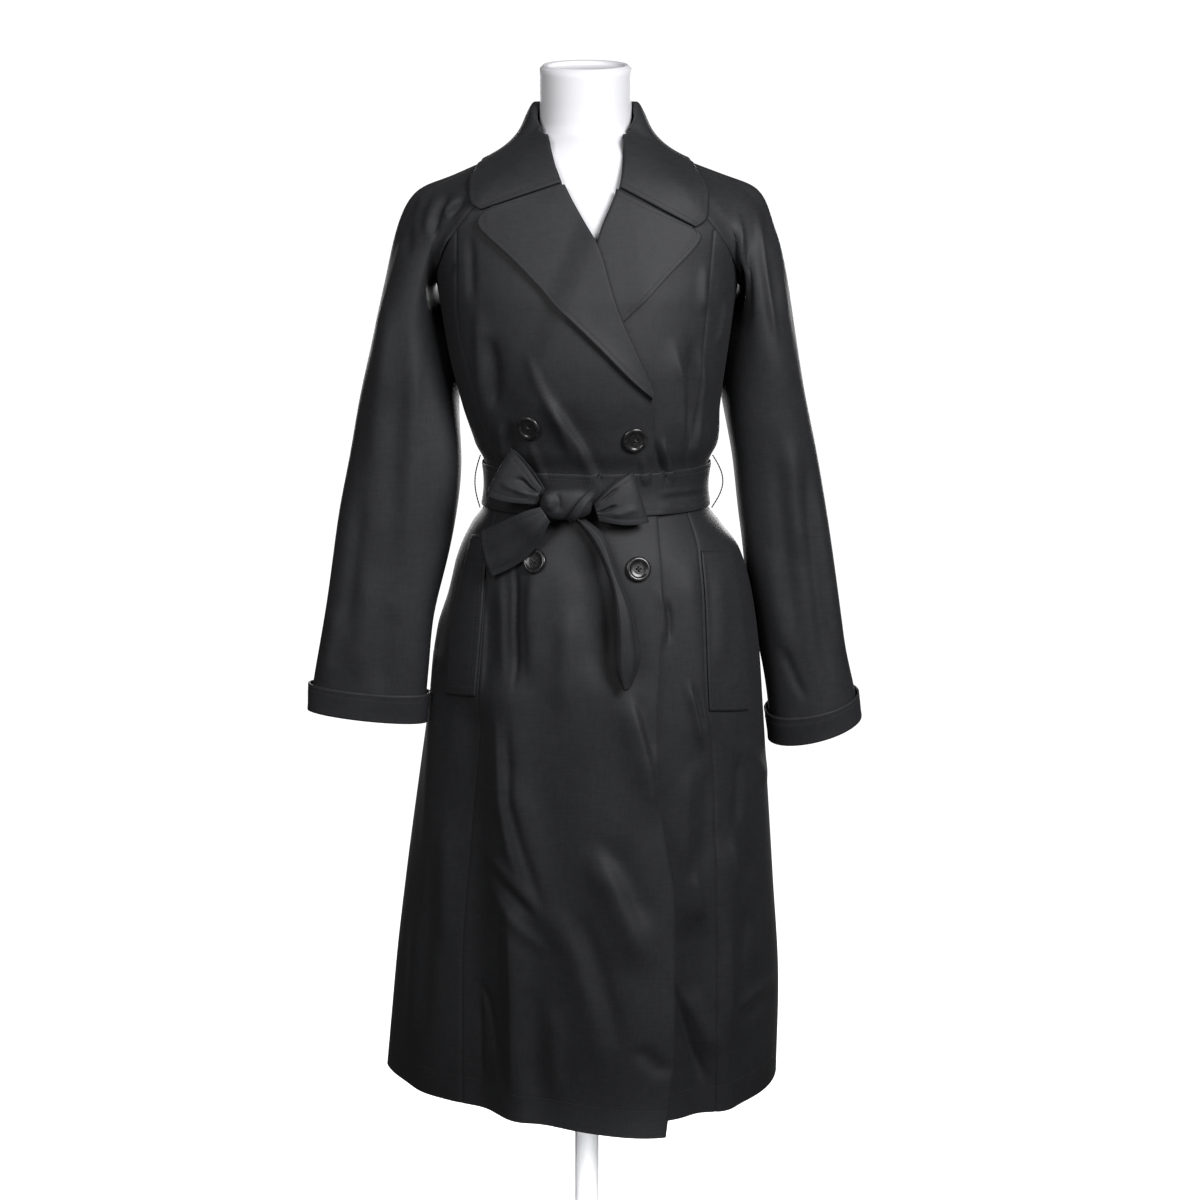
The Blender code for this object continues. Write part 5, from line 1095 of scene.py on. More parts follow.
def add_mesh(name, points, faces, surface):
    """An object of points and faces, smooth shaded, with one material."""
    mesh = bpy.data.meshes.new(name)
    mesh.from_pydata(np.asarray(points, float).tolist(), [], faces)
    mesh.validate()
    made = bpy.data.objects.new(name, mesh)
    bpy.context.scene.collection.objects.link(made)
    mesh.materials.append(surface)
    mesh.shade_smooth()
    return made


def grid_quads(rows, columns, closed=False):
    """Corner numbers of a grid's cells, shaped rows by columns by four."""
    r = np.arange(rows - 1)[:, None]
    c = np.arange(columns if closed else columns - 1)[None, :]
    d = (c + 1) % columns
    a, b = r * columns + c, r * columns + d
    return np.stack((a, b, b + columns, a + columns), axis=-1)


def wall(name, outer, inner, surface, closed=False, keep=None):
    """A cloth wall between two matching grids of points; keep masks the cells that are made."""
    outer, inner = np.asarray(outer, float), np.asarray(inner, float)
    rows, columns = outer.shape[:2]
    quads = grid_quads(rows, columns, closed)
    if keep is None:
        keep = np.ones(quads.shape[:2], bool)
    cells = quads[keep]
    half = rows * columns
    starts = cells.ravel()
    ends = np.roll(cells, -1, axis=1).ravel()
    code, back = starts.astype(np.int64) * half + ends, ends.astype(np.int64) * half + starts
    open_edge = ~np.isin(code, back)
    a, b = starts[open_edge], ends[open_edge]
    sides = np.stack((b, a, half + a, half + b), axis=1)
    faces = np.concatenate((cells, half + cells[:, ::-1], sides))
    points = np.concatenate((outer.reshape(-1, 3), inner.reshape(-1, 3)))
    used, faces = np.unique(faces, return_inverse=True)
    faces = faces.reshape(-1, 4)
    points = points[used]
    p = points[faces]
    volume = np.einsum("ij,ij->i", p[:, 0], np.cross(p[:, 1], p[:, 2])
                       + np.cross(p[:, 2], p[:, 3])).sum()
    if volume < 0:
        faces = faces[:, ::-1]
    return add_mesh(name, points, faces.tolist(), surface)


def declare_sheet(grid, closed=False):
    """Works out the cut of a piece of cloth: the rectangle round it, and its own area, which are not
    kept.
    """
    grid = closed_up(grid) if closed else grid
    across = np.linalg.norm(np.diff(grid, axis=1), axis=2).sum(axis=1)
    up = np.linalg.norm(np.diff(grid, axis=0), axis=2).sum(axis=0)
    p, q = grid[1:, 1:] - grid[:-1, :-1], grid[1:, :-1] - grid[:-1, 1:]
    area = 0.5 * np.linalg.norm(np.cross(p, q), axis=2).sum()
    width, length = round(float(across.max()), 3), round(float(up.max()), 3)
    least, most = LEAST_AREA_SHARE * width * length, MOST_AREA_SHARE * width * length
    area = round(float(min(max(area, least), most)), 4)


def cloth_piece(node, outer, inner, cut=None, closed=False, keep=None):
    """The fine cloth wall that stands for a solid; its cut is worked out from its outer grid but not
    kept.
    """
    piece = wall("coat_" + node, outer, inner, TWILL, closed, keep)
    ride(piece, "coat_cloth", node)
    declare_sheet(outer if cut is None else cut, closed)


def ring_mesh(name, rings, surface):
    """A closed lump from rings of points with one pole point at each end."""
    rings, sides = np.asarray(rings, float), len(rings[0])
    points = np.concatenate(([rings[0].mean(axis=0)], rings.reshape(-1, 3), [rings[-1].mean(axis=0)]))
    faces = [(0, 1 + (k + 1) % sides, 1 + k) for k in range(sides)]
    body = grid_quads(len(rings), sides, closed=True).reshape(-1, 4) + 1
    faces += body.tolist()
    top, last = len(points) - 1, 1 + (len(rings) - 1) * sides
    faces += [(last + k, last + (k + 1) % sides, top) for k in range(sides)]
    total = 0.0
    for face in faces:
        p = points[list(face)]
        for j in range(1, len(face) - 1):
            total += np.dot(p[0], np.cross(p[j], p[j + 1]))
    if total < 0:
        faces = [tuple(reversed(face)) for face in faces]
    return add_mesh(name, points, faces, surface)


def tree_of_grids(grids):
    """A search tree over outer grids of points."""
    points, faces, start = [], [], 0
    for grid, closed in grids:
        rows, columns = grid.shape[:2]
        quads = grid_quads(rows, columns, closed).reshape(-1, 4) + start
        faces += quads[:, (0, 1, 2)].tolist() + quads[:, (0, 2, 3)].tolist()
        points.append(grid.reshape(-1, 3))
        start += rows * columns
    return BVHTree.FromPolygons(np.concatenate(points).tolist(), faces)


def settle(points, node):
    """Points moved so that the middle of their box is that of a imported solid's box."""
    points = np.asarray(points, float)
    flat = points.reshape(-1, 3)
    low, high = (np.array(corner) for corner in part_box(node))
    return points + 0.5 * (low + high) - 0.5 * (flat.min(axis=0) + flat.max(axis=0))


# ---------------------------------------------------------------- panels of the body
def raglan_angle(z, side, face):
    """Angle of the raglan seam; below the armpit it is the side seam."""
    table = FRONT_RAGLAN if face == "front" else BACK_RAGLAN
    first = YOKE_ROWS[0]
    above = np.maximum(z, first)
    seam = angle_at(section(above)["centre_x"] + side * curve(table, above), above, face)
    t = np.clip((z - ARMPIT_Z) / (first - ARMPIT_Z), 0.0, 1.0)
    return side * math.pi / 2 * (1 - t) + seam * t


def panel_seam_angle(z, side):
    """Angle of the seam between a centre front and its side front, or of the raglan above it."""
    angle = angle_at(curve(RIGHT_PANEL_SEAM if side < 0 else LEFT_PANEL_SEAM, z), z)
    raglan = raglan_angle(z, side, "front")
    low = side * np.minimum(np.abs(angle), np.abs(raglan) - PANEL_TIP_ANGLE)
    return np.where(z > PANEL_TIP_Z, raglan, np.where(z < ARMPIT_Z, angle, low))


def right_edge_angle(z):
    """Angle of the right front's free edge: the lapped edge, then the lapel's roll line."""
    return angle_at(np.where(z < BREAK_Z, curve(RIGHT_EDGE, z), curve(RIGHT_ROLL, z)), z)


def left_edge_angle(z):
    """Angle of the left front's hidden edge, then of its roll line."""
    return angle_at(np.where(z < BREAK_Z, curve(LEFT_EDGE, z), curve(LEFT_ROLL, z)), z)


def right_lap_start(z):
    """Where the right front begins to cover the left one, or a fair share of it above that."""
    edge, seam = right_edge_angle(z), panel_seam_angle(z, -1)
    return np.minimum(left_edge_angle(z), edge - (edge - seam) * LEAST_LAP_SHARE)


def left_lap_end(z):
    """Where the left front comes out from under the right one, or a fair share above that."""
    edge, seam = left_edge_angle(z), panel_seam_angle(z, 1)
    return np.maximum(right_edge_angle(z), edge + (seam - edge) * LEAST_LAP_SHARE)


def back_end_angle(z):
    """Angle of the back's edge on the wearer's right, counted on past the centre back."""
    return raglan_angle(z, -1, "back") + 2 * math.pi


def outward_normals(grid):
    """Normals of a panel's grid, turned away from the upright axis through the origin."""
    normals = grid_normals(grid)
    away = grid * np.array((1.0, 1.0, 0.0))
    return -normals if np.sum(normals * away) < 0 else normals


def panel(top, edges, counts, lapped=False):
    """Outer points and normals of a panel, in rows up it, with its side edges turned down.

    The edges are functions that give angles from heights; the counts are of columns between them.
    """
    low = HEM_Z + np.array((0.0,) + EDGE_STEPS)
    fine = np.linspace(low[-1] + ROW_STEP, NECK_Z, 1 + round((NECK_Z - low[-1]) / ROW_STEP))
    rows = np.concatenate((low, fine))
    rows = np.append(rows[rows < top - LEAST_ROW_SHARE * ROW_STEP], top)
    size = section(rows)
    radius = 0.5 * (size["half_width"] + size["front"])
    ends = [angle_of(rows) for angle_of in edges]
    ends[0] = ends[0] - SEAM_TOUCH / radius
    ends[-1] = ends[-1] + SEAM_TOUCH / radius
    columns = []
    for first, last, count in zip(ends, ends[1:], counts):
        columns += [first + (last - first) * k / count for k in range(count)]
    columns.append(ends[-1])
    start, end = columns[0], columns[-1]
    head = [start + (columns[1] - start) * share for share in EDGE_SHARES]
    tail = [end + (columns[-2] - end) * share for share in EDGE_SHARES]
    angles = np.stack([start] + head + columns[1:-1] + tail[::-1] + [end], axis=1)
    grid = coat(angles, rows[:, None], lapped)
    normals = outward_normals(grid)
    dip = sum(edge_dip(away, SEAM_DIP, SEAM_DIP_WIDTH) for away in along_rows(grid))
    from_hem_stitch = grid[..., 2] - HEM_Z - HEM_FOLD
    dip = dip + edge_dip(from_hem_stitch, HEM_STITCH_DIP, STITCH_DIP_WIDTH)
    return grid + normals * dip[..., None], normals


def make_panels():
    """Both centre fronts, both side fronts and the back; gives their outer points by name."""
    side = {s: functools.partial(raglan_angle, side=s, face="front") for s in (-1, 1)}
    seam = {s: functools.partial(panel_seam_angle, side=s) for s in (-1, 1)}
    back_start = functools.partial(raglan_angle, side=1, face="back")
    made = {
        "front_right": panel(NECK_Z, (seam[-1], right_lap_start, right_edge_angle),
                             RIGHT_FRONT_COLUMNS, lapped=True),
        "front_left": panel(NECK_Z, (left_edge_angle, left_lap_end, seam[1]), LEFT_FRONT_COLUMNS),
        "side_front_right": panel(PANEL_TIP_Z, (side[-1], seam[-1]), SIDE_FRONT_COLUMNS),
        "side_front_left": panel(PANEL_TIP_Z, (seam[1], side[1]), SIDE_FRONT_COLUMNS),
        "back": panel(NECK_Z, (back_start, back_end_angle), BACK_COLUMNS),
    }
    for node, (grid, normals) in made.items():
        cloth_piece(node, grid, grid - normals * WALL)
    return {node: grid for node, (grid, _) in made.items()}


# ---------------------------------------------------------------- sleeves
def seam_places(side, parts):
    """Angles and heights round the loop that a sleeve is sewn to, with each step cut in parts."""
    neck = side * math.pi / 2
    heights = ([NECK_Z] + list(reversed(YOKE_ROWS)) + [ARMPIT_Z] + list(YOKE_ROWS) + [NECK_Z])
    at = np.arange(0, (len(heights) - 1) * parts) / parts
    z = np.interp(at, np.arange(len(heights)), heights)
    half = len(YOKE_ROWS) + 1
    front, back = raglan_angle(z, side, "front"), raglan_angle(z, side, "back")
    angles = np.where(at <= half, front, back)
    last = len(heights) - 2
    neck_front = float(raglan_angle(np.array(NECK_Z), side, "front"))
    neck_back = float(raglan_angle(np.array(NECK_Z), side, "back"))
    angles = np.where(at < 1, neck + (neck_front - neck) * at, angles)
    angles = np.where(at > last, neck_back + (neck - neck_back) * (at - last), angles)
    return angles, z


def sleeve_seam(side, parts=1):
    """The loop that a sleeve is sewn to: places, directions away from it, and arm angles."""
    angles, z = seam_places(side, parts)
    arm = round_angles(len(z))
    places = coat(angles, z)
    under = ease((-np.cos(arm) - UNDERARM_START) / (1 - UNDERARM_START))[:, None]
    normal = unit(coat_normal(angles, z) * (1 - under) + np.array((0.0, 0.0, -1.0)) * under)
    along = np.roll(places, -1, axis=0) - np.roll(places, 1, axis=0)
    away = unit(np.cross(normal, along) * side)
    return places + away * SLEEVE_SEAM_GAP, away, arm


def arm_point(table, z, arm_angle, side):
    """Points of the sleeve below its head: arm angle 0 is outermost, 90 degrees is the front."""
    sizes = {name: curve(column(table, i + 1), z) for i, name in enumerate(SLEEVE_NAMES)}
    middle = 0.5 * (sizes["outer"] + sizes["inner"])
    half = 0.5 * (sizes["outer"] - sizes["inner"])
    gap = turn(arm_angle - math.radians(CREASE_ANGLE)) / math.radians(CREASE_SPREAD)
    swell = 1 + sizes["crease"] / half * np.exp(-gap * gap)
    x = middle + half * np.cos(arm_angle) * swell
    y = sizes["centre_y"] - sizes["half_depth"] * np.sin(arm_angle) * swell
    rise = sizes["tilt"] * (x - middle) + sizes["lean"] * (y - sizes["centre_y"])
    return np.stack((side * x, y, z + rise), axis=-1)


def head_row(share, seam, ring, below):
    """Points of the sleeve's head, a share of the way from its seam to the first arm ring."""
    places, away, arm = seam
    rise = share * share * (3 - 2 * share)
    reach = np.linalg.norm(ring - places, axis=1, keepdims=True)
    over = np.maximum(0.0, np.cos(arm))[:, None]
    start = away * reach * blend(HEAD_START_PULL, over)
    end = unit(below - ring) * reach * blend(HEAD_END_PULL, over)
    return (places * (1 - rise) + ring * rise + start * share * (1 - share) ** 2
            - end * share * share * (1 - share))


def coarse_sleeve(table, side):
    """Rows of points from the raglan seam down to the cuff, as in the solid."""
    seam = sleeve_seam(side)
    arm = seam[-1]
    heights = [row[0] for row in reversed(table)]
    ring = arm_point(table, heights[0], arm, side)
    below = arm_point(table, heights[0] - ARM_STEP, arm, side)
    grid = [head_row(0.0, seam, ring, below)]
    over = (np.maximum(0.0, np.cos(arm)) ** SHOULDER_SPREAD)[:, None]
    for share, right_x, left_x, z in SHOULDER_LINES:
        row = head_row(share, seam, ring, below)
        ridge = np.array((left_x if side > 0 else -right_x, row[0][1], z))
        across = row - row[0]
        drop = across[:, 1] ** 2 / (2 * SHOULDER_ROUNDNESS)
        arch = ridge + np.stack((across[:, 0], across[:, 1], -drop), axis=1)
        grid.append(row * (1 - over) + arch * over)
    head_rows = len(grid)
    grid += [arm_point(table, z, arm, side) for z in heights]
    grid = np.array(grid)
    for _ in range(HEAD_SMOOTHINGS):
        head = grid[1:head_rows]
        around = (grid[:head_rows - 1] + grid[2:head_rows + 1]
                  + np.roll(head, 1, axis=1) + np.roll(head, -1, axis=1)) / 4
        head[:, 1:] = 0.5 * (head + around)[:, 1:]
    return grid


def sleeve_normals(grid, side):
    """Outward normals of a sleeve's tube."""
    return facing(grid_normals(grid, closed=True), (-3, 0), (side, 0, 0))


def fine_sleeve(table, side):
    """Points and normals of a sleeve, its first row exactly on the raglan seam."""
    coarse = coarse_sleeve(table, side)
    count = coarse.shape[1]
    around = spline(np.arange(count + 1), np.arange(0, count, 1 / SLEEVE_PARTS), closed=True)
    grid = np.einsum("fc,rcx->rfx", around, coarse)
    knots = chord_knots(grid, 0)
    rows = np.linspace(EDGE_STEPS[-1] + SLEEVE_ROW_STEP, knots[-1],
                       1 + round(knots[-1] / SLEEVE_ROW_STEP))
    at = np.concatenate(((0.0,), EDGE_STEPS, rows))
    grid = np.einsum("fr,rcx->fcx", spline(knots, at), grid)
    exact = sleeve_seam(side, SLEEVE_PARTS)[0]
    fade = 1 - ease(at / SEAM_MEND)
    grid = grid + (exact - grid[0])[None] * fade[:, None, None]
    arm = round_angles(grid.shape[1])[None, :]
    for who, height, half_height, aim, spread, push in SLEEVE_TUCKS:
        if who == side:
            off = turn(arm - math.radians(aim)) / math.radians(spread)
            reach = np.exp(-((grid[..., 2] - height) / half_height) ** 2 - off ** 2)
            grid[..., 0] -= side * push * reach
    normals = sleeve_normals(grid, side)
    x, z = grid[..., 0], grid[..., 2]
    lift = edge_dip(at, SEAM_DIP, SEAM_DIP_WIDTH)[:, None]
    for creases, towards in ((ARM_CREASES, -1), (REAR_ARM_CREASES, 1)):
        shown = np.clip(towards * normals[..., 1] * FACING_SHARPNESS, 0, 1)
        lift = lift + crease_height(creases, x, z) * shown
    grid = grid + normals * lift[..., None]
    return grid, sleeve_normals(grid, side)


def ring_outward(ring):
    """Outward directions in plan of a closed ring of points."""
    along = np.roll(ring, -1, axis=0) - np.roll(ring, 1, axis=0)
    out = unit(np.stack((along[:, 1], -along[:, 0], np.zeros(len(ring))), axis=1))
    flip = np.sign(np.sum(out * (ring - ring.mean(axis=0)), axis=1))
    return out * flip[:, None]


def make_sleeve(word, side, table):
    """One sleeve and its turned-up cuff; gives the outer points of both."""
    grid, normals = fine_sleeve(table, side)
    cloth_piece("sleeve_" + word, grid, grid - normals * WALL, closed=True)

    bottom = table[0][0]
    angles = round_angles(CUFF_COLUMNS)
    outer, inner = [], []
    steps = np.linspace(CUFF_FIRST_ROW, CUFF_HEIGHT, CUFF_ROWS)
    for step in np.concatenate(((CUFF_RINGS[0][0], 0.0, CUFF_EDGE_ROW), steps)):
        ring = arm_point(table, bottom + max(step, 0.0), angles, side)
        ring[:, 2] += min(step, 0.0)
        out = ring_outward(ring)
        wave = CUFF_WAVE * np.cos(CUFF_WAVES * angles + 1.0 + side) * ease(step / CUFF_HEIGHT)
        near = CUFF_STAND_OFF + curve(CUFF_RINGS, step) + np.maximum(wave, 0.0)
        far = near + DOUBLE_WALL + stitch_dip(step - CUFF_STITCH)
        inner.append(ring + out * near[:, None])
        outer.append(ring + out * far[:, None])
    outer = np.array(outer)
    cloth_piece("cuff_" + word, outer, inner, closed=True)
    return grid, outer


# ---------------------------------------------------------------- lapels and collar
def between(lines, shares):
    """The x and the z at shares of the way along lines, each given by x, z, x and z."""
    return (lines[:, k:k + 1] + (lines[:, k + 2:k + 3] - lines[:, k:k + 1]) * shares
            for k in (0, 1))


def make_lapel(word, table, lapped):
    """A lapel: it rolls over its front's edge and lies on it out to its own edge."""
    table = np.array(table)
    knots = run_lengths(table[:, 2:])
    count = 1 + round(knots[-1] / LAPEL_ROW_STEP)
    lines = spline(knots, np.linspace(0.0, knots[-1], count)) @ table
    t = np.array(LAPEL_SHARES)
    x, z = between(lines, t)
    free = 1.0 if lapped else ease((x - curve(RIGHT_ROLL, z) - COVER_MARGIN) / COVER_EASE)
    rise = LAYER_GAP + LAPEL_EDGE_RISE * t * t * free
    angle = angle_at(x, z)
    base = coat(angle, z, lapped)
    normal = coat_normal(angle, z, lapped)
    from_edge = along_rows(base)[1]
    dip = stitch_dip(from_edge - EDGE_STITCH) + edge_dip(from_edge, *CUT_EDGE)
    outer = base + normal * (rise + DOUBLE_WALL + dip)[..., None]
    inner = base + normal * rise[..., None]
    # The roll: cloth from the front's inside turns over its edge into the lapel.
    away = unit(base[:, 0] - base[:, 3])
    top, low = LAYER_GAP + DOUBLE_WALL, -(WALL + ROLL_INSIDE_GAP)
    radius, middle = 0.5 * (top - low), 0.5 * (top + low)
    wraps = np.radians(np.linspace(*LAPEL_ROLL_ANGLES, LAPEL_ROLL_COLUMNS))
    roll_out, roll_in = (
        np.stack([base[:, 0] + away * r * math.cos(a) + normal[:, 0] * (middle + r * math.sin(a))
                  for a in wraps], axis=1)
        for r in (radius, radius - ROLL_WALL))
    outer = np.concatenate((roll_out, outer), axis=1)
    inner = np.concatenate((roll_in, inner), axis=1)
    cloth_piece("lapel_" + word, outer, inner)
    return outer


def stand_line(row, side, tree):
    """Points of the collar where it has a stand: up from the neck, over the roll and down."""
    size = dict(zip(STAND_NAMES, row))
    angle = side * (math.pi - math.radians(size["angle"]))
    up = np.array((0.0, 0.0, 1.0))
    outward = np.array((math.sin(angle), -math.cos(angle), 0.0))
    seam = plain_point(angle, NECK_Z) - outward * WALL + up * REST_GAP
    radius = min(COLLAR_ROLL_RADIUS, COLLAR_ROLL_SHARE * size["stand"])
    top = seam + up * size["stand"] - outward * size["lean"]
    before = top - up * radius
    over = before + outward * 2 * radius
    guess = np.array((side * size["edge_x"], size["edge_y"], size["edge_z"]))
    place, normal, _, _ = tree.find_nearest(Vector(guess))
    edge = np.array(place + normal * (COLLAR_CLEARANCE + DOUBLE_WALL))
    line = [seam, 0.5 * (seam + before), before, top + outward * radius, over]
    for k in range(1, COLLAR_FALL_ROWS + 1):
        t = k / COLLAR_FALL_ROWS
        line.append(over * (1 - t) + edge * t - up * size["sag"] * math.sin(math.pi * t ** SAG_SKEW))
    return np.array(line)


def collar_front_line(row, roll, lapped, tree):
    """Points of the collar where it only lies on the front, from the roll line to its edge."""
    size = dict(zip(COLLAR_FRONT_NAMES, row))
    roll_x = float(curve(roll, size["roll_z"]))
    distance = COLLAR_CLEARANCE + DOUBLE_WALL
    line = [coat(angle_at(roll_x, size["roll_z"]), size["roll_z"], lapped, distance)]
    for k in range(1, COLLAR_FALL_ROWS + 1):
        t = k / COLLAR_FALL_ROWS
        x = roll_x * (1 - t) + size["edge_x"] * t
        z = size["roll_z"] * (1 - t) + size["edge_z"] * t
        place, normal, _, _ = tree.ray_cast(Vector((x, RAY_START_Y, z)), Vector((0.0, 1.0, 0.0)))
        line.append(np.array(place + normal * distance))
    return np.array(line)


def fine_line(line):
    """A collar line on fine rows: its stand, then its fall."""
    knots = run_lengths(line)
    if len(line) == COLLAR_FALL_ROWS + 1:
        fall = spline(knots, np.linspace(0.0, knots[-1], FALL_FINE + 1)) @ line
        step = (fall[0] - fall[1]) * SPARE_ROW_SHARE
        return np.concatenate(([fall[0] + step * k for k in range(STAND_FINE, 0, -1)], fall))
    at = np.concatenate((np.linspace(0.0, knots[STAND_ROWS], STAND_FINE + 1),
                         np.linspace(knots[STAND_ROWS], knots[-1], FALL_FINE + 1)[1:]))
    return spline(knots, at) @ line


def push_clear(fall, tree):
    """Moves the collar's fall out, in place, to where it clears the cloth under it."""
    for _ in range(PUSH_ROUNDS):
        normals = facing(grid_normals(fall), (FALL_FINE // 2, fall.shape[1] // 2), (0, 1, 0))
        push = np.zeros(fall.shape[:2])
        for place_in_grid in np.ndindex(push.shape):
            point = Vector(fall[place_in_grid])
            place, normal, _, away = tree.find_nearest(point)
            short = COLLAR_CLEARANCE + DOUBLE_WALL - (point - place).dot(normal)
            if short > 0.0 and away < PUSH_REACH:
                push[place_in_grid] = short
        for _ in range(PUSH_SMOOTHINGS):
            around = push.copy()
            around[1:-1] = (push[:-2] + push[1:-1] + push[2:]) / 3
            around[:, 1:-1] = (around[:, :-2] + around[:, 1:-1] + around[:, 2:]) / 3
            push = np.maximum(push, around)
        fall += normals * push[..., None]


def make_collar(covers):
    """The collar: its stand rises from the neck seam, rolls over and falls on the shoulders."""
    tree = tree_of_grids(covers)
    lines = [collar_front_line(row, RIGHT_ROLL, True, tree) for row in RIGHT_COLLAR_FRONT[::-1]]
    lines += [stand_line(row, -1, tree) for row in COLLAR_STAND[:0:-1]]
    lines += [stand_line(row, 1, tree) for row in COLLAR_STAND]
    lines += [collar_front_line(row, LEFT_ROLL, False, tree) for row in LEFT_COLLAR_FRONT]
    lines = np.array([fine_line(line) for line in lines])
    knots = chord_knots(lines[:, COLLAR_SPACING_ROW:], 0)
    grid = np.einsum("fc,crx->rfx", spline(knots, finer(knots, COLLAR_PARTS)), lines)
    push_clear(grid[STAND_FINE:], tree)
    normals = facing(grid_normals(grid), (-4, grid.shape[1] // 2), (0, 1, 0))
    below = to_last_row(grid)
    dip = stitch_dip(below - EDGE_STITCH) + edge_dip(below, *CUT_EDGE)
    for away in along_rows(grid[STAND_FINE:]):
        dip[STAND_FINE:] += stitch_dip(away - EDGE_STITCH)
    outer = grid + normals * dip[..., None]
    keep = np.ones((grid.shape[0] - 1, grid.shape[1] - 1), bool)
    keep[:STAND_FINE, :COLLAR_PARTS * len(RIGHT_COLLAR_FRONT)] = False
    keep[:STAND_FINE, grid.shape[1] - 1 - COLLAR_PARTS * len(LEFT_COLLAR_FRONT):] = False
    cloth_piece("collar", outer, grid - normals * DOUBLE_WALL,
                keep=keep)
    return outer


# ---------------------------------------------------------------- welts, belt and bow
def make_welt(word, table):
    """A pocket welt on the side front, sewn along its seam edge and at both ends."""
    table = np.array(table)
    rows = np.linspace(0, len(table) - 1, WELT_ROWS)
    mid = np.stack([np.interp(rows, np.arange(len(table)), table[:, k]) for k in range(4)], axis=1)
    s = np.array(WELT_SHARES)
    gape = (WELT_GAPE * np.sin(math.pi * rows / rows[-1]))[:, None]
    x, z = between(mid, s)
    angle = angle_at(x, z)
    near = REST_GAP + WELT_LIFT + gape * s
    from_seam = along_rows(np.stack((x, np.zeros(x.shape), z), axis=-1))[0]
    steps = np.linalg.norm(np.diff(np.stack((x, z), axis=-1), axis=0), axis=2)
    down = np.concatenate((np.zeros((1, x.shape[1])), np.cumsum(steps, axis=0)))
    dip = stitch_dip(from_seam - WELT_SEAM_STITCH)
    for line in WELT_END_STITCHES:
        dip = dip + stitch_dip(down - line) + stitch_dip(down[-1:] - down - line)
    outer = coat(angle, z, False, near + WELT_WALL + dip)
    cloth_piece("welt_" + word, outer, coat(angle, z, False, near))
    return outer


def make_belt_band():
    """The belt round the waist, a closed band that lies on the coat."""
    inset = BELT_EDGE_ROW_STEPS[-1]
    rows = np.concatenate((BELT_BOTTOM_Z + np.array(BELT_EDGE_ROW_STEPS[:-1]),
                           np.linspace(BELT_BOTTOM_Z + inset, BELT_TOP_Z - inset, BELT_ROWS),
                           BELT_TOP_Z - np.array(BELT_EDGE_ROW_STEPS[-2::-1])))[:, None]
    angle, rows = np.broadcast_arrays((round_angles(BELT_FINE) - math.pi)[None, :], rows)
    x = plain_point(angle, rows)[..., 0]
    lift = np.where(np.abs(angle) < math.pi / 2, lap_lift(angle, rows), 0.0)
    past_edge = ease((x - curve(RIGHT_EDGE, rows)) / BELT_STEP_RUN)
    near = BELT_GAP + lift * (1 - past_edge)
    edge = np.minimum(rows - BELT_BOTTOM_Z, BELT_TOP_Z - rows)
    dip = stitch_dip(edge - EDGE_STITCH) + edge_dip(edge, *BELT_CUT_EDGE)
    ripple = crease_height(BAND_CREASES, x, rows) * (np.cos(angle) > 0)
    outer = coat(angle, rows, False, near + DOUBLE_WALL + dip + ripple)
    cloth_piece("belt_band", outer, coat(angle, rows, False, near),
                closed=True)
    return outer


def make_knot():
    """The knot: cloth wrapped round itself, with bands that cross it aslant."""
    lean = np.linspace(KNOT_END_ANGLE, math.pi - KNOT_END_ANGLE, KNOT_ROWS)[:, None]
    around = round_angles(KNOT_COLUMNS)[None, :]
    wave = np.cos(KNOT_BANDS * around + KNOT_TWIST * np.cos(lean)) * np.sin(lean)
    cross = np.sin(lean) ** KNOT_FULLNESS * (1 + KNOT_RIDGE * wave)
    along = np.sign(np.cos(lean)) * np.abs(np.cos(lean)) ** KNOT_FULLNESS
    points = np.stack(np.broadcast_arrays(along, np.cos(around) * cross, np.sin(around) * cross),
                      axis=-1)
    points = points * np.array(KNOT_HALF_SIZE)
    front = np.clip(-points[..., 1] / KNOT_HALF_SIZE[1] * 2, 0, 1)
    lift = crease_height(in_metres(KNOT_CREASES), points[..., 0], points[..., 2]) * front
    points = settle(points, "belt_knot") + unit(points) * lift[..., None]
    piece = ring_mesh("coat_belt_knot", points, TWILL)
    ride(piece, "coat_cloth", "belt_knot")


def make_wrap():
    """The part of the knot that crosses it aslant, as a flattened strap."""
    path = np.array(KNOT_WRAP)
    knots = run_lengths(path[:, :3])
    fine = spline(knots, finer(knots, WRAP_PARTS)) @ path
    line, half = fine[:, :3], fine[:, 3]
    along = unit(np.gradient(line, axis=0))
    out = np.tile((0.0, -1.0, 0.0), (len(line), 1))
    out = unit(out - along * np.sum(out * along, axis=1, keepdims=True))
    across = np.cross(along, out)
    a = round_angles(WRAP_COLUMNS)
    wide = np.sign(np.cos(a)) * np.abs(np.cos(a)) ** WRAP_ROUNDNESS
    groove = 1 - WRAP_GROOVE * np.exp(-((wide - WRAP_GROOVE_AT) / WRAP_GROOVE_WIDTH) ** 2)
    thick = np.sign(np.sin(a)) * np.abs(np.sin(a)) ** WRAP_ROUNDNESS * groove
    rings = (line[:, None] + across[:, None] * (half[:, None] * wide)[..., None]
             + out[:, None] * (WRAP_HALF_THICKNESS * thick)[None, :, None])
    piece = ring_mesh("coat_belt_wrap", rings, TWILL)
    ride(piece, "coat_cloth")


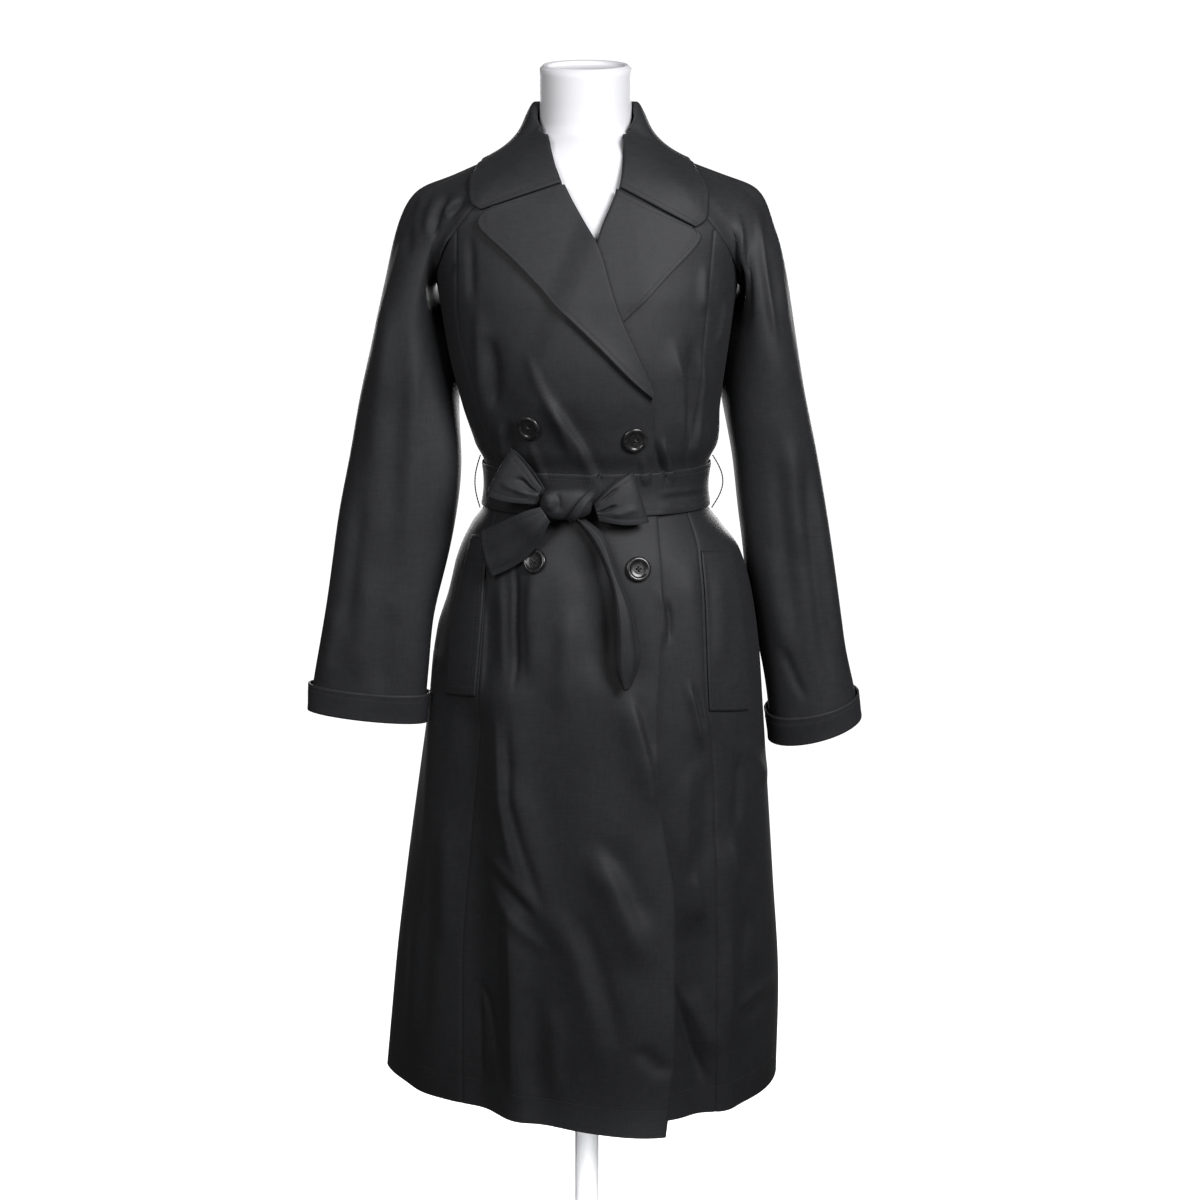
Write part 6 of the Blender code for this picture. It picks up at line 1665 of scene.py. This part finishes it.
def make_bow(word, ends, creases):
    """One loop of the bow: a band that runs out, turns back and returns behind itself."""
    root, tip = np.array(ends["root"]), np.array(ends["tip"])
    length = np.linalg.norm(tip - root)
    along = (tip - root) / length
    out = np.array((0.0, -1.0, 0.0))
    out = unit(out - along * np.dot(out, along))
    across = np.cross(along, out)
    profile = np.array(BOW_PROFILE)
    longest = profile[:, 0].max()
    knots = run_lengths(profile[:, :2])
    rows = spline(knots, finer(knots, BOW_PARTS)) @ profile
    s = np.array(BOW_SHARES)[None, :]
    distance, depth, half_width = (rows[:, k:k + 1] for k in range(3))
    near = 1 - distance / longest
    gather = BOW_GATHER * np.cos(2 * math.pi * s + BOW_GATHER_SHIFT) * near ** BOW_GATHER_FADE
    crown = BOW_CROWN * (1 - s * s)
    sign = np.clip(depth / BOW_TURN_DEPTH, -1.0, 1.0)
    edge = (1 - np.abs(s)) * half_width
    dip = stitch_dip(edge - EDGE_STITCH) * (near < BOW_STITCH_END)
    lift = crease_height(creases, *np.broadcast_arrays(distance / longest, s))
    height = depth + sign * (crown + gather + lift * (depth > 0) + dip)
    grid = (root + along * (distance * length / longest)[..., None]
            + across * (s * half_width)[..., None] + out * height[..., None])
    grid = settle(grid, "belt_bow_" + word)
    normals = facing(grid_normals(grid), (8, 20), out)
    cloth_piece("belt_bow_" + word, grid, grid - normals * STRIP_WALL)
    return grid


def make_tail(word, table):
    """One hanging end of the belt, softly arched across its width."""
    table = np.array(table)
    knots = run_lengths(table[:, 1])
    fine = np.einsum("fr,rkx->fkx", spline(knots, finer(knots, TAIL_PARTS)), table)
    edge_a, ridge, edge_b = (fine[:, k:k + 1] for k in range(3))
    u = np.array(TAIL_SHARES)[None, :, None]
    arch = (ridge - 0.5 * (edge_a + edge_b)) * TAIL_ARCH * np.sin(math.pi * u)
    grid = edge_a * (1 - u) + edge_b * u + arch
    grid = grid + np.array((0.0, -TAIL_SWELL, 0.0)) * np.sin(2 * math.pi * u) ** 2
    grid = settle(grid, "belt_tail_" + word)
    normals = facing(grid_normals(grid), (16, 20), (0, -1, 0))
    first, last = along_rows(grid)
    dip = stitch_dip(np.minimum(np.minimum(first, last), to_last_row(grid)) - EDGE_STITCH)
    cloth_piece("belt_tail_" + word, grid + normals * dip[..., None], grid - normals * STRIP_WALL,
                cut=grid)
    return grid


def tube(points, radius, sides):
    """Rings of points round a line."""
    along = unit(np.gradient(points, axis=0))
    guide = np.array((0.0, 1.0, 0.0)) if abs(along[:, 1]).max() < 0.9 else np.array((1.0, 0.0, 0.0))
    a = unit(np.cross(along, guide))
    b = np.cross(along, a)
    turn_at = round_angles(sides)[None, :, None]
    return points[:, None] + radius * (a[:, None] * np.cos(turn_at) + b[:, None] * np.sin(turn_at))


def make_thread_loop(word, side, bulge):
    """A thread carrier: a crocheted arc from above the belt to below it at the side seam."""
    top, low = (coat(side * math.pi / 2, z, False, REST_GAP + THREAD_RADIUS)
                for z in (BELT_TOP_Z + THREAD_REACH, BELT_BOTTOM_Z - THREAD_REACH))
    t = np.linspace(0, 1, THREAD_ROWS)[:, None]
    line = top * (1 - t) + low * t + np.array((side * bulge, 0.0, 0.0)) * np.sin(math.pi * t)
    beat = 1 + THREAD_BEAT * np.cos(2 * math.pi * THREAD_BEATS * t)
    plain = tube(line, THREAD_RADIUS * THREAD_CORE_SHARE, THREAD_SIDES)
    rings = line[:, None] + (plain - line[:, None]) * beat[:, None]
    piece = ring_mesh("coat_thread_loop_" + word, settle(rings, "thread_loop_" + word), THREAD)
    ride(piece, "coat_cloth", "thread_loop_" + word)


# ---------------------------------------------------------------- buttons
def make_button(name, place):
    """A round four-hole button with a raised rim, sewn on with two pairs of threads."""
    angles = round_angles(TURNED_SIDES)
    rings = []
    for radius, height in BUTTON_PROFILE:
        x, y = radius * np.cos(angles), radius * np.sin(angles)
        z = np.full(len(angles), height)
        if radius < BUTTON_EYE_RADIUS and height > BUTTON_THICKNESS / 2:
            for hole_x, hole_y in BUTTON_HOLES:
                away = np.hypot(x - hole_x, y - hole_y)
                z -= BUTTON_HOLE_DEPTH * ease((BUTTON_HOLE_RADIUS - away) / BUTTON_HOLE_EASE)
        rings.append(np.stack((x, y, z), axis=1))
    x, z = place
    normal = Vector(coat_normal(float(angle_at(x, z)), z, True))
    low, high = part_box(name)
    centre = 0.5 * (np.array(low) + np.array(high)) - np.array(normal) * BUTTON_THICKNESS / 2
    roll = math.radians(BUTTON_TURNS[name.split("_")[-1]])
    twist = normal.to_track_quat("Z", "Y").to_matrix() @ Matrix.Rotation(roll, 3, "Z")
    twist = np.array(twist).T
    piece = ring_mesh("coat_" + name, np.array(rings) @ twist + centre, HORN)
    ride(piece, "buttons", name)
    u = np.linspace(0, 1, STRAND_ROWS)[:, None]
    count = 0
    for a, b in ((0, 2), (1, 3)):
        start, end = np.array(BUTTON_HOLES[a]), np.array(BUTTON_HOLES[b])
        across = unit(np.array((start[1] - end[1], end[0] - start[0])))
        up = BUTTON_THREAD_Z + BUTTON_THREAD_RISE * np.sin(math.pi * u) ** 0.5 + a * THREAD_OVER
        for shift in (-THREAD_APART, THREAD_APART):
            flat = start * (1 - u) + end * u + across * shift
            strand = np.concatenate((flat, up), axis=1) @ twist + centre
            sides = tube(strand, STRAND_RADIUS, STRAND_SIDES)
            piece = ring_mesh(f"{name}_thread_{count}", sides, THREAD)
            ride(piece, "coat_cloth")
            count += 1


# ---------------------------------------------------------------- dress form and stand
def make_form():
    """The limbless form inside the coat, with its neck."""
    angles = round_angles(FORM_FINE)
    rings = []
    for z in finer(FORM_HEIGHTS, FORM_PARTS):
        inset = WALL + curve(FORM_CLEARANCE, z)
        inward = -surface_normal(plain_point, angles, z, FORM_NORMAL_STEP, z - NORMAL_STEP_Z,
                                 z + NORMAL_STEP_Z)
        if z < FORM_SLOPE_START_Z:
            inward[:, 2] = 0.0
        ring = plain_point(angles, z) + inward * inset
        slope = ease((np.abs(ring[:, 0]) - FORM_SLOPE_START_X) / FORM_SLOPE_LENGTH)
        ring[:, 2] -= FORM_SHOULDER_DROP * slope * ease((z - FORM_SLOPE_START_Z) / FORM_SLOPE_EASE)
        rings.append(ring)
    neck = np.array(FORM_NECK)
    knots = run_lengths(neck)
    for at in finer(knots, FORM_PARTS):
        z, radius = np.interp(at, knots, neck[:, 0]), np.interp(at, knots, neck[:, 1])
        lean = FORM_NECK_TILT * ease((z - FORM_TILT_START_Z) / FORM_TILT_EASE)
        y = -radius * np.cos(angles)
        rings.append(np.stack((radius * np.sin(angles), y, z + lean * y), axis=1))
    rings = np.array(rings)
    rings[..., 2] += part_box("form_body")[1][2] - rings[..., 2].max()
    ride(ring_mesh("form_body_fine", rings, FOAM), "form", "form_body")


def turned(name, profile, node, sides=TURNED_SIDES):
    """A solid of the stand, turned round the vertical from (radius, height) pairs, bottom to top."""
    angles = round_angles(sides)
    rings = [np.stack((r * np.cos(angles), r * np.sin(angles), np.full(sides, h)), axis=1)
             for r, h in profile]
    ride(ring_mesh(name, rings, PAINT), "stand", node)


def make_stand():
    """The pole under the form and its round base."""
    r, t = BASE_RADIUS, BASE_THICKNESS
    low_round, top_round = BASE_ROUNDINGS
    profile = [(BASE_MIDDLE_RADIUS, 0.0), (r - low_round, 0.0)]
    profile += [(r - low_round + low_round * math.sin(a), low_round - low_round * math.cos(a))
                for a in np.linspace(0.2, math.pi / 2, 6)]
    profile += [(r - top_round + top_round * math.cos(a), t - top_round + top_round * math.sin(a))
                for a in np.linspace(0.0, math.pi / 2, 8)]
    profile += [(BASE_INNER_RADIUS, t), (BASE_MIDDLE_RADIUS, t)]
    turned("stand_base", profile, "form_base")
    low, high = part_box("form_pole")[0][2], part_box("form_pole")[1][2]
    between_ends = np.linspace(low + POLE_START_STEP, high - POLE_END_STEP, POLE_ROWS)
    profile = [(POLE_RADIUS * POLE_END_SHARE, low)]
    profile += [(POLE_RADIUS, z) for z in (low, low + POLE_END_STEP, *between_ends, high)]
    profile += [(POLE_RADIUS * POLE_END_SHARE, high)]
    turned("stand_pole", profile, "form_pole", POLE_SIDES)


# ---------------------------------------------------------------- stitching
def inset_line(grid, side, distance):
    """Points and normals along a grid's edge, a distance inside it."""
    if side in ("top", "bottom"):
        grid = grid.transpose(1, 0, 2)
    if side in ("last", "top"):
        grid = grid[:, ::-1]
    line, out = [], []
    for row, away, normal in zip(grid, along_rows(grid)[0], grid_normals(grid)):
        if away[-1] > distance:
            line.append([np.interp(distance, away, row[:, k]) for k in range(3)])
            out.append([np.interp(distance, away, normal[:, k]) for k in range(3)])
    return np.array(line), np.array(out)


def outward_of(line, normals):
    """Normals of a stitch line, turned to face away from the body's or the sleeve's middle."""
    low = line[:, 2] < SHOULDER_Z
    side = np.where(np.abs(line[:, 0]) > SLEEVE_START_X, np.sign(line[:, 0]) * SLEEVE_MIDDLE_X, 0.0)
    middle = np.stack((np.where(low, side, 0.0), np.zeros(len(line)),
                       np.where(low, line[:, 2], SHOULDER_Z)), axis=1)
    return -normals if np.sum((line - middle) * normals) < 0 else normals


def stitches(lines):
    """Points and faces of short bars of thread laid end to end along lines."""
    points, faces = [], []
    for line, normal in lines:
        if len(line) < 3:
            continue
        place = run_lengths(line)
        for k in range(int(place[-1] / STITCH_PITCH)):
            first, last = k * STITCH_PITCH + STITCH_GAP, (k + 1) * STITCH_PITCH - STITCH_GAP
            at = np.array((first, 0.5 * (first + last), last))
            p = np.stack([np.interp(at, place, line[:, j]) for j in range(3)], axis=1)
            n = unit(np.stack([np.interp(at, place, normal[:, j]) for j in range(3)], axis=1))
            across = np.cross(n, unit(p[2] - p[0]))
            start = len(points)
            for q, m, a in zip(p + n * np.array(STITCH_LIFTS)[:, None], n, across):
                points += [q + a * STITCH_HALF, q + m * STITCH_HALF, q - a * STITCH_HALF,
                           q - m * STITCH_HALF]
            for r in range(2):
                for j in range(4):
                    a, b = start + r * 4 + j, start + r * 4 + (j + 1) % 4
                    faces.append((a, b, b + 4, a + 4))
            faces += [(start + 3, start + 2, start + 1, start),
                      (start + 8, start + 9, start + 10, start + 11)]
    return points, faces


# ---------------------------------------------------------------- materials
class Surface:
    """A new node material, with short ways to add nodes to it."""

    def __init__(self, name):
        self.made = bpy.data.materials.new(name)
        self.made.use_nodes = True
        self.tree = self.made.node_tree
        self.shader = self.tree.nodes["Principled BSDF"]
        self.place = self.tree.nodes.new("ShaderNodeTexCoord").outputs["Object"]

    def add(self, kind, *links, **values):
        """A node of a kind, its inputs linked in order and its named inputs or settings set."""
        node = self.tree.nodes.new(kind)
        for name, value in values.items():
            if name in node.inputs:
                node.inputs[name].default_value = value
            else:
                setattr(node, name, value)
        for name, source in links:
            self.tree.links.new(source, node.inputs[name])
        return node

    def noise(self, stretch=None, **values):
        """Noise over the object, its grain longer where the stretch is below 1."""
        place = self.place
        if stretch:
            mapping = self.add("ShaderNodeMapping", ("Vector", place), Scale=stretch)
            place = mapping.outputs["Vector"]
        return self.add("ShaderNodeTexNoise", ("Vector", place), **values).outputs["Fac"]

    def spread(self, value, low, high, start=0.0, end=1.0):
        """A value brought from the range start to end into the range low to high."""
        node = self.add("ShaderNodeMapRange", ("Value", value))
        for name, limit in (("From Min", start), ("From Max", end), ("To Min", low), ("To Max", high)):
            node.inputs[name].default_value = limit
        return node.outputs["Result"]

    def total(self, first, second):
        """The sum of two values."""
        return self.add("ShaderNodeMath", (0, first), (1, second), operation="ADD").outputs["Value"]

    def colours(self, value, dark, light, start=0.0, end=1.0):
        """Colours from dark to light as a value goes from start to end."""
        node = self.add("ShaderNodeValToRGB", ("Fac", value))
        for stop, position, colour in zip(node.color_ramp.elements, (start, end), (dark, light)):
            stop.position = position
            stop.color = (*colour, 1.0)
        return node.outputs["Color"]

    def bump(self, height, strength, depth, *links):
        """Normals that follow a height."""
        node = self.add("ShaderNodeBump", ("Height", height), *links, Strength=strength, Distance=depth)
        return node.outputs["Normal"]

    def finish(self, **inputs):
        """Sets or links the shader's inputs, their names written with _ for a space."""
        for name, value in inputs.items():
            socket = self.shader.inputs[name.replace("_", " ")]
            if isinstance(value, bpy.types.NodeSocket):
                self.tree.links.new(value, socket)
            else:
                socket.default_value = value
        return self.made


def cloth_material(name, dark, light, roughness):
    """Black satin-faced twill: fine slanted ribs, yarns both ways and a soft cloudy sheen."""
    surface = Surface(name)
    slanted = surface.add("ShaderNodeMapping", ("Vector", surface.place),
                          Rotation=(0.0, RIB_SLANT, 0.0)).outputs["Vector"]
    ribs = surface.add("ShaderNodeTexWave", ("Vector", slanted), Scale=RIB_SCALE, Distortion=1.2,
                       Detail=2.0, wave_type="BANDS", bands_direction="X").outputs["Fac"]
    clouds = surface.noise(Scale=7.0, Detail=4.0, Roughness=0.55)
    slub = surface.noise(Scale=900.0, Detail=2.0)
    yarns = surface.noise((1.0, 1.0, 0.16), Scale=420.0, Detail=3.0, Roughness=0.6)
    wefts = surface.noise((0.2, 0.2, 1.0), Scale=360.0, Detail=3.0, Roughness=0.6)
    drape = surface.noise((1.0, 1.0, 0.35), Scale=26.0, Detail=2.5, Roughness=0.45)
    woven = surface.total(yarns, wefts)
    tinted = surface.add("ShaderNodeVectorMath", (0, surface.colours(clouds, dark, light, 0.30, 0.72)),
                         ("Scale", surface.spread(woven, 0.79, 1.21, 0.7, 1.3)), operation="SCALE")
    weave = surface.total(surface.total(ribs, slub), woven)
    soft = surface.bump(drape, 0.35, 0.0035)
    return surface.finish(
        Base_Color=tinted.outputs["Vector"],
        Roughness=surface.spread(clouds, roughness - 0.05, roughness + 0.05),
        Normal=surface.bump(weave, 0.22, 0.00012, ("Normal", soft)),
        Sheen_Weight=0.02, Sheen_Roughness=0.40, Specular_IOR_Level=0.36)


def horn_material(name):
    """Glossy black button with faint grey horn streaks."""
    surface = Surface(name)
    streaks = surface.noise(Scale=160.0, Detail=5.0, Distortion=1.5)
    return surface.finish(
        Base_Color=surface.colours(streaks, (0.008, 0.008, 0.009), (0.030, 0.030, 0.030), 0.45, 0.80),
        Roughness=surface.spread(streaks, 0.22, 0.34),
        Coat_Weight=0.25, Coat_Roughness=0.10, Specular_IOR_Level=0.4)


def plain_material(name, dark, light, roughness, grain, depth, **more):
    """A painted or moulded surface with a fine grain."""
    surface = Surface(name)
    fine = surface.noise(Scale=grain, Detail=3.0)
    return surface.finish(
        Base_Color=surface.colours(surface.noise(Scale=5.0, Detail=3.0), dark, light),
        Roughness=surface.spread(fine, roughness - 0.05, roughness + 0.06),
        Normal=surface.bump(fine, 0.25, depth), **more)


# ---------------------------------------------------------------- camera, floor and light
def make_studio():
    """The camera, a pale floor that curves up all round, and soft lights."""
    scene = bpy.context.scene
    camera = bpy.data.cameras.new("camera")
    camera.lens = CAMERA_LENS
    camera.sensor_width = CAMERA_SENSOR
    camera.clip_end = 60.0
    holder = bpy.data.objects.new("camera", camera)
    holder.location = CAMERA_PLACE
    holder.rotation_euler = (math.radians(CAMERA_TILT), 0.0, 0.0)
    scene.collection.objects.link(holder)
    scene.camera = holder
    scene.view_settings.view_transform = "Standard"

    profile = [(radius, 0.0) for radius in FLOOR_RINGS]
    profile += [(FLOOR_RADIUS + FLOOR_CURVE * math.sin(a), FLOOR_CURVE * (1 - math.cos(a)))
                for a in np.linspace(0.1, math.pi / 2, 16)]
    profile += [(FLOOR_RADIUS + FLOOR_CURVE, FLOOR_WALL_TOP_Z)]
    rings = np.array([[(r * math.cos(a), r * math.sin(a), z)
                       for a in np.linspace(0.0, 2 * math.pi, FLOOR_POINTS)]
                      for r, z in profile])
    floor = add_mesh("studio_floor", rings.reshape(-1, 3),
                     grid_quads(len(profile), FLOOR_POINTS).reshape(-1, 4).tolist(), FLOOR)
    # The floor is seen but neither lights nor shades the coat.
    floor.visible_shadow = False
    floor.visible_diffuse = False
    floor.visible_glossy = False
    FLOOR.cycles.emission_sampling = "NONE"

    world = bpy.data.worlds.new("studio")
    world.use_nodes = True
    world.node_tree.nodes["Background"].inputs["Color"].default_value = WHITE
    world.node_tree.nodes["Background"].inputs["Strength"].default_value = WORLD_STRENGTH
    scene.world = world
    for name, place, aim, size, power, spread in LIGHTS:
        lamp = bpy.data.lights.new(name, "AREA")
        lamp.shape = "DISK"
        lamp.size = size
        lamp.energy = power
        lamp.spread = math.radians(spread)
        made = bpy.data.objects.new(name, lamp)
        made.location = place
        direction = Vector(aim) - Vector(place)
        made.rotation_euler = direction.to_track_quat("-Z", "Y").to_euler()
        scene.collection.objects.link(made)


# ---------------------------------------------------------------- the whole coat
TWILL = cloth_material("fine_black_twill", (0.0118, 0.0122, 0.0138), (0.0190, 0.0195, 0.0218), 0.64)
THREAD = plain_material("fine_black_thread", (0.020, 0.020, 0.022), (0.034, 0.034, 0.036), 0.50,
                        2500.0, 0.0001)
HORN = horn_material("fine_black_horn")
FOAM = plain_material("fine_white_form", (0.66, 0.66, 0.69), (0.74, 0.74, 0.76), 0.55, 700.0, 0.0002)
PAINT = plain_material("fine_white_paint", (0.72, 0.72, 0.74), (0.80, 0.80, 0.82), 0.32, 300.0,
                       0.0001)
FLOOR = plain_material("fine_floor", (0.86, 0.86, 0.86), (0.90, 0.90, 0.90), 0.65, 40.0, 0.0003,
                       Emission_Color=WHITE, Emission_Strength=1.0)

make_studio()
panels = make_panels()
right_sleeve, right_cuff = make_sleeve("right", -1, RIGHT_SLEEVE)
left_sleeve, left_cuff = make_sleeve("left", 1, LEFT_SLEEVE)
covers = [(grid, False) for grid in panels.values()]
covers += [(right_sleeve[:, ::-1], True), (left_sleeve, True)]
lapels = [make_lapel("right", RIGHT_LAPEL, True), make_lapel("left", LEFT_LAPEL, False)]
collar = make_collar(covers)[STAND_FINE:]
welts = [make_welt("right", RIGHT_WELT), make_welt("left", LEFT_WELT)]
band = closed_up(make_belt_band())
make_knot()
make_wrap()
bows = [make_bow("right", RIGHT_BOW, RIGHT_BOW_CREASES), make_bow("left", LEFT_BOW, LEFT_BOW_CREASES)]
tails = [make_tail("right", RIGHT_TAIL), make_tail("left", LEFT_TAIL)]
make_thread_loop("right", -1, RIGHT_THREAD_BULGE)
make_thread_loop("left", 1, LEFT_THREAD_BULGE)
for button, place in BUTTON_PLACES.items():
    make_button(button, place)
make_form()
make_stand()

# Which edges of which grids are topstitched, and how far inside the edge.
sewn_edges = [([collar], ("top", "first", "last"), (EDGE_STITCH,)),
              ([lapel[:, LAPEL_ROLL_COLUMNS:] for lapel in lapels], ("last", "top"), (EDGE_STITCH,)),
              (welts, ("first",), (WELT_SEAM_STITCH,)),
              (welts, ("top", "bottom"), WELT_END_STITCHES),
              ([closed_up(right_cuff), closed_up(left_cuff)], ("bottom",), (CUFF_STITCH,)),
              ([band], ("top", "bottom"), (EDGE_STITCH,)),
              (tails, ("first", "last", "top"), (EDGE_STITCH,)),
              (bows, ("first", "last"), (EDGE_STITCH,)),
              (panels.values(), ("bottom",), (HEM_FOLD,))]
lines = [inset_line(grid, side, distance) for grids, sides, distances in sewn_edges
         for grid in grids for side in sides for distance in distances]
lines = [(line, outward_of(line, normal)) for line, normal in lines if len(line)]
ride(add_mesh("coat_topstitching", *stitches(lines), THREAD), "coat_cloth")
